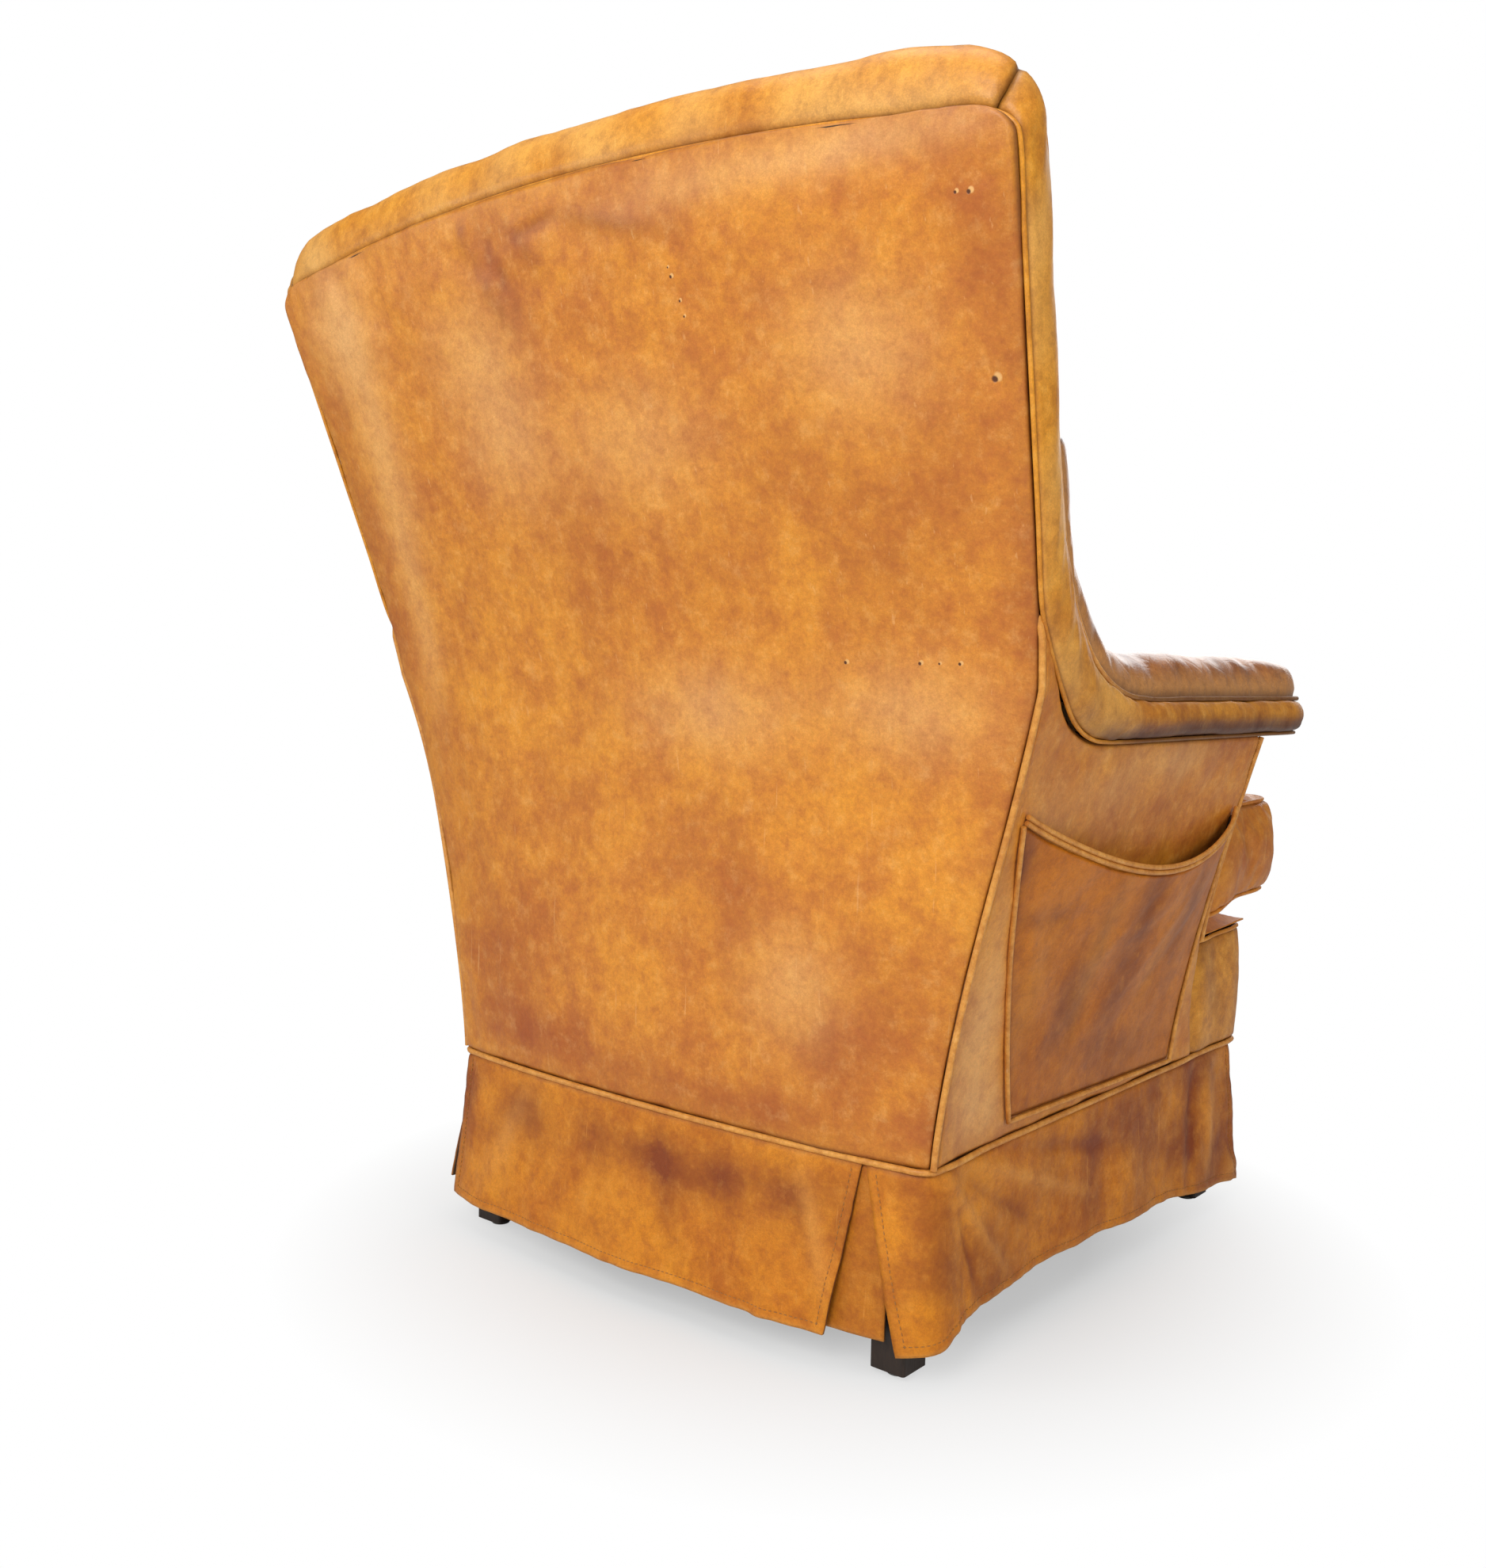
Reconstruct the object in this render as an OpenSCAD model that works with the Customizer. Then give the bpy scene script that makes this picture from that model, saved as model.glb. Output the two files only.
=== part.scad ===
// High-backed club chair in leather: a doweled hardwood frame with a sprung seat, padded and
// covered in panels that are joined by piped seams, with a loose T-shaped seat cushion, a
// magazine pocket on the sitter's right arm and a skirt round the base.
// The chair faces -Y, +X is the sitter's left, and the origin is on the floor under its centre.

/* [Overall size] */
// Height of the crown of the back above the floor
back_h = 1056; // [980:1:1120]
// Depth from the nose of the cushion to the rearmost point of the back
overall_d = 876; // [850:1:930]
// Width across the base at the skirt welt
base_w = 610; // [580:1:650]
// Width across the outside of the arm borders
arm_w = 800; // [770:1:840]
// Width across the back at its top corners
top_w = 872; // [850:1:910]
// Height of the top of the arms
arm_h = 630; // [610:1:660]

/* [Back] */
// Angle of the upper back from the vertical, in degrees
rake_angle = 19; // [14:0.5:23]
// Height where the back starts to lean
bend_start_h = 450; // [420:1:480]
// Height above which the back leans at its full angle
bend_end_h = 700; // [670:1:730]
// How far the outside back bows out between its sides
back_bow = 16; // [10:1:22]
// How far the outside back rolls over at its edges
edge_roll = 8; // [5:0.5:11]
// Width of the leather border round the back
border_w = 50; // [48:1:58]
// How far the border stands out between its seams
border_bulge = 8; // [5:0.5:11]
// Fall of the top edge from the centre to the corners
crown_drop = 20; // [12:1:30]
// Radius of the top corners
corner_r = 60; // [50:1:75]
// How far the rear seam lies below the top edge
top_seam_drop = 37; // [30:1:42]
// Height of the seam between the head pad and the arm sweeps
head_seam_h = 770; // [755:1:790]
// How far the padding stands out in front of the border
pad_crown = 38; // [30:1:46]
// Thickness of the lumbar padding in front of the border
lumbar_t = 84; // [70:1:95]

/* [Arms] */
// Width of the arm pads
arm_pad_w = 96; // [86:1:104]
// How far the arm borders draw in towards the front
arm_taper = 9; // [4:1:14]
// Height of the border round the arm
arm_border_h = 37; // [32:1:42]
// Distance from the chair's centre to the tip of the arm
arm_tip_d = 350; // [335:1:365]
// Distance from the chair's centre to the front face of the arm
arm_face_d = 222; // [210:1:230]
// How far the arm border overhangs the outside arm
arm_overhang = 6; // [3:0.5:8]
// Half the clear width between the arms at the deck
seat_half_w = 262; // [250:1:268]

/* [Seat] */
// Height of the deck at its front edge
deck_h = 350; // [344:1:356]
// Backward slope of the deck and cushion, in degrees
deck_angle = 2.5; // [1.5:0.1:3.5]
// Thickness of the cushion between its welts
cushion_t = 121; // [108:1:128]
// Rise of the cushion's crown above its top welt
cushion_crown = 20; // [12:1:26]
// Width of the cushion across its front ears
ear_w = 662; // [630:1:680]
// Distance from the chair's centre to the front of the boxed front border
front_border_d = 400; // [390:1:410]
// Width of the boxed front border
front_border_w = 598; // [580:1:604]

/* [Base and skirt] */
// Height of the welt at the top of the skirt
welt_h = 190; // [180:1:200]
// Height of the skirt's hem above the floor
hem_h = 34; // [26:1:45]
// How far the skirt stands out at its hem
skirt_flare = 16; // [10:1:22]
// Depth of the folds in the skirt at its hem
skirt_fold = 5; // [2:0.5:8]
// Thickness of the leather
leather_t = 3; // [2:0.1:3.2]
// Radius of the piping in the seams
welt_r = 3; // [2.4:0.1:3.4]
// Width of the square legs
leg_w = 36; // [34:1:40]
// Height of the underside of the seat frame
frame_h = 120; // [112:1:128]
// Thickness of the nail-on glides under the legs
glide_t = 6; // [4:0.5:8]
// Radius of the glides
glide_r = 11; // [9:0.5:14]

/* [Frame] */
// Thickness of the seat rails
rail_t = 25; // [22:1:28]
// Height of the seat rails
rail_h = 130; // [120:1:134]
// Width of the back posts, seen from the front
post_w = 45; // [40:1:50]
// Depth of the back posts, seen from the side
post_d = 36; // [32:1:38]
// Diameter of the dowels
dowel_d = 10; // [8:0.5:12]
// Length of the dowels
dowel_l = 50; // [40:1:56]
// Number of sinuous springs in the seat
spring_count = 5; // [4:1:6]
// Thickness of the spring wire
spring_wire = 3.6; // [3:0.1:4]

/* [Pocket] */
// Height of the pocket's rear top corner
pocket_top_h = 488; // [470:1:500]
// Height of the pocket's bottom edge
pocket_bottom_h = 212; // [205:1:225]
// How far the pocket's mouth gapes from the arm
pocket_gape = 26; // [20:1:32]
// How far the mouth of the pocket sags below its corners
pocket_sag = 52; // [40:1:64]

/* [Hidden] */

// Clearance between covers and what they lie against
gap = 0.3;
// Glue line between frame members
glue = 0.1;
// Overrun of cuts past the faces that they open
cut = 1;
// Power of the curve by which the sides flare from the base to the arms
flare_power = 1.35;
// Height of the welt round the arm pads
arm_welt_h = arm_h - pad_crown;
// Height of the seam under the arm border
arm_seam_h = arm_welt_h - arm_border_h;
// Height where the flare of the base meets the straighter flare of the back
flare_over = 6;
flare_h = arm_welt_h + flare_over;
// Centre height of the rounded top corners
corner_h = back_h - crown_drop - corner_r;
// Centre of the rounded top corners from the middle
corner_x = top_w / 2 - corner_r;
// Thickness of the wadding under the middle of the border
border_t = 13.5;
// How far the front welt lies inside the widest line of the back, at the sides and the top
front_inset = 10;
top_front_inset = 6;
// How far the rear seam lies inside the widest line of the back at the sides
side_inset = 2;
// How far along the border its roundest place lies, at the sides and the top
side_crown_share = 0.5;
top_crown_share = 0.73;
// Height of the control point of the border over its seams at the top
top_bulge = border_bulge * 6.5;
// Radius of the ends of the arms in plan
arm_end_r = 40;
// Where the arm border starts to rise towards the back, at its welt and its seam
welt_rise_y = 73;
seam_rise_y = 140;
// Heights where the rise has joined the side of the back
welt_join_h = 744;
seam_join_h = 665;
// How far forward the turning point of the seam lies
seam_turn_y = 236;
// Depth of the pads behind their welts
pad_under = 3;
// Clear distance from a seam's line to the covers beside its piping
seam_clear = welt_r + gap;
border_clear = seam_clear * 1.65;

// Outer face of the seat rails from the middle, and how far the covers stand out from it
frame_side_inset = 20;
frame_x = base_w / 2 - frame_side_inset;
// Distance of the posts' rear faces in front of the rear seam
frame_inset = 8;
// Top of the side rails
side_rail_top = frame_h + rail_h;
// Front face of the front rail
front_rail_inset = 16;
front_rail_y = front_rail_inset - front_border_d;
// Thickness of the deck pad
deck_t = 20;
// Play between the deck pad's underside and the spring wire
spring_play = 0.4;

// Steps across and up the covers
back_columns = 16;
back_rows = 12;
pad_columns = 10;
pad_rows = 9;

leather_colour = [0.75, 0.48, 0.2];
border_colour = [0.79, 0.56, 0.28];
welt_colour = [0.85, 0.66, 0.38];
arm_colour = [0.42, 0.23, 0.12];
wood_colour = [0.78, 0.64, 0.44];
leg_colour = [0.1, 0.07, 0.05];
metal_colour = [0.72, 0.72, 0.72];
cloth_colour = [0.15, 0.15, 0.15];

function blend(a, b, t) = a + (b - a) * t;
function clamp01(t) = max(0, min(1, t));
function unit(v) = v / norm(v);
function bezier(a, b, c, t) = a * (1 - t) * (1 - t) + b * 2 * t * (1 - t) + c * t * t;
function mirrored(points, side) = [for (p = points) [p[0] * side, p[1], p[2]]];

// Half the width of the chair at a height
function half_w(z) =
    z < flare_h
    ? base_w / 2 + (arm_w - base_w) / 2 * pow(clamp01((z - welt_h) / (flare_h - welt_h)), flare_power)
    : arm_w / 2 + (top_w - arm_w) / 2 * (z - flare_h) / (corner_h - flare_h);

// Run of the rear seam to the rear at a height, and its lean there
bend_length = bend_end_h - bend_start_h;
function lean_share(z) = clamp01((z - bend_start_h) / bend_length);
function rake_run(z) =
    tan(rake_angle) * (lean_share(z) * lean_share(z) * bend_length / 2 + max(0, z - bend_end_h));
function lean(z) = atan(tan(rake_angle) * lean_share(z));
seam_base_y = overall_d / 2 - back_bow - welt_r - rake_run(back_h - top_seam_drop);
function seam_y(z) = seam_base_y + rake_run(z);
function bow(x, z) = back_bow * max(0, 1 - pow(x / half_w(min(z, corner_h)), 2));
// A point of the back: across, up the rear seam, and forward of it at right angles
function back_point(x, z, t) =
    [x, seam_y(z) + bow(x, z) - t * cos(lean(z)), z + t * sin(lean(z))];
// The same without the bow across, as the frame and the pads follow it
function lean_point(x, z, t) = [x, seam_y(z) - t * cos(lean(z)), z + t * sin(lean(z))];
// Height of the top edge of the back
function crown_h(x) = back_h - crown_drop * pow(x / corner_x, 2);

// Widest outline of the back in its own plane, by the angle round the top corner
function corner_line(a, side_in, top_in) =
    [corner_x + (corner_r - side_in) * cos(a), corner_h + (corner_r - top_in) * sin(a)];

// Two grids of points closed against each other
module slab(a, b) {
    m = len(a);
    n = len(a[0]);
    loop = concat(
        [for (j = [0:n - 2]) [0, j]], [for (i = [0:m - 2]) [i, n - 1]],
        [for (j = [n - 1:-1:1]) [m - 1, j]], [for (i = [m - 1:-1:1]) [i, 0]]
    );
    k = len(loop);
    points = concat([for (r = a) each r], [for (r = b) each r]);
    low = m * n;
    cells = [
        for (i = [0:m - 2]) for (j = [0:n - 2])
            [i * n + j, i * n + j + 1, (i + 1) * n + j + 1, (i + 1) * n + j]
    ];
    edge = [for (p = loop) p[0] * n + p[1]];
    faces = concat(
        [for (c = cells) each [[c[0], c[1], c[2]], [c[0], c[2], c[3]]]],
        [for (c = cells) each [[low + c[2], low + c[1], low + c[0]], [low + c[3], low + c[2], low + c[0]]]],
        [
            for (s = [0:k - 1])
                let (p = edge[s], q = edge[(s + 1) % k])
                each [[p, low + p, q], [q, low + p, low + q]]
        ]
    );
    closed(points, faces);
}

// A polyhedron whose faces are turned to point outwards
module closed(points, faces) {
    function triple(a, b, c) = a * cross(b, c);
    apex = points[0];
    volume = [for (f = faces) triple(points[f[0]] - apex, points[f[1]] - apex, points[f[2]] - apex)]
        * [for (f = faces) 1];
    polyhedron(points, volume < 0 ? faces : [for (f = faces) [f[2], f[1], f[0]]], convexity = 8);
}

// A six-sided cord along a path, or round a closed one
module cord(path, r, start = [0, 0, 1], loop = false, sides = 6) {
    k = len(path);
    function ahead(i) =
        unit(path[loop ? (i + 1) % k : min(i + 1, k - 1)] - path[loop ? (i + k - 1) % k : max(i - 1, 0)]);
    function level(v, t) = unit(v - t * (v * t));
    normals = [
        for (i = 0, n = level(start, ahead(0)); i < k; i = i + 1, n = i < k ? level(n, ahead(i)) : n) n
    ];
    points = [
        for (i = [0:k - 1]) let (t = ahead(i), n = level(normals[i], t), b = cross(t, n))
            for (s = [0:sides - 1]) path[i] + (n * cos(s * 360 / sides) + b * sin(s * 360 / sides)) * r
    ];
    rings = loop ? k : k - 1;
    wall = [
        for (i = [0:rings - 1]) for (s = [0:sides - 1])
            let (a = i * sides + s, b = i * sides + (s + 1) % sides,
                 c = ((i + 1) % k) * sides + s, d = ((i + 1) % k) * sides + (s + 1) % sides)
            each [[a, b, d], [a, d, c]]
    ];
    caps = loop ? [] : [
        for (s = [1:sides - 2])
            let (last = (k - 1) * sides)
            each [[0, s + 1, s], [last, last + s, last + s + 1]]
    ];
    closed(points, concat(wall, caps));
}

// A patch filled in from its four edges, each a list of points
function evenly(n) = [for (j = [0:n - 1]) j / (n - 1)];
function crowded(n) = [for (j = [0:n - 1]) 0.5 - 0.5 * cos(180 * j / (n - 1))];
function patch(low, high, left, right, across) =
    let (m = len(left), n = len(low))
    [
        for (i = [0:m - 1]) [
            for (j = [0:n - 1])
                let (v = i / (m - 1), u = across[j])
                low[j] * (1 - v) + high[j] * v + left[i] * (1 - u) + right[i] * u
                - low[0] * (1 - u) * (1 - v) - low[n - 1] * u * (1 - v)
                - high[0] * (1 - u) * v - high[n - 1] * u * v
        ]
    ];

// Edge lines of a panel of the back that lies inside the outline by an inset at its sides and top
function side_line(z0, side_in, top_in, rows) = [
    for (i = [0:rows - 1])
        let (s = i / (rows - 1), knee = 0.82)
        s < knee
        ? let (z = blend(z0, corner_h, s / knee)) [half_w(z) - side_in, z]
        : corner_line(45 * (s - knee) / (1 - knee), side_in, top_in)
];
function top_line(side_in, top_in, across) = [
    for (u = across)
        let (s = 1 - 2 * u, q = abs(s), knee = 0.84)
        q > knee
        ? let (p = corner_line(90 - 45 * (q - knee) / (1 - knee), side_in, top_in))
            [sign(s) * p[0], p[1]]
        : let (x = corner_x * s / knee) [x, crown_h(x) - top_in]
];
function back_patch(z0, side_in, top_in, across, rows) =
    let (side = side_line(z0, side_in, top_in, rows), top = top_line(side_in, top_in, across))
    patch(
        [for (u = across) [side[0][0] * (1 - 2 * u), z0]], top,
        side, [for (p = side) [-p[0], p[1]]], across
    );

// Seam points of the border round the back at a place of its outline
function border_station(p, r, f, n, share) =
    let (
        rear = back_point(r[0], r[1], 0),
        front = lean_point(f[0], f[1], border_w),
        out = [n[0], n[1] * sin(lean(p[1])), n[1] * cos(lean(p[1]))],
        middle = blend(front, rear, blend(side_crown_share, top_crown_share, share))
            + out * blend(border_bulge * 2, top_bulge, share)
    )
    [rear, middle, front, out];
function corner_station(a) =
    border_station(
        corner_line(a, 0, 0), corner_line(a, side_inset, top_seam_drop),
        corner_line(a, front_inset, top_front_inset), [cos(a), sin(a)], a / 90
    );
function top_station(x) =
    let (z = crown_h(x))
    border_station([x, z], [x, z - top_seam_drop], [x, z - top_front_inset], [0, 1], 1);
function side_station(zr, zf) =
    let (
        rear = back_point(half_w(zr) - side_inset, zr, 0),
        front = lean_point(half_w(zf) - front_inset, zf, border_w)
    )
    [rear, blend(front, rear, side_crown_share) + [border_bulge * 2, 0, 0], front, [1, 0, 0]];

// Outer edge of the arm pad in plan
function arm_outer_x(y) =
    half_w(arm_welt_h) - front_inset
    - arm_taper * clamp01((welt_rise_y - y) / (welt_rise_y + arm_tip_d));
arm_end_y = arm_end_r - arm_tip_d;
arm_end_x = arm_outer_x(arm_end_y);
function arm_station(x, y, n) =
    let (front = [x, y, arm_welt_h], rear = [x - n[0] * side_inset, y - n[1] * side_inset, arm_seam_h])
    [rear, blend(front, rear, side_crown_share) + n * border_bulge * 2, front, n];
arm_start_inset = 7;
arm_stations = concat(
    [for (y = [arm_start_inset - arm_face_d, (arm_end_y - arm_face_d) / 2])
        arm_station(arm_outer_x(y) - arm_pad_w, y, [-1, 0, 0])],
    [for (a = [180:22.5:270])
        arm_station(arm_end_x - arm_pad_w + arm_end_r + arm_end_r * cos(a), arm_end_y + arm_end_r * sin(a),
            [cos(a), sin(a), 0])],
    [for (a = [270:22.5:360])
        arm_station(arm_end_x - arm_end_r + arm_end_r * cos(a), arm_end_y + arm_end_r * sin(a),
            [cos(a), sin(a), 0])],
    [for (s = [1:3]) let (y = blend(arm_end_y, welt_rise_y, s / 4)) arm_station(arm_outer_x(y), y, [1, 0, 0])]
);
// The rise of the border from the arm to the side of the back
rise_steps = 7;
welt_rise_top = lean_point(half_w(welt_join_h) - front_inset, welt_join_h, border_w);
function welt_rise(t) =
    let (
        a = [welt_rise_top[1], welt_rise_top[2]],
        b = [a[0] - tan(rake_angle) * (a[1] - arm_welt_h), arm_welt_h],
        p = bezier([welt_rise_y, arm_welt_h], b, a, t)
    )
    [half_w(p[1]) - front_inset, p[0], p[1]];
function seam_rise(t) =
    let (
        top = [seam_y(seam_join_h), seam_join_h],
        p = bezier([seam_rise_y, arm_seam_h], [seam_turn_y, arm_seam_h], top, t)
    )
    [half_w(p[1]) - side_inset, p[0], p[1]];
rise_stations = [
    for (s = [0:rise_steps])
        let (rear = seam_rise(s / rise_steps), front = welt_rise(s / rise_steps))
        [rear, blend(front, rear, side_crown_share) + [border_bulge * 2, 0, 0], front, [1, 0, 0]]
];
upright_stations = [
    for (s = [1:5]) side_station(blend(seam_join_h, corner_h, s / 5), blend(welt_join_h, corner_h, s / 5))
];
half_corner = [for (a = [11.25:11.25:45]) corner_station(a)];
rest_of_corner = [for (a = [56.25:11.25:90]) corner_station(a)];
crown_stations = [for (s = [3:-1:0]) top_station(corner_x * s / 4)];
side_stations = concat(arm_stations, rise_stations, upright_stations, half_corner);
half_top = concat([corner_station(45)], rest_of_corner, crown_stations);
function across_chair(station) = [for (p = station) [-p[0], p[1], p[2]]];
top_stations = concat(half_top, [for (i = [len(half_top) - 2:-1:0]) across_chair(half_top[i])]);
whole_line = concat(
    side_stations, rest_of_corner, crown_stations,
    [for (i = [2:-1:0]) across_chair(crown_stations[i])],
    [for (i = [len(rest_of_corner) - 1:-1:0]) across_chair(rest_of_corner[i])],
    [for (i = [len(side_stations) - 1:-1:0]) across_chair(side_stations[i])]
);

// A run of the padded border through its seam stations
module border(stations, side = 1) {
    function beside(a, b, c) = let (d = unit(b - a)) unit((c - a) - d * (d * (c - a)));
    function rib(s, inner) =
        let (
            r = s[0] + beside(s[0], s[1], s[2]) * inner * leather_t,
            f = s[2] + beside(s[2], s[1], s[0]) * inner * leather_t,
            c = s[1] + unit(blend(s[0], s[2], 0.5) - s[1]) * inner * border_t * 2,
            first = border_clear / (2 * norm(s[1] - s[0])),
            last = 1 - border_clear / (2 * norm(s[1] - s[2]))
        )
        [for (k = [0:4]) bezier(r, c, f, blend(first, last, k / 4))];
    slab([for (s = stations) mirrored(rib(s, 0), side)], [for (s = stations) mirrored(rib(s, 1), side)]);
}

// Height of the deck's top at a depth, and a frame of reference that lies on it
function deck_z(y) = deck_h - (y + front_border_d) * tan(deck_angle);
module on_deck() {
    translate([0, -front_border_d, deck_h])
        rotate([-deck_angle, 0, 0])
            children();
}

// A board drawn from the side, and one drawn from the front
module side_shape(points, x0, x1) {
    translate([x0, 0, 0])
        rotate([90, 0, 90])
            linear_extrude(height = x1 - x0)
                polygon(points);
}
module front_shape(points, y0, y1) {
    translate([0, y1, 0])
        rotate([90, 0, 0])
            linear_extrude(height = y1 - y0)
                polygon(points);
}
module rounded_square(w, d, r) {
    square([w - 2 * r, d], center = true);
    square([w, d - 2 * r], center = true);
    for (x = [r - w / 2, w / 2 - r])
        for (y = [r - d / 2, d / 2 - r])
            translate([x, y])
                circle(r = r, $fn = 24);
}

// Places of the legs, and of the bolts that hold them
leg_side_inset = 4;
rear_leg_proud = 3;
front_leg_inset = 13;
leg_x = frame_x - leg_w / 2 - leg_side_inset;
rear_leg_y = seam_y(welt_h) - leg_w / 2 + rear_leg_proud;
front_leg_y = front_rail_y + leg_w / 2 + front_leg_inset;
bolt_x = frame_x - rail_t / 2;
bolt_r = 4;
bolt_in_leg = 30;
bolt_in_rail = 70;
nail_r = 1.6;
nail_l = 14;
fit_play = 0.1;
leg_edge_r = 3;
glide_taper = 1.5;

module leg(x, y, side) {
    color(leg_colour)
        difference() {
            translate([x, y, glide_t])
                linear_extrude(height = frame_h - glue - glide_t)
                    rounded_square(leg_w, leg_w, leg_edge_r);
            translate([x, y, glide_t - cut])
                cylinder(r = nail_r + fit_play, h = nail_l + 2 * cut, $fn = 24);
            translate([side * bolt_x, y, frame_h - bolt_in_leg - cut])
                cylinder(r = bolt_r + fit_play, h = bolt_in_leg + 2 * cut, $fn = 24);
        }
}
module rear_left_leg() leg(leg_x, rear_leg_y, 1);
module rear_right_leg() leg(-leg_x, rear_leg_y, -1);
module front_left_leg() leg(leg_x, front_leg_y, 1);
module front_right_leg() leg(-leg_x, front_leg_y, -1);

module leg_glides() {
    color(metal_colour)
        for (x = [-leg_x, leg_x])
            for (y = [front_leg_y, rear_leg_y])
                translate([x, y, 0]) {
                    cylinder(r1 = glide_r - glide_taper, r2 = glide_r, h = glide_t - fit_play, $fn = 32);
                    translate([0, 0, glide_t / 2])
                        cylinder(r = nail_r, h = nail_l + glide_t / 2, $fn = 24);
                }
}

module leg_bolts() {
    color(metal_colour)
        for (x = [-bolt_x, bolt_x])
            for (y = [front_leg_y, rear_leg_y])
                translate([x, y, frame_h - bolt_in_leg])
                    cylinder(r = bolt_r, h = bolt_in_leg + bolt_in_rail, $fn = 24);
}
module bolt_bores(side) {
    for (y = [front_leg_y, rear_leg_y])
        translate([side * bolt_x, y, frame_h - cut])
            cylinder(r = bolt_r + fit_play, h = bolt_in_rail + 2 * cut, $fn = 24);
}

// The seat frame
rear_face_y = seam_y(welt_h) - frame_inset;
post_front_y = rear_face_y - post_d;
inner_x = frame_x - rail_t;
post_inner_x = inner_x - post_w;
front_rail_top = deck_z(front_rail_y + rail_t) - deck_t - spring_play - spring_wire - fit_play;
rear_rail_top = deck_z(rear_face_y) - deck_t - spring_play - spring_wire - fit_play;

// The arm posts and boards, and the rails of the back
arm_post_inset = 45;
arm_post_y = arm_post_inset - arm_face_d;
arm_post_d = 40;
board_t = 25;
board_w = 60;
board_side_play = 1;
board_rear_play = 0.5;
board_top = arm_welt_h - pad_under - gap;
board_outer_x = arm_end_x - border_t - board_side_play;
board_bottom = board_top - board_t;
board_inner_x = board_outer_x - board_w;
// How far the arm board laps the back post, and how far the post lies inside the top corner
board_lap = 19;
post_top_inset = 28;
// Outer face of the back posts at a height: they lean out from the rails to the arms, then to the top
function post_x(z) =
    z < board_bottom
    ? blend(inner_x, board_inner_x + board_lap, clamp01((z - side_rail_top) / (board_bottom - side_rail_top)))
    : blend(
        board_inner_x + board_lap, top_w / 2 - post_top_inset,
        (z - board_bottom) / (corner_h - board_bottom)
    );
// Outward run of the arm posts from the rails to the middle of the boards
arm_post_run = board_outer_x - board_w / 2 - bolt_x;
board_rear_y =
    seam_y(board_bottom - border_w * sin(lean(board_bottom))) - frame_inset - post_d - board_rear_play;
top_rail_h = 70;
top_rail_drop = 3;
top_rail_z = [corner_h - top_rail_drop - top_rail_h, corner_h - top_rail_drop];
lumbar_rail_h = 58;
lumbar_rail_drop = 2;
lumbar_rail_z = [bend_start_h - lumbar_rail_drop - lumbar_rail_h, bend_start_h - lumbar_rail_drop];
back_rail_inset = 4;
back_rail_t = [frame_inset + back_rail_inset, frame_inset + back_rail_inset + rail_t];
back_rail_middle = (back_rail_t[0] + back_rail_t[1]) / 2;

// Dowels: how high the lowest of each pair lies and how far apart the two are
dowel_low = 35;
front_dowel_step = 60;
rear_dowel_step = 100;
lap_dowel_low = 38;
lap_dowel_step = 80;
lap_dowel_shift = 2;
lap_dowel_share = 0.8;
top_dowel_margin = 18;
lumbar_dowel_margin = 15;
arm_dowel_step = 20;
board_dowel_drop = 5;
upright_dowel_share = 0.84;
upright_dowel_l = dowel_l * upright_dowel_share;
board_dowel_x = bolt_x + arm_post_run;
arm_dowel_y = [arm_post_y - arm_dowel_step / 2, arm_post_y + arm_dowel_step / 2];
dowel_front = [
    for (step = [0, front_dowel_step]) [inner_x, front_rail_y + rail_t / 2, frame_h + dowel_low + step]
];
dowel_rear = [
    for (step = [0, rear_dowel_step]) [post_inner_x, rear_face_y - rail_t / 2, frame_h + dowel_low + step]
];
dowel_lap = [
    for (step = [0, lap_dowel_step])
        [inner_x - lap_dowel_shift, post_front_y + post_d / 3, frame_h + lap_dowel_low + step]
];
dowel_top = [
    for (z = [top_rail_z[0] + top_dowel_margin, top_rail_z[1] - top_dowel_margin])
        lean_point(post_x(z) - post_w, z, back_rail_middle)
];
dowel_lumbar = [
    for (z = [lumbar_rail_z[0] + lumbar_dowel_margin, lumbar_rail_z[1] - lumbar_dowel_margin])
        [post_x(z) - post_w, seam_y(z) - back_rail_middle, z]
];
dowel_arm_post = [for (y = arm_dowel_y) [bolt_x, y, side_rail_top]];
dowel_board = [for (y = arm_dowel_y) [board_dowel_x, y, board_bottom - board_dowel_drop]];
dowel_board_rear = [[board_inner_x + board_lap / 2, board_rear_y, board_bottom + board_t / 2]];

module dowels_at(places, turn, side, play, l = dowel_l) {
    for (p = places)
        translate([p[0] * side, p[1], p[2]])
            rotate(turn)
                cylinder(d = dowel_d + 2 * play, h = l + (play > 0 ? 2 * cut : 0), center = true, $fn = 24);
}
along_x = [0, 90, 0];
along_y = [90, 0, 0];
up = [0, 0, 0];

module lap_dowels(side, play) dowels_at(dowel_lap, along_x, side, play, dowel_l * lap_dowel_share);
module upright_dowels(places, side, play) dowels_at(places, up, side, play, upright_dowel_l);
module frame_dowels() {
    color(wood_colour)
        for (side = [-1, 1]) {
            dowels_at(concat(dowel_front, dowel_rear, dowel_top, dowel_lumbar), along_x, side, 0);
            upright_dowels(concat(dowel_arm_post, dowel_board), side, 0);
            dowels_at(dowel_board_rear, along_y, side, 0);
            lap_dowels(side, 0);
        }
}

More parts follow.
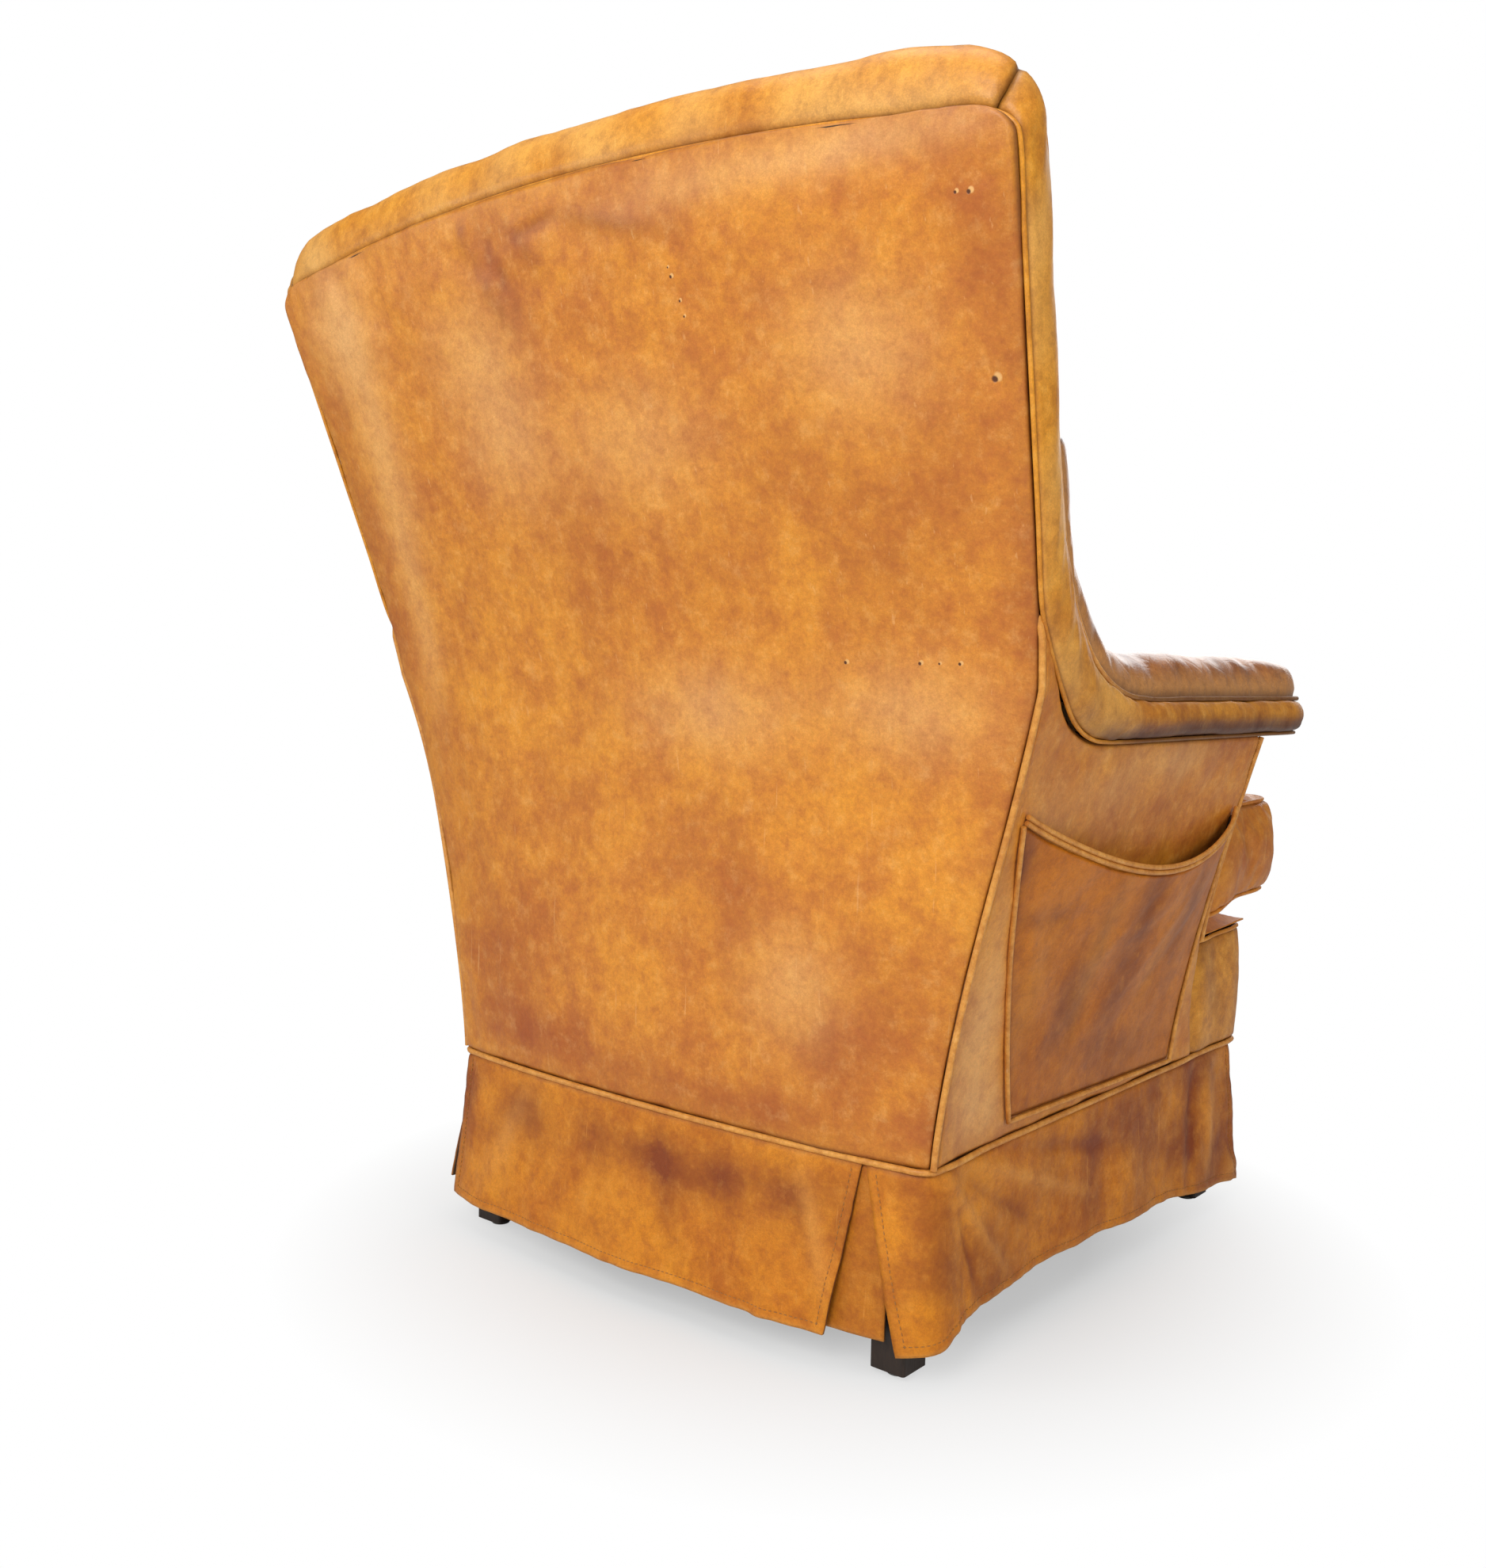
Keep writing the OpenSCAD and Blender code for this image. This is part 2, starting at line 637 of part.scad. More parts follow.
module front_seat_rail() {
    color(wood_colour)
        difference() {
            translate([glue - inner_x, front_rail_y, frame_h])
                cube([2 * (inner_x - glue), rail_t, front_rail_top - frame_h]);
            for (side = [-1, 1]) {
                dowels_at(dowel_front, along_x, side, fit_play);
                screw_bores(side);
            }
        }
}
module rear_seat_rail() {
    color(wood_colour)
        difference() {
            translate([glue - post_inner_x, rear_face_y - rail_t, frame_h])
                cube([2 * (post_inner_x - glue), rail_t, rear_rail_top - frame_h]);
            for (side = [-1, 1])
                dowels_at(dowel_rear, along_x, side, fit_play);
        }
}
module side_rail(side) {
    color(wood_colour)
        difference() {
            translate([side > 0 ? inner_x : -frame_x, front_rail_y, frame_h])
                cube([rail_t, rear_face_y - front_rail_y, rail_h]);
            dowels_at(dowel_front, along_x, side, fit_play);
            lap_dowels(side, fit_play);
            upright_dowels(dowel_arm_post, side, fit_play);
            bolt_bores(side);
            screw_bores(side);
        }
}
module left_seat_rail() side_rail(1);
module right_seat_rail() side_rail(-1);

// Corner blocks with their screws: the corner, and the directions in which the block runs
block_w = 62;
block_h = 55;
block_lift = 50;
block_z = frame_h + block_lift;
screw_r = 2.4;
screw_head_r = 4.5;
screw_head_t = 4;
screw_sink = 22;
screw_reach = 18;
screw_off = 22;
block_corners = [
    [inner_x - glue, front_rail_y + rail_t + glue, 1],
    [inner_x - glue, post_front_y - glue, -1]
];
module corner_blocks() {
    color(wood_colour)
        for (side = [-1, 1])
            difference() {
                for (c = block_corners)
                    translate([0, 0, block_z])
                        linear_extrude(height = block_h)
                            polygon([
                                [side * c[0], c[1]], [side * (c[0] - block_w), c[1]],
                                [side * c[0], c[1] + c[2] * block_w]
                            ]);
                screw_bores(side);
            }
}
module screw(play) {
    translate([0, 0, -screw_sink])
        cylinder(r = screw_r + play, h = screw_sink + screw_reach + (play > 0 ? cut : 0), $fn = 24);
    translate([0, 0, -screw_sink - (play > 0 ? block_w : 0)])
        cylinder(r = screw_head_r + play, h = screw_head_t + (play > 0 ? block_w : 0), $fn = 24);
}
module screws(side, play) {
    for (c = block_corners)
        translate([side * c[0], c[1] + c[2] * screw_off, block_z + block_h * 0.7])
            rotate([0, side * 90, 0])
                screw(play);
    translate([side * (block_corners[0][0] - screw_off), block_corners[0][1], block_z + block_h * 0.3])
        rotate([90, 0, 0])
            screw(play);
    translate([side * (block_corners[1][0] - screw_off), block_corners[1][1], block_z + block_h * 0.3])
        rotate([-90, 0, 0])
            screw(play);
}
module screw_bores(side) screws(side, fit_play);
module block_screws() {
    color(metal_colour) {
        screws(-1, 0);
        screws(1, 0);
    }
}

// The posts of the back: drawn from the side and from the front
post_over = 5;
post_shape_over = 80;
post_steps = concat(
    [frame_h], [for (s = [0:0.25:1]) bend_start_h + bend_length * s], [corner_h + post_over]
);
function side_point(z, t) = let (p = lean_point(0, z, t)) [p[1], p[2]];
module back_post(side) {
    rear = [for (z = post_steps) side_point(z, frame_inset)];
    front = [for (i = [len(post_steps) - 1:-1:0]) side_point(post_steps[i], frame_inset + post_d)];
    top = corner_h + post_shape_over;
    color(wood_colour)
        difference() {
            intersection() {
                side_shape(concat(rear, front), side > 0 ? 0 : -top_w, side > 0 ? top_w : 0);
                front_shape([
                    [side * post_inner_x, 0], [side * inner_x, 0], [side * inner_x, side_rail_top],
                    [side * post_x(board_bottom), board_bottom], [side * post_x(top), top],
                    [side * (post_x(top) - post_w), top],
                    [side * (post_x(board_bottom) - post_w), board_bottom],
                    [side * post_inner_x, side_rail_top]
                ], 0, overall_d);
            }
            dowels_at(concat(dowel_rear, dowel_top, dowel_lumbar), along_x, side, fit_play);
            dowels_at(dowel_board_rear, along_y, side, fit_play);
            lap_dowels(side, fit_play);
            screw_bores(side);
        }
}
module left_back_post() back_post(1);
module right_back_post() back_post(-1);

module back_rail(z, places) {
    corners = [
        side_point(z[0], back_rail_t[0]), side_point(z[1], back_rail_t[0]),
        side_point(z[1], back_rail_t[1]), side_point(z[0], back_rail_t[1])
    ];
    color(wood_colour)
        difference() {
            intersection() {
                side_shape(corners, -top_w / 2, top_w / 2);
                front_shape([
                    [glue - post_x(z[0]) + post_w, z[0]], [post_x(z[0]) - post_w - glue, z[0]],
                    [post_x(z[1] + post_d) - post_w - glue, z[1] + post_d],
                    [glue - post_x(z[1] + post_d) + post_w, z[1] + post_d]
                ], 0, overall_d);
            }
            for (side = [-1, 1])
                dowels_at(places, along_x, side, fit_play);
        }
}
module top_rail() back_rail(top_rail_z, dowel_top);
module lumbar_rail() back_rail(lumbar_rail_z, dowel_lumbar);

module arm_post(side) {
    run = arm_post_run;
    color(wood_colour)
        difference() {
            front_shape([
                [side * inner_x, side_rail_top + glue], [side * frame_x, side_rail_top + glue],
                [side * (frame_x + run), board_bottom - glue], [side * (inner_x + run), board_bottom - glue]
            ], arm_post_y - arm_post_d / 2, arm_post_y + arm_post_d / 2);
            upright_dowels(dowel_arm_post, side, fit_play);
            upright_dowels(dowel_board, side, fit_play);
        }
}
module left_arm_post() arm_post(1);
module right_arm_post() arm_post(-1);

board_tip_inset = 18;
board_end_r = 26;
module arm_board(side) {
    front_y = board_tip_inset - arm_tip_d;
    r = board_end_r;
    color(wood_colour)
        difference() {
            translate([side * (board_outer_x - board_w / 2), 0, board_bottom])
                linear_extrude(height = board_t) {
                    translate([-board_w / 2, front_y + r])
                        square([board_w, board_rear_y - front_y - r]);
                    translate([r - board_w / 2, front_y])
                        square([board_w - 2 * r, 2 * r]);
                    for (x = [r - board_w / 2, board_w / 2 - r])
                        translate([x, front_y + r])
                            circle(r = r, $fn = 48);
                }
            upright_dowels(dowel_board, side, fit_play);
            dowels_at(dowel_board_rear, along_y, side, fit_play);
        }
}
module left_arm_board() arm_board(1);
module right_arm_board() arm_board(-1);

// Zigzag seat springs that lie on the front and rear rails
spring_spread = 350;
spring_reach = 24;
half_waves = 16;
bend_shares = [0, 0.2, 0.8];
module seat_springs() {
    first = front_rail_y + rail_t / 2;
    last = rear_face_y - rail_t / 2;
    shift = deck_t + spring_play + spring_wire / 2;
    color(metal_colour)
        for (k = [0:spring_count - 1])
            cord([
                for (i = [0:half_waves * 3])
                    let (
                        s = i / (half_waves * 3), w = i % 3, turn = floor(i / 3) % 2 == 0 ? 1 : -1,
                        x = (w == 0 ? 0 : spring_reach) * turn,
                        y = blend(first, last, (floor(i / 3) + bend_shares[w]) / half_waves)
                    )
                    [spring_spread * (k / (spring_count - 1) - 0.5) + x, y, deck_z(y) - shift]
            ], spring_wire / 2, [0, 0, 1], sides = 4);
}

webbing_colour = [0.6, 0.5, 0.36];
module back_webbing() {
    margin = 30;
    lift = 20;
    rear_play = 0.4;
    front_play = 1;
    rows = concat([rear_rail_top + lift], [for (i = [1:5]) post_steps[i]], [corner_h]);
    function face(t) = [for (z = rows) [for (s = [-1, 1]) lean_point(s * (post_x(z) - margin), z, t)]];
    color(webbing_colour)
        slab(face(frame_inset + post_d + rear_play), face(border_w - pad_under - front_play));
}

module deck_pad() {
    front_inset = 1;
    step_play = 2;
    rear_play = 12;
    step_y = front_border_d - arm_face_d - step_play;
    rear_y = front_border_d + post_front_y - rear_play;
    color(leather_colour)
        on_deck()
            translate([0, 0, -deck_t])
                linear_extrude(height = deck_t)
                    polygon([
                        [-front_border_w / 2, front_inset], [front_border_w / 2, front_inset],
                        [front_border_w / 2, step_y], [seat_half_w - gap, step_y],
                        [seat_half_w - gap, rear_y], [gap - seat_half_w, rear_y],
                        [gap - seat_half_w, step_y], [-front_border_w / 2, step_y]
                    ]);
}

// The leather of the outside back
function edge_ramp(u) = pow(max(0, 1 - pow(abs(2 * u - 1), 6)), 0.5);
back_cover_play = 0.8;
module outside_back_cover() {
    across = evenly(back_columns);
    grid = back_patch(
        welt_h + seam_clear, side_inset + seam_clear + back_cover_play, top_seam_drop + seam_clear,
        across, back_rows
    );
    function face(t) = [
        for (i = [0:back_rows - 1]) [
            for (j = [0:back_columns - 1])
                let (
                    p = grid[i][j], u = across[j], v = i / (back_rows - 1),
                    roll = edge_roll * edge_ramp(u) * pow(1 - pow(v, 10), 0.5),
                    q = back_point(p[0], p[1], 0)
                )
                [q[0], q[1] + roll + t, q[2]]
        ]
    ];
    color(leather_colour)
        slab(face(leather_t / 2), face(-leather_t / 2));
}

module left_border() {
    color(border_colour)
        border(side_stations, 1);
}
module right_border() {
    color(border_colour)
        border(side_stations, -1);
}
module top_border() {
    color(border_colour)
        border([
            for (i = [0:len(top_stations) - 1])
                let (
                    s = top_stations[i],
                    shift = i == 0 ? gap : i == len(top_stations) - 1 ? -gap : 0
                )
                [for (k = [0:3]) k < 3 ? s[k] - [shift, 0, 0] : s[k]]
        ]);
}
module rear_seam_welt() {
    color(welt_colour)
        cord([for (s = whole_line) s[0]], welt_r);
}
module front_welt() {
    color(welt_colour)
        cord([for (s = whole_line) s[2]], welt_r);
}

// The padded front of the head
module head_pad() {
    columns = pad_columns + 2;
    across = crowded(columns);
    grid = back_patch(
        head_seam_h + gap, front_inset + seam_clear, top_front_inset + seam_clear, across, pad_rows
    );
    function face(front) = [
        for (i = [0:pad_rows - 1]) [
            for (j = [0:columns - 1])
                let (
                    p = grid[i][j], u = across[j], v = i / (pad_rows - 1),
                    c = pad_crown * edge_ramp(u) * pow(1 - pow(v, 6), 0.5) * (i == 0 ? 0.8 : 1)
                )
                lean_point(p[0], p[1], border_w + (front ? c : -pad_under))
        ]
    ];
    color(leather_colour)
        slab(face(true), face(false));
}

// Inner edge of the arm sweep at a height of the back, and the lumbar pad between the sweeps
function arm_inner_x(z) =
    z < arm_welt_h
    ? blend(
        seat_half_w, min(arm_outer_x(welt_rise_y), welt_rise(3 / rise_steps)[0]) - arm_pad_w,
        clamp01((z - deck_h + 2 * deck_t) / (arm_welt_h - deck_h + 2 * deck_t))
    )
    : half_w(z) - front_inset - arm_pad_w;
lumbar_peak_h = 500;
module lumbar_pad() {
    rows = 12;
    columns = pad_columns;
    low = deck_z(post_front_y - lumbar_t) + gap;
    high = head_seam_h - gap;
    function swell(z) =
        z < lumbar_peak_h
        ? lumbar_t * (0.86 + 0.14 * sin(90 * (z - low) / (lumbar_peak_h - low)))
        : blend(pad_crown * 0.85, lumbar_t, pow(cos(90 * (z - lumbar_peak_h) / (high - lumbar_peak_h)), 1.2));
    function face(front) = [
        for (i = [0:rows - 1]) [
            for (j = [0:columns - 1])
                let (
                    z = blend(low, high, i / (rows - 1)), u = j / (columns - 1),
                    zf = z + (border_w - pad_under) * sin(lean(z)), w = arm_inner_x(zf) - gap,
                    c = swell(z) * (0.62 + 0.38 * edge_ramp(u))
                )
                lean_point(w * (1 - 2 * u), z, border_w + (front ? c : -pad_under))
        ]
    ];
    color(leather_colour)
        slab(face(true), face(false));
}

// The padding of the arm, from its rounded end up to the head pad
function pad_row(front, along, w, lift) =
    let (m = unit([0, -along[2], along[1]]))
    [front, m, w, lift];
arm_rows = concat(
    [
        for (a = [10, 32, 60, 90])
            let (r = arm_end_r - seam_clear, off = r * (1 - sin(a)))
            [[arm_end_x - seam_clear - off, arm_end_y - r * cos(a), arm_welt_h], [0, 0, 1],
                arm_pad_w - 2 * seam_clear - 2 * off, pow(sin(a), 0.8)]
    ],
    [
        for (s = [1:3])
            let (y = blend(arm_end_y, welt_rise_y, s / 4))
            [[arm_outer_x(y) - seam_clear, y, arm_welt_h], [0, 0, 1], arm_pad_w - 2 * seam_clear, 1]
    ],
    [
        for (s = [0:rise_steps])
            let (
                t = s / rise_steps, p = welt_rise(t), q = welt_rise(t + 0.02) - welt_rise(t - 0.02),
                m = unit([0, -q[2], q[1]])
            )
            [[p[0] - seam_clear, p[1], p[2]], s == 0 ? [0, 0, 1] : m, arm_pad_w - 2 * seam_clear, 1]
    ],
    [
        for (z = [head_seam_h - gap])
            let (p = lean_point(half_w(z) - front_inset - seam_clear, z, border_w))
            [p, [0, -cos(lean(z)), sin(lean(z))], arm_pad_w - 2 * seam_clear, 0.9]
    ]
);
pad_shares = [
    [0, 0.12], [0.025, 0.6], [0.12, 0.9], [0.32, 1], [0.68, 1], [0.88, 0.9], [0.975, 0.6], [1, 0.12]
];
module arm_pad(side) {
    function face(top) = [
        for (r = arm_rows) [
            for (q = pad_shares)
                r[0] - [r[2] * q[0], 0, 0] + r[1] * (top ? pad_crown * r[3] * q[1] : -pad_under)
        ]
    ];
    color(arm_colour)
        slab([for (r = face(true)) mirrored(r, side)], [for (r = face(false)) mirrored(r, side)]);
}
module left_arm_pad() arm_pad(1);
module right_arm_pad() arm_pad(-1);

// The leather between the arm pad and the seat
inside_arm_t = 7;
inside_arm_top_t = 10;
inside_arm_inset = 11;
inside_arm_tuck = 6;
module inside_arm(side) {
    rise_play = 2;
    low = deck_z(0) - deck_t - inside_arm_tuck;
    tops = concat(
        [
            for (s = [0:4])
                let (y = blend(inside_arm_inset - arm_face_d, welt_rise_y, s / 4))
                [arm_outer_x(y) - arm_pad_w, y, arm_welt_h - pad_under - gap]
        ],
        [
            for (s = [1:3])
                let (p = welt_rise(s / rise_steps))
                [p[0] - arm_pad_w, p[1] + pad_under, p[2] - pad_under - rise_play]
        ]
    );
    function face(t) = [
        for (p = tops) [
            for (i = [0:4])
                let (v = i / 4)
                [
                    blend(seat_half_w, p[0], v) + t * blend(inside_arm_t, inside_arm_top_t, v),
                    p[1], blend(low, p[2], v)
                ]
        ]
    ];
    color(leather_colour)
        slab([for (r = face(0)) mirrored(r, side)], [for (r = face(1)) mirrored(r, side)]);
}
module left_inside_arm() inside_arm(1);
module right_inside_arm() inside_arm(-1);

// The leather on the outside of the arm
overhang_run = 60;
function arm_inset(y, z) = blend(side_inset, arm_overhang, clamp01((seam_y(z) - y) / overhang_run));
arm_front_inset = 6;
arm_foot_run = 45;
arm_foot_h = 400;
function arm_front_y(z) =
    arm_front_inset - arm_face_d - arm_foot_run * pow(clamp01((arm_foot_h - z) / (arm_foot_h - welt_h)), 1.7);
join_drop = 17;
join_taper = 3;
join_z = seam_join_h - join_drop;
outside_rows = 8;
outside_columns = 12;
outside_low = welt_h + seam_clear;
outside_arm_grid =
    let (
        panel_top = arm_seam_h - seam_clear,
        top_front = [arm_front_y(arm_seam_h), panel_top],
        front = [
            for (i = [0:outside_rows - 1])
                let (z = blend(outside_low, panel_top, i / (outside_rows - 1)))
                [arm_front_y(z), z]
        ],
        rear = [
            for (i = [0:outside_rows - 1])
                let (z = blend(outside_low, join_z, i / (outside_rows - 1)))
                [seam_y(z) - seam_clear - join_taper * max(0, z - arm_seam_h) / (join_z - arm_seam_h), z]
        ],
        low = [
            for (j = [0:outside_columns - 1])
                [blend(front[0][0], rear[0][0], j / (outside_columns - 1)), outside_low]
        ],
        flat = outside_columns - 1 - rise_steps,
        high = [
            for (j = [0:outside_columns - 1])
                j < flat
                ? [blend(top_front[0], seam_rise_y, j / flat), panel_top]
                : let (
                    t = (j - flat) / (outside_columns - 1 - flat), p = seam_rise(t),
                    d = unit(seam_rise(min(1, t + 0.01)) - seam_rise(t - 0.01))
                )
                j == outside_columns - 1 ? rear[outside_rows - 1]
                : [p[1] + d[2] * seam_clear * 1.3, p[2] - d[1] * seam_clear * 1.3]
        ]
    )
    patch(low, high, front, rear, evenly(outside_columns));
module outside_arm(side) {
    function face(t) = [
        for (row = outside_arm_grid) [
            for (p = row) [side * (half_w(p[1]) - arm_inset(p[0], p[1]) + t), p[0], p[1]]
        ]
    ];
    color(leather_colour)
        slab(face(leather_t / 2), face(-leather_t / 2));
}
module left_outside_arm() outside_arm(1);
module right_outside_arm() outside_arm(-1);

// The front of the arm, and the underside of its overhanging end
facing_t = 10;
module arm_facing(side) {
    low = deck_z(-arm_face_d) - deck_t / 2;
    high = arm_seam_h - seam_clear - gap;
    play = 1;
    function panel(t) = [
        for (i = [0:6]) [
            for (j = [0:4])
                let (z = blend(low, high, i / 6), u = j / 4,
                     x0 = blend(seat_half_w, arm_end_x - arm_pad_w, (z - low) / (high - low)) + play,
                     x1 = half_w(z) - arm_overhang - seam_clear - gap)
                [side * blend(x0, x1, u), t, z]
        ]
    ];
    function under(z) = [
        for (a = [10, 32, 60, 90, 91])
            let (
                r = arm_end_r - side_inset - seam_clear,
                off = a > 90 ? 0 : r * (1 - sin(a)),
                shift = a > 90 ? arm_outer_x(-arm_face_d) - arm_end_x : 0,
                y = a > 90 ? -arm_face_d - gap : arm_end_y - r * cos(a), inset = side_inset + seam_clear + gap
            )
            [for (u = [0, 0.5, 1]) [
                side * (blend(arm_end_x - arm_pad_w + inset + off, arm_end_x - inset - off, u) + shift), y, z
            ]]
    ];
    color(leather_colour) {
        slab(panel(-arm_face_d), panel(facing_t - arm_face_d));
        slab(under(arm_seam_h - leather_t / 2), under(arm_seam_h + leather_t / 2));
    }
}
module left_arm_facing() arm_facing(1);
module right_arm_facing() arm_facing(-1);

module corner_welts() {
    color(welt_colour)
        for (side = [-1, 1]) {
            cord([
                for (s = [0:14])
                    let (z = blend(welt_h + 2 * seam_clear, join_z, s / 14))
                    [side * (half_w(z) - side_inset), seam_y(z), z]
            ], welt_r, [1, 0, 0]);
            cord([
                for (s = [0:7])
                    let (z = blend(deck_h - deck_t, arm_seam_h - 2 * seam_clear, s / 7))
                    [side * (half_w(z) - arm_overhang), arm_front_y(z) - seam_clear, z]
            ], welt_r, [1, 0, 0]);
        }
}

// The magazine pocket on the sitter's right: u runs to the rear and v up
pocket_columns = 11;
pocket_rows = 7;
pocket_low_inset = 30;
pocket_low_rear_y = 144;
pocket_low_tilt = 8;
pocket_high_inset = 20;
pocket_high_rear_y = 247;
pocket_high_tilt = 18;
pocket_play = 0.9;
pipe_play = 0.7;
function pocket_place(u, v) =
    let (
        low = [
            blend(pocket_low_inset - arm_face_d, pocket_low_rear_y, u),
            pocket_bottom_h - pocket_low_tilt * (1 - u)
        ],
        sag = pocket_sag * pow(sin(180 * pow(u, 0.8)), 0.9),
        high = [
            blend(pocket_high_inset - arm_face_d, pocket_high_rear_y, u),
            pocket_top_h - pocket_high_tilt * (1 - u) - sag
        ]
    )
    blend(low, high, v);
function pocket_out(u, v) = pocket_gape * pow(v, 1.6) * pow(max(0, sin(180 * pow(u, 0.8))), 0.8);
function arm_face_x(p) = half_w(p[1]) - arm_inset(p[0], p[1]) + leather_t / 2;
function pocket_point(u, v, t) =
    let (p = pocket_place(u, v)) [-arm_face_x(p) - pocket_out(u, v) - t, p[0], p[1]];
module magazine_pocket() {
    function face(t) = [
        for (i = [0:pocket_rows - 1]) [
            for (j = [0:pocket_columns - 1])
                pocket_point(j / (pocket_columns - 1), i / (pocket_rows - 1), t)
        ]
    ];
    color(arm_colour)
        slab(face(pocket_play), face(pocket_play + leather_t));
}
pipe_r = 2.4;
module pocket_piping() {
    off = pipe_r + pipe_play;
    function place(u, v, dy, dz) =
        let (p = pocket_place(u, v) + [dy, dz])
        [-arm_face_x(p) - pipe_r - pocket_play - pocket_out(u, v), p[0], p[1]];
    n = pocket_columns - 1;
    color(welt_colour) {
        cord(concat(
            [for (i = [pocket_rows - 1:-1:0]) place(1, i / (pocket_rows - 1), off, i == 0 ? -off : 0)],
            [for (j = [n - 1:-1:1]) place(j / n, 0, 0, -off)],
            [for (i = [0:pocket_rows - 1]) place(0, i / (pocket_rows - 1), -off, i == 0 ? -off : 0)]
        ), pipe_r, [1, 0, 0]);
        for (k = [0, 1])
            cord([for (j = [0:n]) place(j / n, 1, 0, off + k * (2 * pipe_r + gap))], pipe_r, [1, 0, 0]);
    }
}

// The boxed border across the front of the seat, in plan: point and outward direction
box_r = 20;
box_end_d = 260;
box_end_y = -box_end_d;
box_tuck_l = 4;
box_bend_l = 12;
box_x = front_border_w / 2;
box_tuck = 3;
box_side = concat(
    [for (y = [-arm_face_d, box_end_y - box_tuck_l]) [box_x - box_tuck, y, 1, 0]],
    [for (y = [box_end_y - box_bend_l, (box_end_y + box_r - front_border_d) / 2]) [box_x, y, 1, 0]]
);
box_corner = [
    for (a = [0:-22.5:-90])
        [box_x - box_r + box_r * cos(a), box_r - front_border_d + box_r * sin(a), cos(a), sin(a)]
];
box_half = concat(box_side, box_corner);
front_shares = [0.66, 0.33, 0, -0.33, -0.66];
box_line = concat(
    box_half,
    [for (s = front_shares) [(box_x - box_r) * s, -front_border_d, 0, -1]],
    [for (i = [len(box_half) - 1:-1:0]) let (p = box_half[i]) [-p[0], p[1], -p[2], p[3]]]
);
border_side_t = 10.2;
border_front_t = 5;
border_swell = 2.4;
border_sink = 0.5;
function box_top(y) = deck_z(y) - deck_t - gap;
module front_seat_border() {
    function face(inner) = [
        for (p = box_line) [
            for (v = [0, 0.3, 0.7, 1])
                let (
                    z = blend(welt_h + seam_clear, box_top(p[1]) - 2 * seam_clear, v),
                    t = inner
                        ? -border_side_t - border_front_t * pow(abs(p[3]), 6)
                        : border_swell * sin(180 * v) - border_sink
                )
                [p[0] + p[2] * t, p[1] + p[3] * t, z]
        ]
    ];
    color(leather_colour)
        slab(face(false), face(true));
}
module seat_border_welt() {
    color(welt_colour)
        cord([
            for (p = box_line)
                [p[0] - p[2] * leather_t / 2, p[1] - p[3] * leather_t / 2, box_top(p[1]) - seam_clear]
        ], welt_r);
}

// The welt round the base, and the skirt below it, in plan
side_x = half_w(welt_h) - side_inset;
function rear_line_y(x) =
    seam_y(welt_h) + bow(x, welt_h) + edge_roll * edge_ramp((1 + x / side_x) / 2);
function side_line_x(y) = half_w(welt_h) - arm_inset(y, welt_h);
rear_shares = [0.97, 0.9, 0.78, 0.6, 0.4, 0.2, 0];
rear_line = [
    for (s = rear_shares)
        [side_x * s, rear_line_y(side_x * s), 0.25 * pow(s, 12), 1]
];
corner_run = 12;
corner_cut = 2;
box_join_l = 10;
arm_line = [
    for (s = [0:6])
        let (y = blend(seam_y(welt_h) - corner_run, box_end_y + box_join_l, s / 6))
        [side_line_x(y), y, 1, s == 0 ? 0.25 : 0]
];
base_half = concat(
    [for (i = [len(rear_line) - 1:-1:0]) rear_line[i]],
    [[side_x - corner_cut, seam_y(welt_h) - corner_cut, 0.7, 0.7]],
    arm_line,
    [
        for (i = [2:len(box_half) - 1])
            let (p = box_half[i])
            [p[0] - p[2] * leather_t / 2, p[1] - p[3] * leather_t / 2, p[2], p[3]]
    ],
    [for (s = [0.7, 0.35, 0]) [(box_x - box_r) * s, leather_t / 2 - front_border_d, 0, -1]]
);
base_line = concat(
    base_half, [for (i = [len(base_half) - 2:-1:1]) let (p = base_half[i]) [-p[0], p[1], -p[2], p[3]]]
);
module base_welt() {
    color(welt_colour)
        cord([for (p = base_line) [p[0], p[1], welt_h]], welt_r, loop = true);
}

// A panel that hangs from the welt along a line in plan
skirt_top = welt_h - seam_clear;
skirt_rows = 4;
module hanging(line, inset, folds, short = 0, flare = [1, 1, 1]) {
    n = len(line);
    function face(t) = [
        for (j = [0:n - 1]) [
            for (i = [0:skirt_rows - 1])
                let (
                    v = i / (skirt_rows - 1), p = line[j],
                    s = j / (n - 1),
                    knee = 0.3,
                    spread = s < knee
                        ? blend(flare[0], flare[1], s / knee)
                        : blend(flare[1], flare[2], (s - knee) / (1 - knee)),
                    fold = skirt_fold * v * pow(sin(180 * folds * s), 2),
                    off = skirt_flare * spread * pow(v, 1.2) + fold - inset + t
                )
                [p[0] + p[2] * off, p[1] + p[3] * off, blend(skirt_top, hem_h + short, v)]
        ]
    ];
    slab(face(leather_t / 2), face(-leather_t / 2));
}
// The right panel turns round the rear corner, so the slit there lies on the rear face
slit_x = 64;
slit_play = 4;
skirt_end_inset = 10;
side_skirt_inset = 8;
front_skirt_inset = 6;
back_skirt_line = [
    for (i = [0:16])
        let (x = blend(side_x - skirt_end_inset, slit_x - side_x, i / 16))
        [x, rear_line_y(x), 0, 1]
];
side_skirt_line = [
    for (i = [0:14])
        let (y = blend(seam_y(welt_h) - corner_run, box_r - front_border_d + side_skirt_inset, i / 14))
        [y > box_end_y + box_join_l ? side_line_x(y) : box_x - leather_t / 2, y, 1, 0]
];
front_skirt_line = [
    for (i = [0:16])
        [(box_x - box_r - front_skirt_inset) * (1 - i / 8), leather_t / 2 - front_border_d, 0, -1]
];
module back_skirt() {
    color(leather_colour)
        hanging(back_skirt_line, 0, 3);
}
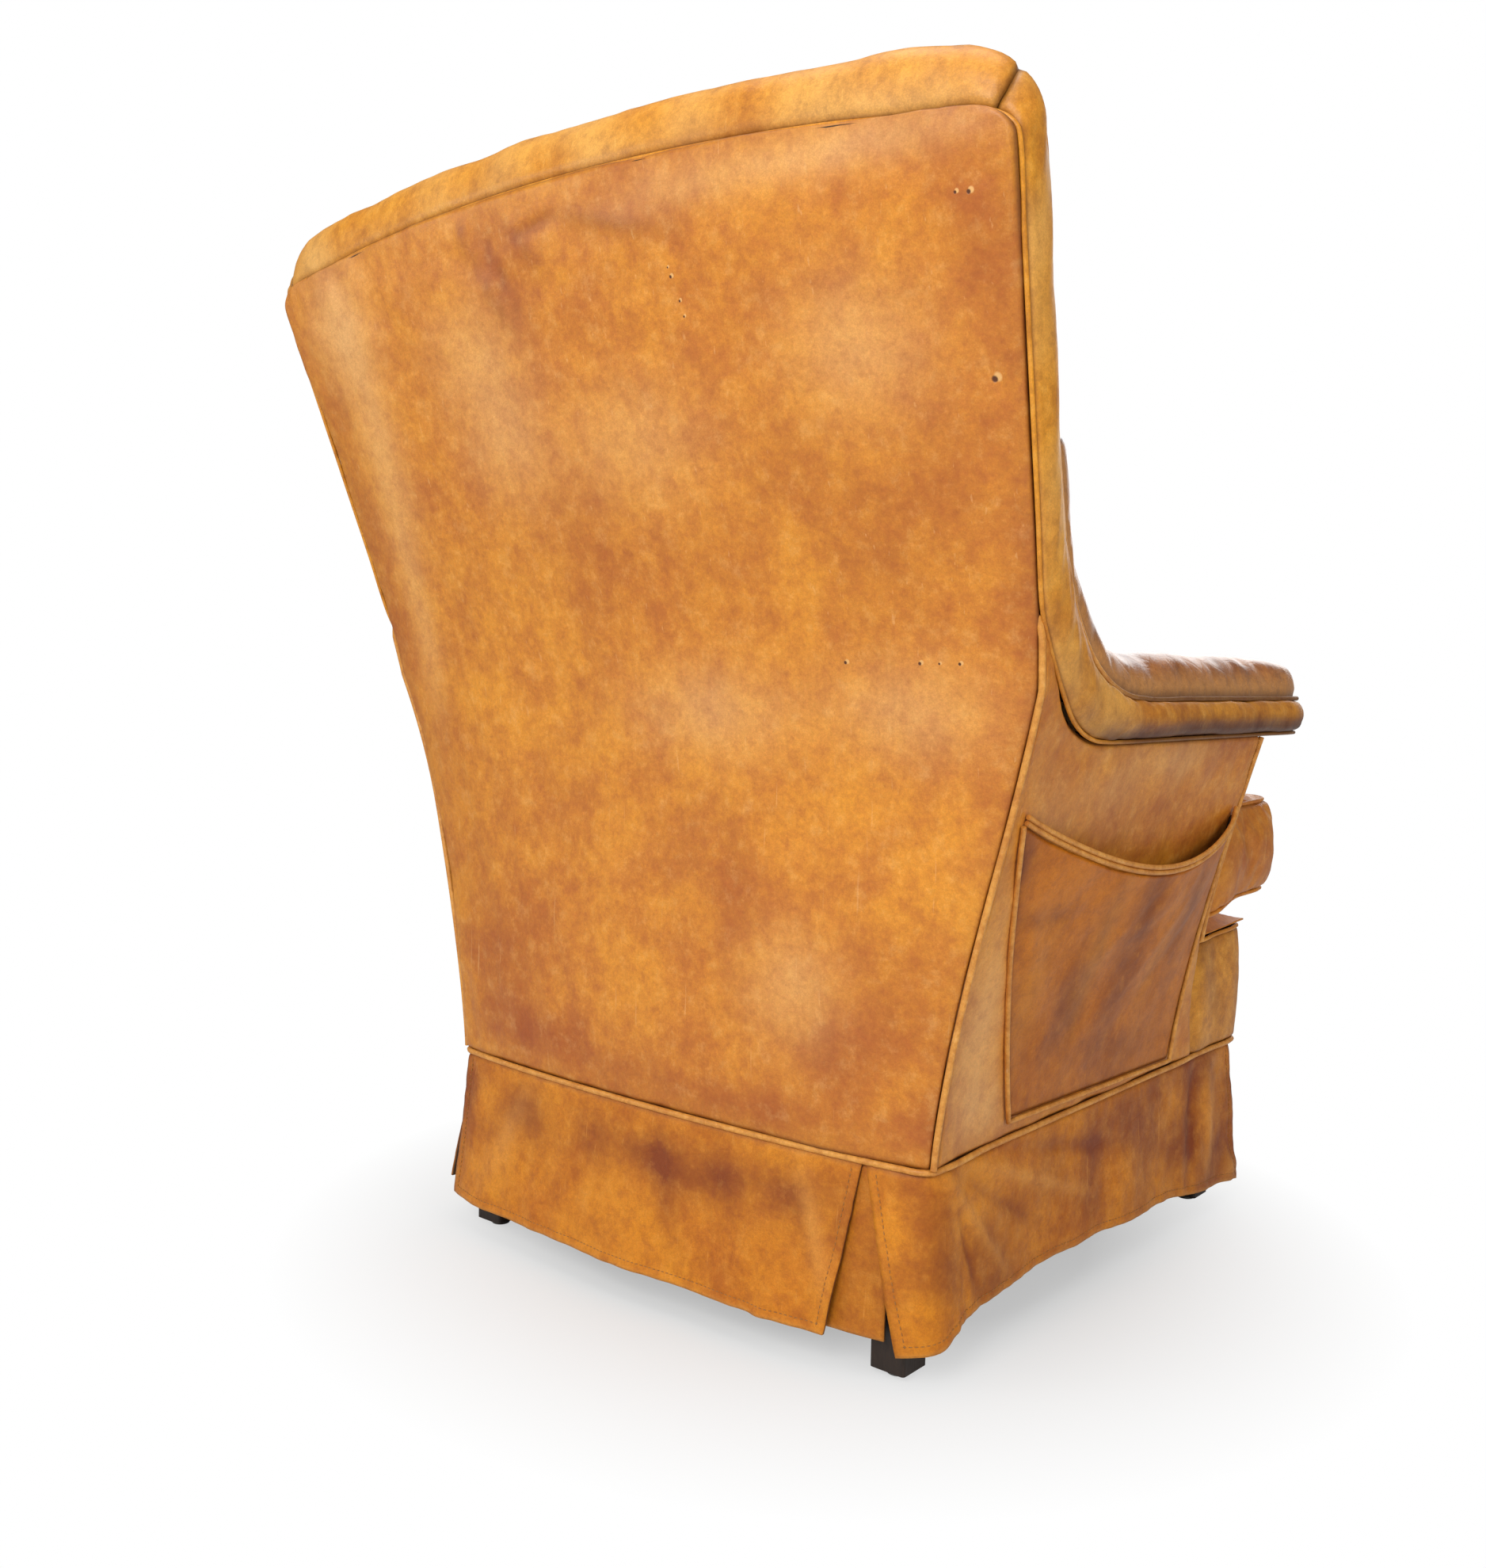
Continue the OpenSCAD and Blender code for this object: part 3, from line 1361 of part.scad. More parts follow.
// Places on the turn of the corner, as shares of the slit's distance, with their directions
corner_turn_shares = [[0.22, 0.04, 0.3, 0.95], [0.08, -0.06, 0.7, 0.7]];
rear_corner_line = concat(
    [for (x = [side_x + slit_play - slit_x, side_x - slit_x / 2]) [x, rear_line_y(x), 0, 1]],
    [for (s = corner_turn_shares) [side_x - slit_x * s[0], seam_y(welt_h) + slit_x * s[1], s[2], s[3]]]
);
module left_skirt() {
    color(leather_colour)
        hanging(side_skirt_line, 0, 4);
}
module right_skirt() {
    line = concat(rear_corner_line, side_skirt_line);
    color(leather_colour)
        hanging([for (p = line) [-p[0], p[1], -p[2], p[3]]], 0, 4, 0, [0.6, -0.4, 0.9]);
}
module front_skirt() {
    color(leather_colour)
        hanging(front_skirt_line, 0, 4);
}

// The pleats behind the slits at the corners
pleat_inset = leather_t + 2 * gap;
pleat_flare_share = 0.66;
pleat_l = 62;
pleat_short = 4;
slit_pleat_over = 28;
slit_pleat_step = 20;
pleat_end_shares = [1, 0.56];
rear_turn_shares = [[0.26, 0.03, 0.3, 0.95], [0.1, -0.08, 0.7, 0.7], [0.016, -0.29, 0.95, 0.3]];
front_turn_shares = [[0.27, 0.024, 0.3, -0.95], [0.1, 0.1, 0.7, -0.7], [0.024, 0.27, 0.95, -0.3]];
module corner_pleats() {
    rear_y = seam_y(welt_h);
    front_y = leather_t / 2 - front_border_d;
    front_x = box_x - leather_t / 2;
    even = [1, 1, 1] * pleat_flare_share;
    rear_pleat = concat(
        [for (s = pleat_end_shares) let (x = side_x - pleat_l * s) [x, rear_line_y(x), 0, 1]],
        [for (s = rear_turn_shares) [side_x - pleat_l * s[0], rear_y + pleat_l * s[1], s[2], s[3]]],
        [for (i = [1, 0]) let (y = rear_y - pleat_l * pleat_end_shares[i]) [side_line_x(y), y, 1, 0]]
    );
    front_pleat = concat(
        [for (s = pleat_end_shares) [front_x - pleat_l * s, front_y, 0, -1]],
        [for (s = front_turn_shares) [front_x - pleat_l * s[0], front_y + pleat_l * s[1], s[2], s[3]]],
        [for (i = [1, 0]) [front_x, front_y + pleat_l * pleat_end_shares[i], 1, 0]]
    );
    slit_pleat = [
        for (i = [0:4])
            let (x = side_x - slit_x + slit_pleat_over - slit_pleat_step * i)
            [-x, rear_line_y(x), 0, 1]
    ];
    color(leather_colour) {
        hanging(rear_pleat, pleat_inset, 0, pleat_short, even);
        hanging(slit_pleat, pleat_inset, 0, pleat_short, [0.4, 0.45, pleat_flare_share]);
        for (side = [-1, 1])
            hanging(
                [for (p = front_pleat) [side * p[0], p[1], side * p[2], p[3]]],
                pleat_inset, 0, pleat_short, even
            );
    }
}

module dust_cover() {
    t = 1.2;
    play = 1;
    edge = 2;
    color(cloth_colour)
        translate([0, 0, frame_h - glue - t])
            linear_extrude(height = t)
                difference() {
                    translate([edge - frame_x, front_rail_y + edge])
                        square([2 * (frame_x - edge), rear_face_y - front_rail_y - 2 * edge]);
                    for (x = [-leg_x, leg_x])
                        for (y = [front_leg_y, rear_leg_y])
                            translate([x, y])
                                square(leg_w + 2 * play, center = true);
                }
}

// The seat cushion, in plan on the deck: its seam line with outward directions
nose_inset = 0.6;
nose_y = front_border_d - overall_d / 2 + 2 * welt_r - nose_inset;
cushion_side_play = 3;
cushion_ear_play = 6;
cushion_rear_play = 14;
body_x = seat_half_w - cushion_side_play - 2 * welt_r;
ear_x = ear_w / 2 - 2 * welt_r;
ear_rear_y = front_border_d - arm_face_d - cushion_ear_play - 2 * welt_r;
cushion_rear_y = front_border_d + seam_y(bend_start_h) - border_w - lumbar_t - cushion_rear_play;
ear_front_r = 34;
ear_rear_r = 14;
ear_pull = 1.5;
nose_curve = 6;
nose_corner_drop = 8;
neck_r = 14;
neck_pull = 0.5;
waist_pull = 2;
rear_r = 26;
cushion_half = concat(
    [for (s = [0, 0.35, 0.7]) [ear_x * s, nose_y + nose_curve * s * s, 0, -1]],
    [
        for (a = [-90:22.5:0])
            [
                ear_x - ear_front_r + ear_front_r * cos(a),
                nose_y + nose_corner_drop + ear_front_r + ear_front_r * sin(a), cos(a), sin(a)
            ]
    ],
    [[ear_x - ear_pull, (nose_y + ear_rear_y) / 2, 1, 0]],
    [
        for (a = [0:45:90])
            [
                ear_x - ear_rear_r + ear_rear_r * cos(a), ear_rear_y - ear_rear_r + ear_rear_r * sin(a),
                cos(a), sin(a)
            ]
    ],
    [
        [body_x + neck_r, ear_rear_y - neck_pull, 0, 1],
        [body_x + neck_r * 0.21, ear_rear_y + neck_r * 0.21, 0.7, 0.7],
        [body_x, ear_rear_y + neck_r, 1, 0]
    ],
    [for (s = [0.33, 0.66]) [body_x - waist_pull * sin(180 * s), blend(ear_rear_y, cushion_rear_y, s), 1, 0]],
    [
        for (a = [0:30:90])
            [body_x - rear_r + rear_r * cos(a), cushion_rear_y - rear_r + rear_r * sin(a), cos(a), sin(a)]
    ],
    [for (s = [0.6, 0.3, 0]) [(body_x - rear_r) * s, cushion_rear_y, 0, 1]]
);
cushion_line = concat(
    cushion_half,
    [for (i = [len(cushion_half) - 2:-1:1]) let (p = cushion_half[i]) [-p[0], p[1], -p[2], p[3]]]
);
edge_h = welt_r + gap;
cushion_middle_d = 250;
cushion_swell = 4;
module seat_cushion() {
    k = len(cushion_line);
    middle = [0, front_border_d - cushion_middle_d];
    ring_shares = [0.35, 0.62, 0.84, 0.95];
    function top_z(s) = edge_h + cushion_t + cushion_crown * pow(1 - pow(s, 3), 0.8);
    function ring(s, z) = [
        for (p = cushion_line) [middle[0] + (p[0] - middle[0]) * s, middle[1] + (p[1] - middle[1]) * s, z]
    ];
    function wall(z, out) = [for (p = cushion_line) [p[0] + p[2] * out, p[1] + p[3] * out, z]];
    levels = concat(
        [for (s = ring_shares) ring(s, gap)],
        [for (s = [0, 0.3, 0.7, 1]) wall(edge_h + cushion_t * s, s == 0 || s == 1 ? 0 : cushion_swell)],
        [for (i = [len(ring_shares) - 1:-1:0]) ring(ring_shares[i], top_z(ring_shares[i]))]
    );
    m = len(levels);
    points = concat(
        [for (l = levels) each l], [[middle[0], middle[1], gap], [middle[0], middle[1], top_z(0)]]
    );
    faces = concat(
        [for (l = [0:m - 2]) for (s = [0:k - 1])
            let (a = l * k + s, b = l * k + (s + 1) % k, c = a + k, d = b + k) each [[a, b, d], [a, d, c]]],
        [for (s = [0:k - 1]) [m * k, (s + 1) % k, s]],
        [for (s = [0:k - 1]) [m * k + 1, (m - 1) * k + s, (m - 1) * k + (s + 1) % k]]
    );
    color(leather_colour)
        on_deck()
            closed(points, faces);
}
module cushion_welts() {
    color(welt_colour)
        on_deck()
            for (z = [edge_h, edge_h + cushion_t])
                cord([
                    for (p = cushion_line)
                        [p[0] + p[2] * (welt_r + fit_play), p[1] + p[3] * (welt_r + fit_play), z]
                ], welt_r, loop = true);
}
zip_colour = [0.25, 0.18, 0.12];
module cushion_zip() {
    zip_l = 360;
    zip_w = 12;
    zip_t = 1.2;
    slider_l = 12;
    slider_w = 8;
    slider_t = 1.5;
    slider_end = 16;
    face_y = cushion_rear_y + cushion_swell + gap;
    middle_z = edge_h + cushion_t / 2;
    color(zip_colour)
        on_deck() {
            translate([-zip_l / 2, face_y, middle_z - zip_w / 2])
                cube([zip_l, zip_t, zip_w]);
            translate([zip_l / 2 - slider_end, face_y + zip_t / 2, middle_z - slider_w / 2])
                cube([slider_l, zip_t / 2 + slider_t, slider_w]);
        }
}

rear_left_leg();
rear_right_leg();
front_left_leg();
front_right_leg();
leg_glides();
leg_bolts();
front_seat_rail();
rear_seat_rail();
left_seat_rail();
right_seat_rail();
corner_blocks();
block_screws();
left_back_post();
right_back_post();
top_rail();
lumbar_rail();
left_arm_post();
right_arm_post();
left_arm_board();
right_arm_board();
frame_dowels();
seat_springs();
back_webbing();
deck_pad();
outside_back_cover();
left_border();
right_border();
top_border();
rear_seam_welt();
front_welt();
head_pad();
lumbar_pad();
left_arm_pad();
right_arm_pad();
left_inside_arm();
right_inside_arm();
left_outside_arm();
right_outside_arm();
left_arm_facing();
right_arm_facing();
corner_welts();
magazine_pocket();
pocket_piping();
front_seat_border();
seat_border_welt();
base_welt();
back_skirt();
left_skirt();
right_skirt();
front_skirt();
corner_pleats();
dust_cover();
seat_cushion();
cushion_welts();
cushion_zip();
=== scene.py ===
import math

import bmesh
import bpy
import numpy as np
from mathutils import Matrix, Vector
from mathutils.kdtree import KDTree


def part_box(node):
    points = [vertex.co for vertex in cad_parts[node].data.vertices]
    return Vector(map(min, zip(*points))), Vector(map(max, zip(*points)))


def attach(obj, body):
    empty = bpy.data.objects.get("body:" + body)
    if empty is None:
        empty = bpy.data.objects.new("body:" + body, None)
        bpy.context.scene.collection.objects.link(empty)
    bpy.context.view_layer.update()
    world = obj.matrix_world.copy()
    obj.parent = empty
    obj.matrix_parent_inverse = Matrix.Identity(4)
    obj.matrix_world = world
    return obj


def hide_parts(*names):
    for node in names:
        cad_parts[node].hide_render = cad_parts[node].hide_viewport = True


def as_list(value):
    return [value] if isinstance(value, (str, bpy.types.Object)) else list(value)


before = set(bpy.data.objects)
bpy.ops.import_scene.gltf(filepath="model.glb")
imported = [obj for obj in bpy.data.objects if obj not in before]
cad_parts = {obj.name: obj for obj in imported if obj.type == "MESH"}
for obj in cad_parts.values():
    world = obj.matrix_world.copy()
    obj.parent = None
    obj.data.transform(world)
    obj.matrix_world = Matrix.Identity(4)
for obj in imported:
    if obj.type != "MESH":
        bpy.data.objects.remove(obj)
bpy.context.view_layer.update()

# The covers, pads, piping and stitching of a high-backed leather club chair, made round the
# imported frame. Sizes are in millimetres, as in the part's source, and become metres in one
# place, where a mesh is made. The chair faces -Y, and +X is the sitter's left.
MM = 0.001

# Overall sizes
BACK_H = 1056.0
OVERALL_D = 876.0
BASE_W = 610.0
ARM_W = 800.0
TOP_W = 872.0
ARM_H = 630.0
# Back
RAKE = math.radians(19.0)
BEND_START_H = 450.0
BEND_END_H = 700.0
BACK_BOW = 16.0
EDGE_ROLL = 8.0
BORDER_W = 50.0
BORDER_BULGE = 8.0
CROWN_DROP = 20.0
CORNER_R = 60.0
TOP_SEAM_DROP = 37.0
HEAD_SEAM_H = 770.0
PAD_CROWN = 38.0
LUMBAR_T = 84.0
LUMBAR_PEAK_H = 500.0
# Arms
ARM_PAD_W = 96.0
ARM_TAPER = 9.0
ARM_BORDER_H = 37.0
ARM_TIP_D = 350.0
ARM_FACE_D = 222.0
ARM_OVERHANG = 6.0
ARM_END_R = 40.0
SEAT_HALF_W = 262.0
# Seat
DECK_H = 350.0
DECK_ANGLE = math.radians(2.5)
DECK_T = 20.0
CUSHION_T = 121.0
CUSHION_CROWN = 20.0
EAR_W = 662.0
FRONT_BORDER_D = 400.0
FRONT_BORDER_W = 598.0
# Base and skirt
WELT_H = 190.0
HEM_H = 34.0
SKIRT_FLARE = 16.0
SKIRT_FOLD = 5.0
LEATHER_T = 3.0
WELT_R = 3.0
# Seams
FLARE_POWER = 1.35
FRONT_INSET = 10.0
TOP_FRONT_INSET = 6.0
SIDE_INSET = 2.0
PAD_UNDER = 3.0
WELT_RISE_Y = 73.0
SEAM_RISE_Y = 140.0
WELT_JOIN_H = 744.0
SEAM_JOIN_H = 665.0
SEAM_TURN_Y = 236.0
ARM_WELT_H = ARM_H - PAD_CROWN
ARM_SEAM_H = ARM_WELT_H - ARM_BORDER_H
FLARE_H = ARM_WELT_H + 6.0
CORNER_H = BACK_H - CROWN_DROP - CORNER_R
CORNER_X = TOP_W / 2 - CORNER_R
BEND_L = BEND_END_H - BEND_START_H
SEAM_CLEAR = 3.3
JOIN_H = SEAM_JOIN_H - 17.0
SKIRT_DROP = WELT_H - HEM_H
COVER_LOW_H = WELT_H + 2.0
COVER_GAP = 0.3
# Widths of a seam's dip, of the flat strip beside it, and of the dirt and painted shade that it holds
TUCK_W, FLAT_W, DIRT_AND_SHADE_W = 3.2, 6.0, 2.6
FORWARD, BACKWARD, SIDEWAYS = np.array([0.0, -1, 0]), np.array([0.0, 1, 0]), np.array([1.0, 0, 0])


# --- Numbers and lines ---


def smooth_step(x, low, high):
    t = np.clip((np.asarray(x, float) - low) / (high - low), 0.0, 1.0)
    return t * t * (3 - 2 * t)


def blend(a, b, t):
    return a + (b - a) * t


def bell(x, width):
    """1 where x is zero, fading out over about one and a half widths."""
    return np.exp(-((x / width) ** 2))


def unit(v):
    return v / np.linalg.norm(v, axis=-1, keepdims=True)


def stacked(*parts):
    """Points from their coordinates, which may be grids, lines or single numbers."""
    return np.stack(np.broadcast_arrays(*parts), axis=-1)


def lengths(points):
    """Lengths along a line of points, from its start."""
    return np.r_[0, np.cumsum(np.linalg.norm(np.diff(points, axis=0), axis=1))]


def crowded(count, share=0.75):
    """Places from 0 to 1 that lie closer together near both ends."""
    t = np.linspace(0.0, 1.0, count)
    return t - share * np.sin(2 * math.pi * t) / (2 * math.pi)


def bezier(a, b, c, t):
    return a * (1 - t) ** 2 + b * 2 * t * (1 - t) + c * t**2


def waves(x, y, shortest, longest, seed, count=16):
    """A soft random relief, about -1 to 1, of rolling waves between two lengths."""
    rng = np.random.default_rng(seed)
    total = 0.0
    for _ in range(count):
        length = math.exp(rng.uniform(math.log(shortest), math.log(longest)))
        turn, phase = rng.uniform(0, 2 * math.pi, 2)
        total = total + np.sin(2 * math.pi * (x * math.cos(turn) + y * math.sin(turn)) / length + phase)
    return total / math.sqrt(count)


def rolling(x, y, seed, *sizes):
    """Waves of several sizes, each a height with its shortest and longest length."""
    return sum(height * waves(x, y, low, high, seed + k) for k, (height, low, high) in enumerate(sizes))


def fold(x, y, start, end, width, height):
    """A rounded ridge from start to end, or a groove where height is below zero."""
    dx, dy = end[0] - start[0], end[1] - start[1]
    t = np.clip(((x - start[0]) * dx + (y - start[1]) * dy) / (dx * dx + dy * dy), 0.0, 1.0)
    away = np.hypot(x - start[0] - t * dx, y - start[1] - t * dy)
    return height * bell(away, width) * np.sin(math.pi * np.clip(t, 0.04, 0.96)) ** 0.6


def folds_of(x, y, places):
    """The sum of folds, each with its start, end, width and height."""
    return sum(fold(x, y, *place_of) for place_of in places)


def patches(x, y, places):
    """Soft-edged spots: each place is across, up, radius across, radius up and strength."""
    total = 0.0
    for px, py, rx, ry, strength in places:
        total = total + strength * np.exp(-(((x - px) / rx) ** 2 + ((y - py) / ry) ** 2))
    return np.clip(total, 0.0, 1.0)


def through(points, step, closed=False):
    """A smooth line through points, whose first three columns are its place."""
    p = np.asarray(points, float)
    if closed:
        p = np.vstack([p[-3:], p, p[:4]])
    chord = lengths(p[:, :3])
    tangent = np.gradient(p, chord, axis=0)
    first, last = (chord[3], chord[len(p) - 4]) if closed else (0.0, chord[-1])
    at = np.linspace(first, last, max(int((last - first) / step), 4) + 1)
    if closed:
        at = at[:-1]
    i = np.clip(np.searchsorted(chord, at, side="right") - 1, 0, len(p) - 2)
    h = (chord[i + 1] - chord[i])[:, None]
    t = (at - chord[i])[:, None] / h
    return (
        (2 * t**3 - 3 * t**2 + 1) * p[i]
        + (t**3 - 2 * t**2 + t) * h * tangent[i]
        + (3 * t**2 - 2 * t**3) * p[i + 1]
        + (t**3 - t**2) * h * tangent[i + 1]
    )


def spread(points, shares):
    """Points at the given shares of a line's length."""
    p = np.asarray(points, float)
    chord = lengths(p)
    at = np.asarray(shares) * chord[-1]
    return stacked(*[np.interp(at, chord, p[:, k]) for k in range(p.shape[1])])


def filled(low, high, left, right, across, up):
    """A patch filled in from its four edge lines."""
    low, high = spread(low, across), spread(high, across)
    left, right = spread(left, up), spread(right, up)
    u, v = across[None, :, None], up[:, None, None]
    return (
        low[None] * (1 - v) + high[None] * v + left[:, None] * (1 - u) + right[:, None] * u
        - low[0] * (1 - u) * (1 - v) - low[-1] * u * (1 - v) - high[0] * (1 - u) * v - high[-1] * u * v
    )


def directions(grid, facing):
    """Outward directions of a grid of points."""
    n = np.cross(np.gradient(grid, axis=1), np.gradient(grid, axis=0))
    n = n / np.maximum(np.linalg.norm(n, axis=-1, keepdims=True), 1e-9)
    return n if np.sum(n * facing) > 0 else -n


def edge_distances(grid):
    """Distances along the grid to its low, high, left and right edges."""
    across = np.linalg.norm(np.diff(grid, axis=1), axis=-1)
    up = np.linalg.norm(np.diff(grid, axis=0), axis=-1)
    left = np.concatenate([np.zeros((grid.shape[0], 1)), np.cumsum(across, axis=1)], axis=1)
    low = np.concatenate([np.zeros((1, grid.shape[1])), np.cumsum(up, axis=0)], axis=0)
    return low, low[-1:] - low, left, left[:, -1:] - left


def sewn(grid, facing, seams="low high left right", tuck=3.0, pucker=0.5, reach=20.0, seed=1, relief=0.0):
    """A cover that dives into its seams and puckers beside them, and its marks."""
    low, high, left, right = edge_distances(grid)
    lift, near = relief + 0.0 * low, 1e6 + 0.0 * low
    sides = {"low": (low, left), "high": (high, left), "left": (left, low), "right": (right, low)}
    for k, name in enumerate(seams.split()):
        away, along = sides[name]
        lift = lift - tuck * bell(away, TUCK_W)
        puckers = pucker * waves(along, away * 0.2, 11, 34, seed + k) * np.exp(-away / reach)
        lift = lift + puckers * (1 - bell(away, FLAT_W))
        near = np.minimum(near, away)
    # The seam mark darkens the cover next to its seams: painted shade, and dirt.
    marks = {"seam": np.clip(bell(near, DIRT_AND_SHADE_W) + 0.3 * np.exp(-near / 10), 0, 1)}
    return grid + directions(grid, facing) * lift[..., None], marks


# --- The chair's lines, as in the part's source ---


def half_w(z):
    """Half the width of the chair at a height."""
    z = np.asarray(z, float)
    rise = np.clip((z - WELT_H) / (FLARE_H - WELT_H), 0.0, 1.0)
    low = BASE_W / 2 + (ARM_W - BASE_W) / 2 * rise**FLARE_POWER
    high = ARM_W / 2 + (TOP_W - ARM_W) / 2 * (z - FLARE_H) / (CORNER_H - FLARE_H)
    return np.where(z < FLARE_H, low, high)


def lean_share(z):
    return np.clip((np.asarray(z, float) - BEND_START_H) / BEND_L, 0.0, 1.0)


def rake_run(z):
    return math.tan(RAKE) * (lean_share(z) ** 2 * BEND_L / 2 + np.maximum(0.0, np.asarray(z, float) - BEND_END_H))


def lean(z):
    return np.arctan(math.tan(RAKE) * lean_share(z))


SEAM_BASE_Y = OVERALL_D / 2 - BACK_BOW - WELT_R - float(rake_run(BACK_H - TOP_SEAM_DROP))


def seam_y(z):
    return SEAM_BASE_Y + rake_run(z)


def bow(x, z):
    return BACK_BOW * np.maximum(0.0, 1 - (x / half_w(np.minimum(z, CORNER_H))) ** 2)


def lean_point(x, z, t):
    """A point of the back: across, up the rear seam, and forward of it at right angles."""
    return stacked(x, seam_y(z) - t * np.cos(lean(z)), z + t * np.sin(lean(z)))


def back_point(x, z, t):
    """The same with the bow of the outside back."""
    p = lean_point(x, z, t)
    p[..., 1] += bow(np.asarray(x, float), np.asarray(z, float))
    return p


def crown_h(x):
    return BACK_H - CROWN_DROP * (np.asarray(x, float) / CORNER_X) ** 2


def corner_line(a, side_in, top_in):
    return stacked(CORNER_X + (CORNER_R - side_in) * np.cos(a), CORNER_H + (CORNER_R - top_in) * np.sin(a))


def back_patch(z0, side_in, top_in, across, up):
    """A panel of the back, across and up, inside its rounded outline."""
    z = np.linspace(z0, CORNER_H, 60)
    side = np.vstack([
        stacked(half_w(z) - side_in, z),
        corner_line(np.radians(np.linspace(3, 45, 15)), side_in, top_in),
    ])
    x = np.linspace(CORNER_X, -CORNER_X, 80)
    arc = corner_line(np.radians(np.linspace(45, 87, 15)), side_in, top_in)
    top = np.vstack([arc, stacked(x, crown_h(x) - top_in), arc[::-1] * [-1, 1]])
    low = np.array([[side[0][0], z0], [-side[0][0], z0]])
    return filled(low, top, side, side * [-1, 1], across, up)


def station(rear, middle, front, out):
    return np.concatenate([front, rear, middle, out])


def border_station(p_z, r, f, n, share):
    rear, front = back_point(r[0], r[1], 0), lean_point(f[0], f[1], BORDER_W)
    tip = float(lean(p_z))
    out = np.array([n[0], n[1] * math.sin(tip), n[1] * math.cos(tip)])
    middle = blend(front, rear, blend(0.5, 0.73, share)) + out * blend(BORDER_BULGE * 2, BORDER_BULGE * 6.5, share)
    return station(rear, middle, front, out)


def corner_station(degrees):
    a = math.radians(degrees)
    return border_station(
        corner_line(a, 0, 0)[1], corner_line(a, SIDE_INSET, TOP_SEAM_DROP),
        corner_line(a, FRONT_INSET, TOP_FRONT_INSET), (math.cos(a), math.sin(a)), degrees / 90,
    )


def top_station(x):
    z = float(crown_h(x))
    return border_station(z, (x, z - TOP_SEAM_DROP), (x, z - TOP_FRONT_INSET), (0, 1), 1)


def side_station(z_rear, z_front):
    rear = back_point(half_w(z_rear) - SIDE_INSET, z_rear, 0)
    front = lean_point(half_w(z_front) - FRONT_INSET, z_front, BORDER_W)
    return station(rear, (front + rear) / 2 + [BORDER_BULGE * 2, 0, 0], front, np.array([1.0, 0, 0]))


def arm_outer_x(y):
    """Outer edge of the arm pad in plan."""
    return float(half_w(ARM_WELT_H)) - FRONT_INSET - ARM_TAPER * np.clip(
        (WELT_RISE_Y - np.asarray(y, float)) / (WELT_RISE_Y + ARM_TIP_D), 0.0, 1.0
    )


ARM_END_Y = ARM_END_R - ARM_TIP_D
ARM_END_X = float(arm_outer_x(ARM_END_Y))


def arm_station(x, y, n):
    n = np.array([n[0], n[1], 0.0])
    front = np.array([x, y, ARM_WELT_H])
    rear = np.array([x, y, ARM_SEAM_H]) - n * SIDE_INSET
    return station(rear, (front + rear) / 2 + n * BORDER_BULGE * 2, front, n)


WELT_RISE_TOP = lean_point(float(half_w(WELT_JOIN_H)) - FRONT_INSET, WELT_JOIN_H, BORDER_W)


def welt_rise(t):
    a = np.array([WELT_RISE_TOP[1], WELT_RISE_TOP[2]])
    b = np.array([a[0] - math.tan(RAKE) * (a[1] - ARM_WELT_H), ARM_WELT_H])
    p = bezier(np.array([WELT_RISE_Y, ARM_WELT_H]), b, a, t)
    return np.array([float(half_w(p[1])) - FRONT_INSET, p[0], p[1]])


def seam_rise(t):
    p = bezier(
        np.array([SEAM_RISE_Y, ARM_SEAM_H]), np.array([SEAM_TURN_Y, ARM_SEAM_H]),
        np.array([float(seam_y(SEAM_JOIN_H)), SEAM_JOIN_H]), t,
    )
    return np.array([float(half_w(p[1])) - SIDE_INSET, p[0], p[1]])


def rise_station(t):
    rear, front = seam_rise(t), welt_rise(t)
    return station(rear, (front + rear) / 2 + [BORDER_BULGE * 2, 0, 0], front, np.array([1.0, 0, 0]))


def turned(degrees):
    return math.cos(math.radians(degrees)), math.sin(math.radians(degrees))


def arm_end(x, degrees):
    """A station of the arm's rounded end."""
    return arm_station(x, ARM_END_Y + ARM_END_R * turned(degrees)[1], turned(degrees))


RISE_STEPS = 7
ARM_STATIONS = (
    [arm_station(float(arm_outer_x(y)) - ARM_PAD_W, y, (-1, 0)) for y in (7 - ARM_FACE_D, (ARM_END_Y - ARM_FACE_D) / 2)]
    + [arm_end(ARM_END_X - ARM_PAD_W + ARM_END_R * (1 + turned(a)[0]), a) for a in np.arange(180, 271, 22.5)]
    + [arm_end(ARM_END_X - ARM_END_R * (1 - turned(a)[0]), a) for a in np.arange(270, 361, 22.5)]
    + [arm_station(float(arm_outer_x(y)), y, (1, 0)) for y in (blend(ARM_END_Y, WELT_RISE_Y, s / 4) for s in (1, 2, 3))]
)
RISE_STATIONS = [rise_station(s / RISE_STEPS) for s in range(RISE_STEPS + 1)]
UPRIGHT_STATIONS = [
    side_station(blend(SEAM_JOIN_H, CORNER_H, s / 5), blend(WELT_JOIN_H, CORNER_H, s / 5)) for s in range(1, 6)
]
SIDE_LINE = np.array(
    ARM_STATIONS + RISE_STATIONS + UPRIGHT_STATIONS + [corner_station(a) for a in np.arange(11.25, 46, 11.25)]
)
FLIP = np.array([-1.0, 1, 1] * 4)
HALF_TOP = [corner_station(a) for a in np.arange(45, 91, 11.25)] + [top_station(CORNER_X * s / 4) for s in (3, 2, 1, 0)]
TOP_LINE = np.array(HALF_TOP + [s * FLIP for s in HALF_TOP[-2::-1]])
WHOLE_LINE = np.vstack([SIDE_LINE, TOP_LINE[1:-1], (SIDE_LINE * FLIP)[::-1]])


def deck_z(y):
    return DECK_H - (np.asarray(y, float) + FRONT_BORDER_D) * math.tan(DECK_ANGLE)


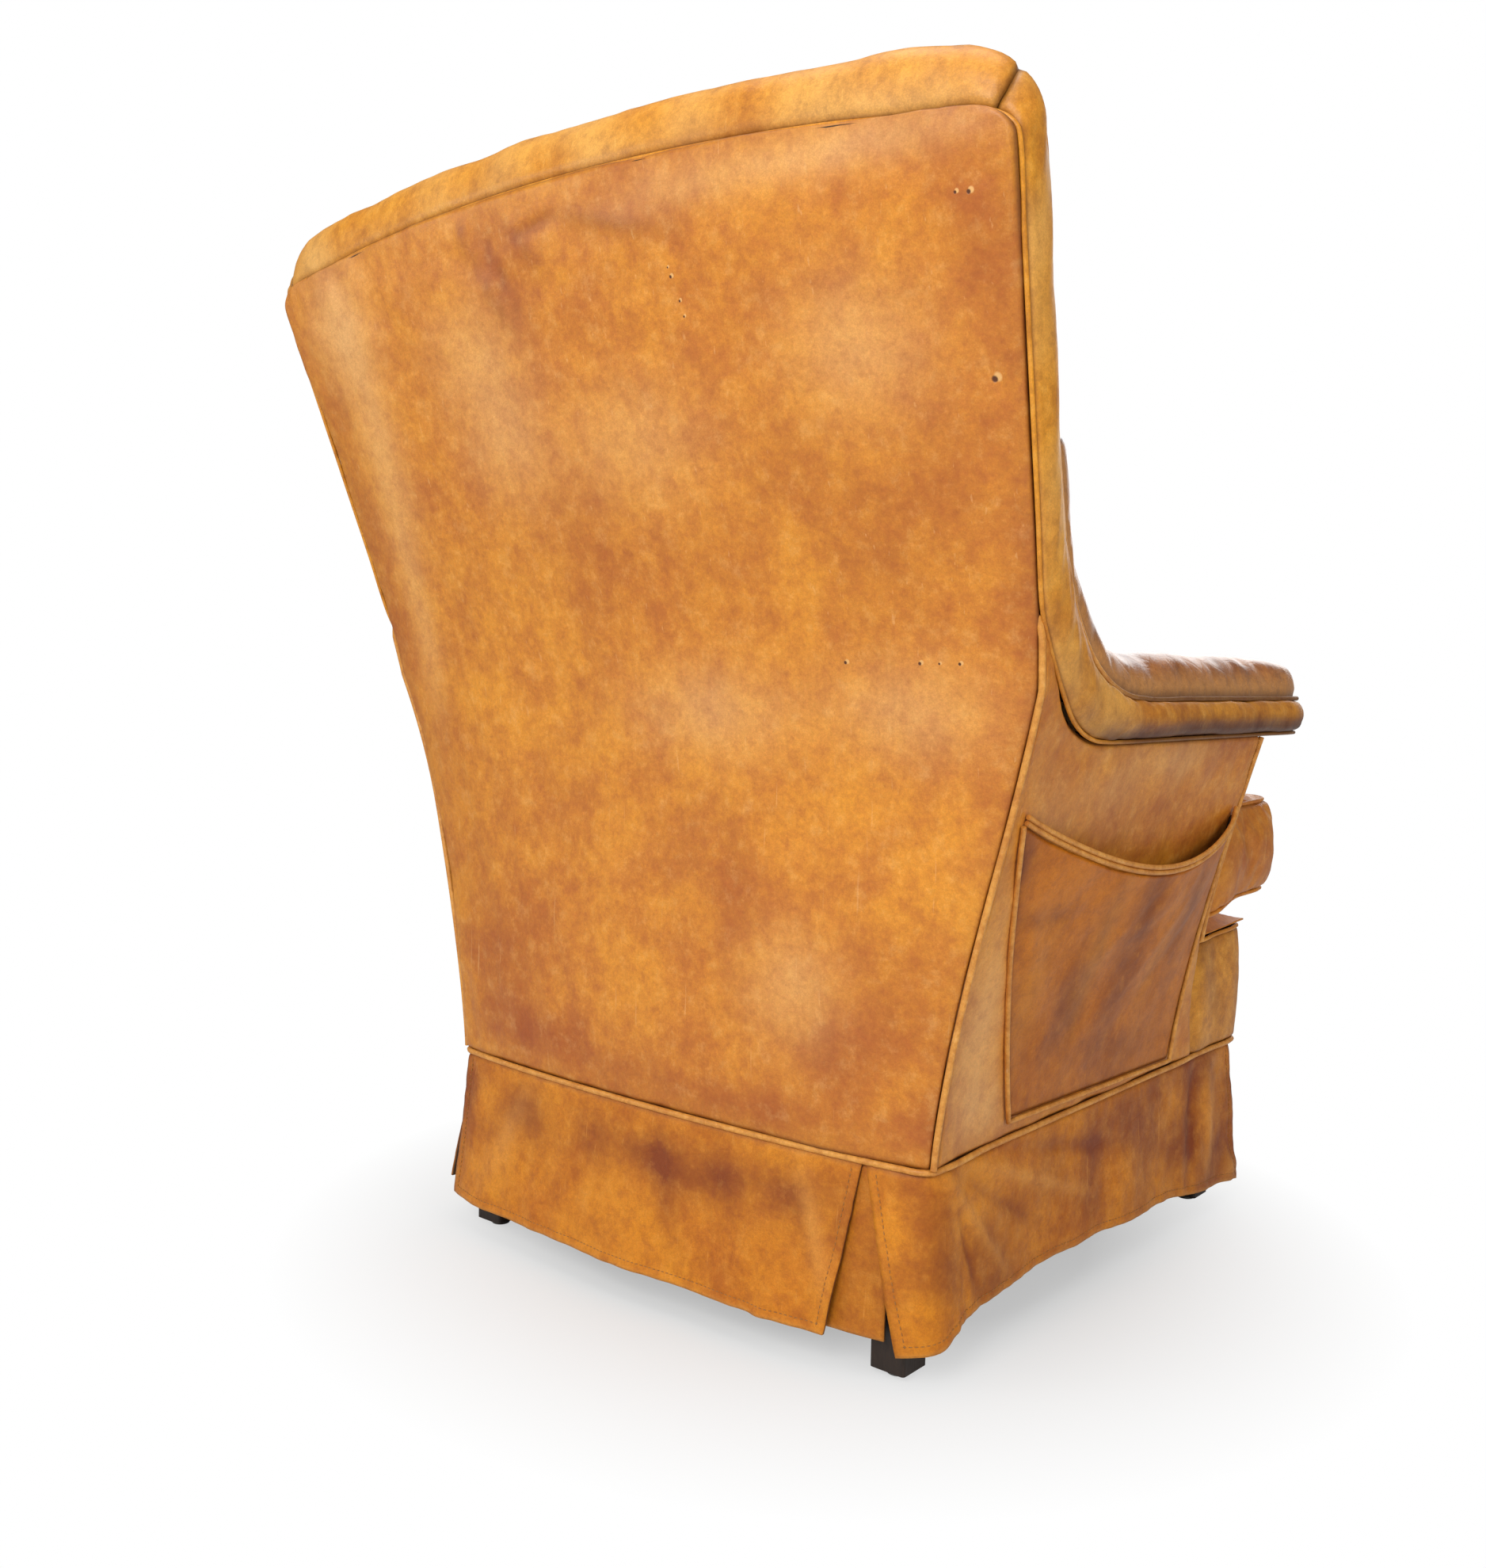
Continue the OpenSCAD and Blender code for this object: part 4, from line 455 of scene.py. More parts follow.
def on_deck(points):
    """Points on the deck's own level, as depth from its front, in the chair's frame."""
    p = np.asarray(points, float)
    c, s = math.cos(DECK_ANGLE), math.sin(DECK_ANGLE)
    return stacked(p[..., 0], p[..., 1] * c + p[..., 2] * s - FRONT_BORDER_D, p[..., 2] * c - p[..., 1] * s + DECK_H)


# --- Meshes ---

# What a cover tells its finish at every point, from 0 to 1
MARKS = ("seam", "stain_and_shade", "pale", "polish", "flesh")


def mark(mesh, key, values):
    mesh.attributes.new(key, "FLOAT", "POINT").data.foreach_set("value", values.astype(np.float32))


def coordinates(mesh):
    co = np.zeros(len(mesh.vertices) * 3, np.float32)
    mesh.vertices.foreach_get("co", co)
    return co.reshape(-1, 3).astype(float)


def move_to(mesh, points):
    mesh.vertices.foreach_set("co", points.astype(np.float32).ravel())
    mesh.update()


def applied(obj):
    """The object's mesh, after its modifiers are worked into it."""
    made = bpy.data.meshes.new_from_object(obj.evaluated_get(bpy.context.evaluated_depsgraph_get()))
    obj.modifiers.clear()
    obj.data = made
    return made


def new_object(name, mesh, finish=None):
    obj = bpy.data.objects.new(name, mesh)
    bpy.context.scene.collection.objects.link(obj)
    if finish:
        mesh.materials.clear()
        mesh.materials.append(finish)
    return obj


def cover(name, parts, finish):
    """One object from closed shells, each an outer grid, an inner grid and marks for the finish."""
    points, faces, marks, base = [], [], {}, 0
    for outer, inner, part_marks in parts:
        m, n = outer.shape[:2]
        index = np.arange(m * n).reshape(m, n)
        quads = stacked(index[:-1, :-1], index[:-1, 1:], index[1:, 1:], index[1:, :-1]).reshape(-1, 4)
        rim = np.concatenate([index[0, :], index[1:, -1], index[-1, -2::-1], index[-2:0:-1, 0]])
        after = np.roll(rim, -1)
        low = m * n
        shell = np.vstack([quads, quads[:, ::-1] + low, stacked(rim, rim + low, after + low, after)])
        p = np.concatenate([outer.reshape(-1, 3), inner.reshape(-1, 3)])
        a, b, c, d = (p[shell[:, k]] for k in range(4))
        volume = np.sum(a * np.cross(b, c)) + np.sum(a * np.cross(c, d))
        if volume < 0:
            shell = shell[:, ::-1]
        points.append(p * MM)
        faces.append(shell + base)
        base += 2 * m * n
        hidden = {"flesh": float(part_marks.get("lined", True)), "seam": 0.0}
        for key in MARKS:
            value = (part_marks.get(key, 0.0) + np.zeros((m, n))).ravel()
            under = hidden.get(key, value) + np.zeros(m * n)
            marks.setdefault(key, []).append(np.concatenate([value, under]))
    mesh = bpy.data.meshes.new(name)
    mesh.from_pydata(np.concatenate(points).tolist(), [], np.concatenate(faces).tolist())
    for key, values in marks.items():
        mark(mesh, key, np.concatenate(values))
    mesh.polygons.foreach_set("use_smooth", [True] * len(mesh.polygons))
    mesh.validate()
    return new_object(name, mesh, finish)


def backed(grid, facing, thick):
    return grid - directions(grid, facing) * thick


def mirrored(side, outer, inner, marks):
    """A shell drawn for the sitter's left, as it is or, where side is -1, on the right."""
    flip = np.array([side, 1, 1])
    return outer * flip, inner * flip, marks


# --- Cloth ---


def on_air(obj, held, pressure=4.0, slack=0.03, cap=12.0, bend=1.2):
    """Swells a cover like a bag on air, held where held is 1. No point moves further than cap."""
    scene = bpy.context.scene
    before = coordinates(obj.data)
    group = obj.vertex_groups.new(name="held")
    for level in np.unique(np.round(held, 1)):
        if level > 0:
            group.add(np.flatnonzero(np.round(held, 1) == level).tolist(), float(level), "REPLACE")
    air = obj.modifiers.new("air", "CLOTH")
    cloth = air.settings
    cloth.quality, cloth.mass, cloth.air_damping = 6, 0.25, 1.5
    cloth.tension_stiffness = cloth.compression_stiffness = 14
    cloth.shear_stiffness, cloth.bending_stiffness = 8, bend
    cloth.vertex_group_mass, cloth.shrink_min = "held", -slack
    cloth.use_pressure, cloth.uniform_pressure_force = True, pressure
    cloth.effector_weights.gravity = 0
    air.collision_settings.use_collision = False
    air.point_cache.frame_start, air.point_cache.frame_end = 1, 20
    for frame_at in range(1, 21):
        scene.frame_set(frame_at)
    moved = coordinates(obj.evaluated_get(bpy.context.evaluated_depsgraph_get()).data) - before
    obj.modifiers.clear()
    obj.vertex_groups.clear()
    scene.frame_set(1)
    far = np.linalg.norm(moved, axis=1, keepdims=True)
    moved = moved * (cap * MM * np.tanh(far / (cap * MM)) / np.maximum(far, 1e-9))
    move_to(obj.data, before + moved)
    return obj


def on_air_between_seams(obj, outer, **how):
    """The same for a pad sewn in along its edges: its underside and its seams stay put."""
    near = np.minimum.reduce(edge_distances(outer))
    held = np.r_[bell(near.ravel(), 7), np.ones(near.size)]
    return on_air(obj, held, **how)


# --- Node trees ---


def add(tree, kind, inputs=None, **settings):
    """Adds a node with its settings. An input is a value, a socket, or the node that feeds it."""
    made = tree.nodes.new(kind)
    for key, value in settings.items():
        setattr(made, key, value)
    for key, value in (inputs or {}).items():
        if isinstance(value, bpy.types.Node):
            value = next(out for out in value.outputs if out.enabled)
        if isinstance(value, bpy.types.NodeSocket):
            tree.links.new(value, made.inputs[key])
        else:
            made.inputs[key].default_value = value
    return made


def cord_tree(name, inputs, draw):
    """A tree that draws along a path, given as a mesh of edges, and paints what it draws."""
    tree = bpy.data.node_groups.new(name, "GeometryNodeTree")
    for socket, kind in (("Geometry", "Geometry"), *inputs, ("Finish", "Material")):
        tree.interface.new_socket(socket, in_out="INPUT", socket_type="NodeSocket" + kind)
    tree.interface.new_socket("Geometry", in_out="OUTPUT", socket_type="NodeSocketGeometry")
    given = add(tree, "NodeGroupInput").outputs
    path = add(tree, "GeometryNodeMeshToCurve", {"Mesh": given["Geometry"]})
    real = add(tree, "GeometryNodeRealizeInstances", {"Geometry": draw(tree, given, path)})
    soft = add(tree, "GeometryNodeSetShadeSmooth", {"Geometry": real, "Shade Smooth": True})
    paint = add(tree, "GeometryNodeSetMaterial", {"Geometry": soft, "Material": given["Finish"]})
    add(tree, "NodeGroupOutput", {"Geometry": paint})
    return tree


def round_cord(tree, given, path):
    """A round cord along the path: the piping of the seams."""
    ring = add(tree, "GeometryNodeCurvePrimitiveCircle", {"Resolution": given["Sides"], "Radius": given["Radius"]})
    return add(tree, "GeometryNodeCurveToMesh", {"Curve": path, "Profile Curve": ring, "Fill Caps": True})


def stitch_row(tree, given, path):
    """A rounded stitch at every pitch along the path."""
    places = add(tree, "GeometryNodeResampleCurve", {"Curve": path, "Length": given["Pitch"]}, mode="LENGTH")
    along = add(tree, "GeometryNodeInputTangent")
    aim = add(tree, "FunctionNodeAlignRotationToVector", {"Vector": along}, axis="Z")
    bead = add(tree, "GeometryNodeMeshUVSphere", {"Segments": 6, "Rings": 5, "Radius": 0.5})
    size = add(tree, "ShaderNodeCombineXYZ", {"X": given["Radius"], "Y": given["Radius"], "Z": given["Length"]})
    thread = add(tree, "GeometryNodeTransform", {"Geometry": bead, "Scale": size})
    return add(tree, "GeometryNodeInstanceOnPoints", {"Points": places, "Instance": thread, "Rotation": aim})


def along_paths(name, paths, tree, closed=False, **inputs):
    """Runs a geometry tree along paths, in millimetres, and keeps the plain mesh that it makes."""
    points, edges = [], []
    for path in paths:
        base, k = len(points), len(path)
        points += (np.asarray(path) * MM).tolist()
        edges += [(base + i, base + (i + 1) % k) for i in range(k if closed else k - 1)]
    mesh = bpy.data.meshes.new(name + "_path")
    mesh.from_pydata(points, edges, [])
    obj = new_object(name + "_path", mesh)
    worker = obj.modifiers.new("tree", "NODES")
    worker.node_group = tree
    for socket in tree.interface.items_tree:
        if socket.item_type == "SOCKET" and socket.in_out == "INPUT" and socket.name in inputs:
            worker[socket.identifier] = inputs[socket.name]
    made = applied(obj)
    bpy.data.objects.remove(obj)
    made.name = name
    return new_object(name, made, inputs["Finish"])


def piping(name, paths, radius, finish, closed=False):
    return along_paths(name, paths, PIPING, closed, Radius=radius * MM, Sides=12, Finish=finish)


def paint_shade_on(obj, dark):
    """Paints shade on a piping where dark, a function of its places in millimetres, says so."""
    mark(obj.data, "seam", dark(coordinates(obj.data) / MM))
    return obj


def stitches(name, paths, finish, pitch=5.2, length=3.6, thick=0.95):
    sizes = {"Pitch": pitch * MM, "Length": length * MM, "Radius": thick * MM}
    return along_paths(name, paths, STITCHES, Finish=finish, **sizes)


def place(obj, body, slot, *nodes):
    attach(obj, body)
    if nodes:
        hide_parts(*nodes)
    return obj


# --- Finishes ---


def srgb(code):
    """Linear colour of an sRGB hex value."""
    parts = [int(code[k : k + 2], 16) / 255 for k in (1, 3, 5)]
    return tuple(p / 12.92 if p <= 0.04045 else ((p + 0.055) / 1.055) ** 2.4 for p in parts) + (1.0,)


def surfaced(name, base, **values):
    """A material from a tree that is drawn into it: its shader, with the values that are equal all over."""
    made = bpy.data.materials.new(name)
    made.use_nodes = True
    tree = made.node_tree
    tree.nodes.clear()
    inputs = {key.replace("_", " "): value for key, value in values.items()}
    surface = add(tree, "ShaderNodeBsdfPrincipled", inputs)
    add(tree, "ShaderNodeOutputMaterial", {"Surface": surface})
    for socket, fed in base(tree).items():
        tree.links.new(next(out for out in fed.outputs if out.enabled), surface.inputs[socket])
    return made


def aniline_hide(name, golden, tan, stain_and_shade, pale, cloud_m=0.21, mottle_m=0.055, grain_mm=1.3, rough=(0.4, 0.54),
                 coat=0.06, mottling=0.3, creases=0.3, holes=()):
    """Vegetable-tanned, aniline-dyed cowhide, finished with wax. The dye sinks in unevenly, so the colour clouds from
    gold to tan, handling leaves darker patches, and the wax gives a satin gloss. Marked places also take painted shade
    and painted sheen."""

    def draw(tree):
        at = add(tree, "ShaderNodeTexCoord").outputs["Object"]
        seam, worn_and_shaded, rubbed, polish, flesh = (
            add(tree, "ShaderNodeAttribute", attribute_name=key).outputs["Fac"]
            for key in MARKS
        )
        clouds = add(tree, "ShaderNodeTexNoise", {"Vector": at, "Scale": 1 / cloud_m, "Detail": 3})
        mottle = add(tree, "ShaderNodeTexNoise", {
            "Vector": at, "Scale": 1 / mottle_m, "Detail": 7, "Roughness": 0.68, "Distortion": 0.12,
        })
        strokes = add(tree, "ShaderNodeTexNoise", {
            "Vector": at, "Scale": 3.2 / mottle_m, "Detail": 6, "Roughness": 0.72,
        })
        fine = add(tree, "ShaderNodeTexNoise", {"Vector": at, "Scale": 260, "Detail": 4, "Roughness": 0.62})
        # Fine scratches, drawn wider than real ones so that they show
        lean_at = add(tree, "ShaderNodeMapping", {"Vector": at, "Rotation": (0.3, 0.5, 0.2), "Scale": (260, 260, 9)})
        scratches = add(tree, "ShaderNodeTexNoise", {"Vector": lean_at, "Scale": 1.0, "Detail": 2})
        # The pebbled grain, with darker pores between the pebbles
        pebbles = add(tree, "ShaderNodeTexVoronoi", {"Vector": at, "Scale": 1000 / grain_mm, "Randomness": 1.0})
        dye = add(tree, "ShaderNodeMix", {0: 0.5, 2: clouds, 3: mottle})
        dye = add(tree, "ShaderNodeMix", {0: 0.35, 2: dye, 3: strokes})
        depth = add(tree, "ShaderNodeMapRange", {"Value": dye, "From Min": 0.41, "From Max": 0.6})
        base = add(tree, "ShaderNodeMix", {0: depth, 6: srgb(golden), 7: srgb(tan)}, data_type="RGBA")
        for source, low, high, most, colour in (
            (mottle, 0.46, 0.78, mottling, stain_and_shade),  # dye that sank in deeper
            (mottle, -0.15, 0.62, worn_and_shaded, stain_and_shade),  # handled and wetted places, and painted shade, as marked
            (clouds, -0.3, 0.7, rubbed, pale),  # rubbed and sunned places, and painted sheen, as marked
            (strokes, 0.5, 0.72, 0.3, stain_and_shade),  # strokes of the dyeing pad
            (strokes, 0.47, 0.3, 0.22, pale),
            (scratches, 0.69, 0.76, 0.3, pale),
            (pebbles, 0.25, 0.75, 0.16, stain_and_shade),
            (seam, 0.0, 1.0, 0.75, "#43200C"),  # painted shade, and dirt, held by seams and creases
        ):
            share = add(tree, "ShaderNodeMapRange", {
                "Value": source, "From Min": low, "From Max": high, "To Max": most,
            })
            base = add(tree, "ShaderNodeMix", {0: share, 6: base, 7: srgb(colour)}, data_type="RGBA")
        speck = add(tree, "ShaderNodeMix", {0: fine, 6: (0.78, 0.76, 0.7, 1), 7: (1.2, 1.2, 1.18, 1)}, data_type="RGBA")
        base = add(tree, "ShaderNodeMix", {0: 1.0, 6: base, 7: speck}, data_type="RGBA", blend_type="MULTIPLY")
        height = add(tree, "ShaderNodeMath", {0: pebbles, 1: -0.5, 2: fine}, operation="MULTIPLY_ADD")
        # Tack holes and nicks: a dark pit, with pale torn leather on one side
        flat_at = add(tree, "ShaderNodeVectorMath", {0: at, 1: (1.0, 0.1, 1.0)}, operation="MULTIPLY")
        for spot_x, spot_y, spot_z, radius in holes:
            for dx, dz, size, colour, dig in ((-0.8, 0.4, 1.1, "#E2AC68", 0.6), (0.0, 0.0, 0.8, "#5A2E12", -3.0)):
                spot = ((spot_x + dx * radius) * MM, 0.1 * spot_y * MM, (spot_z + dz * radius) * MM)
                away = add(tree, "ShaderNodeVectorMath", {0: flat_at, 1: spot}, operation="DISTANCE").outputs["Value"]
                pit = add(tree, "ShaderNodeMapRange", {
                    "Value": away, "From Min": size * radius * MM, "From Max": size * radius * MM * 0.6,
                })
                base = add(tree, "ShaderNodeMix", {0: pit, 6: base, 7: srgb(colour)}, data_type="RGBA")
                height = add(tree, "ShaderNodeMath", {0: pit, 1: dig, 2: height}, operation="MULTIPLY_ADD")
        # The flesh side, rough and undyed
        suede = add(tree, "ShaderNodeMix", {0: mottle, 6: srgb("#5F4630"), 7: srgb("#3C2A1C")}, data_type="RGBA")
        base = add(tree, "ShaderNodeMix", {0: flesh, 6: base, 7: suede}, data_type="RGBA")
        # Creases where the hide has been bent, in the slack surface
        wide_at = add(tree, "ShaderNodeMapping", {"Vector": at, "Scale": (30, 30, 46)})
        bent = add(tree, "ShaderNodeTexVoronoi", {"Vector": wide_at, "Scale": 1.0}, feature="DISTANCE_TO_EDGE")
        crease = add(tree, "ShaderNodeMapRange", {"Value": bent, "From Max": 0.06, "To Max": creases * 0.35})
        slack = add(tree, "ShaderNodeTexNoise", {"Vector": at, "Scale": 42, "Detail": 5, "Roughness": 0.6})
        large = add(tree, "ShaderNodeMath", {0: slack, 1: crease}, operation="ADD")
        wide = add(tree, "ShaderNodeBump", {"Strength": 0.3, "Distance": 0.0018, "Height": large})
        grain = add(tree, "ShaderNodeBump", {"Strength": 0.3, "Distance": 0.0006, "Height": height, "Normal": wide})
        dull = add(tree, "ShaderNodeMapRange", {
            "Value": mottle, "From Min": 0.3, "From Max": 0.7, "To Min": rough[0], "To Max": rough[1],
        })
        waxed = add(tree, "ShaderNodeMath", {0: polish, 1: -0.14, 2: dull}, operation="MULTIPLY_ADD")
        gloss = add(tree, "ShaderNodeMath", {0: flesh, 1: 0.5, 2: waxed}, operation="MULTIPLY_ADD", use_clamp=True)
        return {"Base Color": base, "Roughness": gloss, "Normal": grain}

    return surfaced(name, draw, IOR=1.45, Coat_Weight=coat, Coat_Roughness=0.32)


def wood(name, light, dark, rough, ring_mm, along=(9, 9, 1.2)):
    """Straight-grained hardwood: long fibres, darker pores and rubbed edges where shoes meet it."""

    def draw(tree):
        at = add(tree, "ShaderNodeTexCoord").outputs["Object"]
        grain_at = add(tree, "ShaderNodeMapping", {"Vector": at, "Scale": along})
        fibres = add(tree, "ShaderNodeTexNoise", {
            "Vector": grain_at, "Scale": 1000 / ring_mm / 9, "Detail": 6, "Roughness": 0.65, "Distortion": 0.4,
        })
        flecks = add(tree, "ShaderNodeTexNoise", {"Vector": grain_at, "Scale": 4000 / ring_mm / 9, "Detail": 2})
        scuffs = add(tree, "ShaderNodeTexNoise", {"Vector": at, "Scale": 60, "Detail": 5, "Roughness": 0.7})
        base = add(tree, "ShaderNodeMix", {0: fibres, 6: srgb(light), 7: srgb(dark)}, data_type="RGBA")
        for source, low, high, most, colour in ((flecks, 0.55, 0.7, 0.4, dark), (scuffs, 0.62, 0.74, 0.35, light)):
            share = add(tree, "ShaderNodeMapRange", {
                "Value": source, "From Min": low, "From Max": high, "To Max": most,
            })
            base = add(tree, "ShaderNodeMix", {0: share, 6: base, 7: srgb(colour)}, data_type="RGBA")
        bump = add(tree, "ShaderNodeBump", {"Strength": 0.25, "Distance": 0.0004, "Height": fibres})
        dull = add(tree, "ShaderNodeMapRange", {
            "Value": fibres, "From Min": 0.3, "From Max": 0.7, "To Min": rough - 0.07, "To Max": rough + 0.07,
        })
        return {"Base Color": base, "Roughness": dull, "Normal": bump}

    return surfaced(name, draw)


def plated_steel(name, colour, rough):
    """Zinc-plated or drawn steel, with faint smears of handling."""

    def draw(tree):
        at = add(tree, "ShaderNodeTexCoord").outputs["Object"]
        smears = add(tree, "ShaderNodeTexNoise", {"Vector": at, "Scale": 90, "Detail": 4, "Roughness": 0.6})
        base = add(tree, "ShaderNodeMix", {0: smears, 6: srgb(colour), 7: srgb("#8E8C86")}, data_type="RGBA")
        dull = add(tree, "ShaderNodeMapRange", {
            "Value": smears, "From Min": 0.3, "From Max": 0.7, "To Min": rough - 0.08, "To Max": rough + 0.12,
        })
        return {"Base Color": base, "Roughness": dull}

    return surfaced(name, draw, Metallic=1.0)


def woven(name, warp, weft, thread_mm, rough=0.85):
    """Plain-woven cloth: threads that cross over and under, drawn at their real spacing."""

    def draw(tree):
        at = add(tree, "ShaderNodeTexCoord").outputs["Object"]
        threads = {"Vector": at, "Scale": 500 / thread_mm, "Distortion": 0.4}
        rows, picks = (
            add(tree, "ShaderNodeTexWave", threads, bands_direction=axis).outputs["Fac"] for axis in ("X", "Z")
        )
        over = add(tree, "ShaderNodeMath", {0: rows, 1: picks}, operation="MULTIPLY")
        tufts = add(tree, "ShaderNodeTexNoise", {"Vector": at, "Scale": 700, "Detail": 3, "Roughness": 0.6})
        fuzz = add(tree, "ShaderNodeMath", {0: tufts, 1: 0.35}, operation="MULTIPLY")
        base = add(tree, "ShaderNodeMix", {0: over, 6: srgb(weft), 7: srgb(warp)}, data_type="RGBA")
        base = add(tree, "ShaderNodeMix", {0: fuzz, 6: base, 7: srgb(weft)}, data_type="RGBA")
        bump = add(tree, "ShaderNodeBump", {"Strength": 0.5, "Distance": 0.0005, "Height": over})
        return {"Base Color": base, "Normal": bump}

    return surfaced(name, draw, Roughness=rough)


PIPING = cord_tree("piping_along_seam", (("Radius", "Float"), ("Sides", "Int")), round_cord)
STITCHES = cord_tree("stitches_along_hem", [(name, "Float") for name in ("Pitch", "Length", "Radius")], stitch_row)

# Tack holes and nicks in the outside back, as the photograph shows them: x, y, z and radius
BACK_HOLES = [
    (x, float(back_point(x, z, -EDGE_ROLL)[1]), z, radius)
    for x, z, radius in (
        (-227, 618, 2.2), (-298, 618, 2.2), (-316, 618, 1.5), (-334, 618, 2.0), (-396, 944, 2.4), (-386, 945, 1.8),
        (-393, 824, 3.4), (-121, 926, 2.0), (-124, 908, 1.7), (-126, 896, 1.5), (-120, 933, 1.3),
    )
]

# Tan hides of the outside, with the clouded patina of age
OUTSIDE_HIDE = aniline_hide(
    "aniline_tan_cowhide_patinated", "#E2962A", "#C67628", "#A04F1C", "#EDBA7A", mottling=0.45, holes=BACK_HOLES
)
BORDER_HIDE = aniline_hide(
    "aniline_golden_cowhide_border", "#E89E2C", "#C67A1E", "#6E3410", "#F2BC68", cloud_m=0.12, mottling=0.12
)
# The arm tops and head are darkened and polished by hands
HANDLED_HIDE = aniline_hide(
    "aniline_brown_cowhide_hand_polished", "#C27C3C", "#9A5622", "#5E3014", "#DC9E58",
    cloud_m=0.09, mottle_m=0.035, rough=(0.28, 0.4), coat=0.3, creases=0.9,
)
SKIRT_HIDE = aniline_hide(
    "aniline_tan_cowhide_skirt", "#DA8A12", "#C06C0A", "#823A0A", "#E4A04C", cloud_m=0.13,
    mottling=0.2, creases=0.6, rough=(0.46, 0.62), coat=0.03,
)
POCKET_HIDE = aniline_hide(
    "aniline_brown_cowhide_pocket", "#CC7600", "#B26000", "#743818", "#D8902C", cloud_m=0.1, mottling=0.1, coat=0.0,
)
PIPING_HIDE = aniline_hide(
    "skived_golden_cowhide_piping", "#E3A24A", "#CB8434", "#9A5522", "#F0C48C", cloud_m=0.06, mottle_m=0.02,
    grain_mm=0.9, mottling=0.4,
)
LINEN_THREAD = woven("waxed_linen_thread", "#D7A25C", "#8E5A26", 0.6, 0.6)
LEG_WOOD = wood("ebonised_beech_worn", "#3A2A20", "#17100C", 0.42, 2.0)
FRAME_WOOD = wood("planed_beech_oiled", "#D3AE7E", "#B48A5A", 0.6, 2.5, (9, 1.2, 9))
ZINC = plated_steel("zinc_plated_steel", "#C6C8CA", 0.34)
SPRING_STEEL = plated_steel("drawn_spring_steel", "#9A9C9E", 0.4)
JUTE = woven("woven_jute_webbing", "#B99868", "#7C5F3A", 1.8)
DECK_CLOTH = woven("brown_cotton_deck_cloth", "#8A6238", "#5C3E22", 0.9)
CAMBRIC = woven("black_cotton_cambric", "#2A2826", "#141312", 0.8)
BRASS_ZIP = plated_steel("drawn_brass_zip", "#B8924A", 0.36)


# --- Outside back ---


def edge_ramp(u):
    return np.sqrt(np.maximum(0.0, 1 - np.abs(2 * u - 1) ** 6))


# Darker places of the outside back: stains, and a strip of painted shade down its +X edge
BACK_STAINS_AND_SHADE = [
    (221, 303, 60, 70, 0.8), (-100, 392, 28, 90, 0.45), (-207, 272, 50, 45, 0.7), (41, 743, 60, 50, 0.5),
    (-275, 710, 55, 60, 0.5), (-206, 781, 50, 40, 0.4), (328, 524, 40, 90, 0.5), (78, 961, 40, 60, 0.45),
    (-400, 915, 26, 80, 0.6), (-31, 452, 60, 45, 0.45), (-269, 330, 60, 50, 0.45), (-113, 986, 60, 26, 0.45),
    (144, 476, 50, 60, 0.4), (44, 672, 50, 40, 0.3), (-100, 697, 50, 40, 0.35), (-339, 783, 40, 50, 0.35),
    (207, 238, 90, 26, 0.8), (60, 222, 120, 22, 0.6), (-120, 215, 130, 18, 0.6), (-396, 660, 18, 120, 0.5),
    (385, 760, 30, 220, 0.55), (-300, 225, 40, 30, 0.5), (290, 400, 30, 120, 0.35),
]
# Paler places of the outside back: rubbed places, and painted sheen: a highlight band under the top seam and glancing
# sheen near the +X edge
BACK_PALES_AND_SHEEN = [
    (338, 942, 50, 50, 0.7), (322, 835, 36, 110, 0.65), (-256, 989, 150, 16, 0.6), (138, 896, 60, 50, 0.45),
    (-76, 571, 90, 40, 0.5), (-285, 578, 70, 40, 0.5), (-163, 329, 50, 50, 0.45), (-40, 805, 80, 50, 0.4),
    (-283, 855, 60, 50, 0.5), (123, 818, 60, 60, 0.4), (330, 650, 22, 100, 0.45),
]
BACK_FOLDS = [
    ((119, 1009), (107, 972), 5, 2.6), ((107, 972), (73, 905), 6, 2.2), ((96, 1004), (62, 916), 5, -1.8),
    ((49, 982), (-5, 992), 6, -2.0), ((60, 1000), (20, 950), 7, 1.6),
    ((-5, 992), (-139, 959), 9, 1.8), ((150, 985), (40, 940), 9, -1.1), ((-121, 925), (-124, 895), 4, -1.3),
    ((-227, 619), (-340, 620), 3, -0.9), ((-60, 250), (-40, 420), 12, 0.8), ((190, 215), (240, 330), 12, 1.0),
    ((280, 210), (300, 300), 9, -1.1), ((-150, 205), (-120, 300), 8, 0.8), ((20, 205), (30, 280), 7, -0.8),
    ((-402, 812), (-386, 832), 5, -1.6), ((380, 610), (330, 640), 8, -0.9), ((396, 700), (340, 720), 9, 0.9),
    ((-330, 1000), (-250, 940), 12, 0.9), ((330, 1000), (280, 930), 12, -0.9),
]


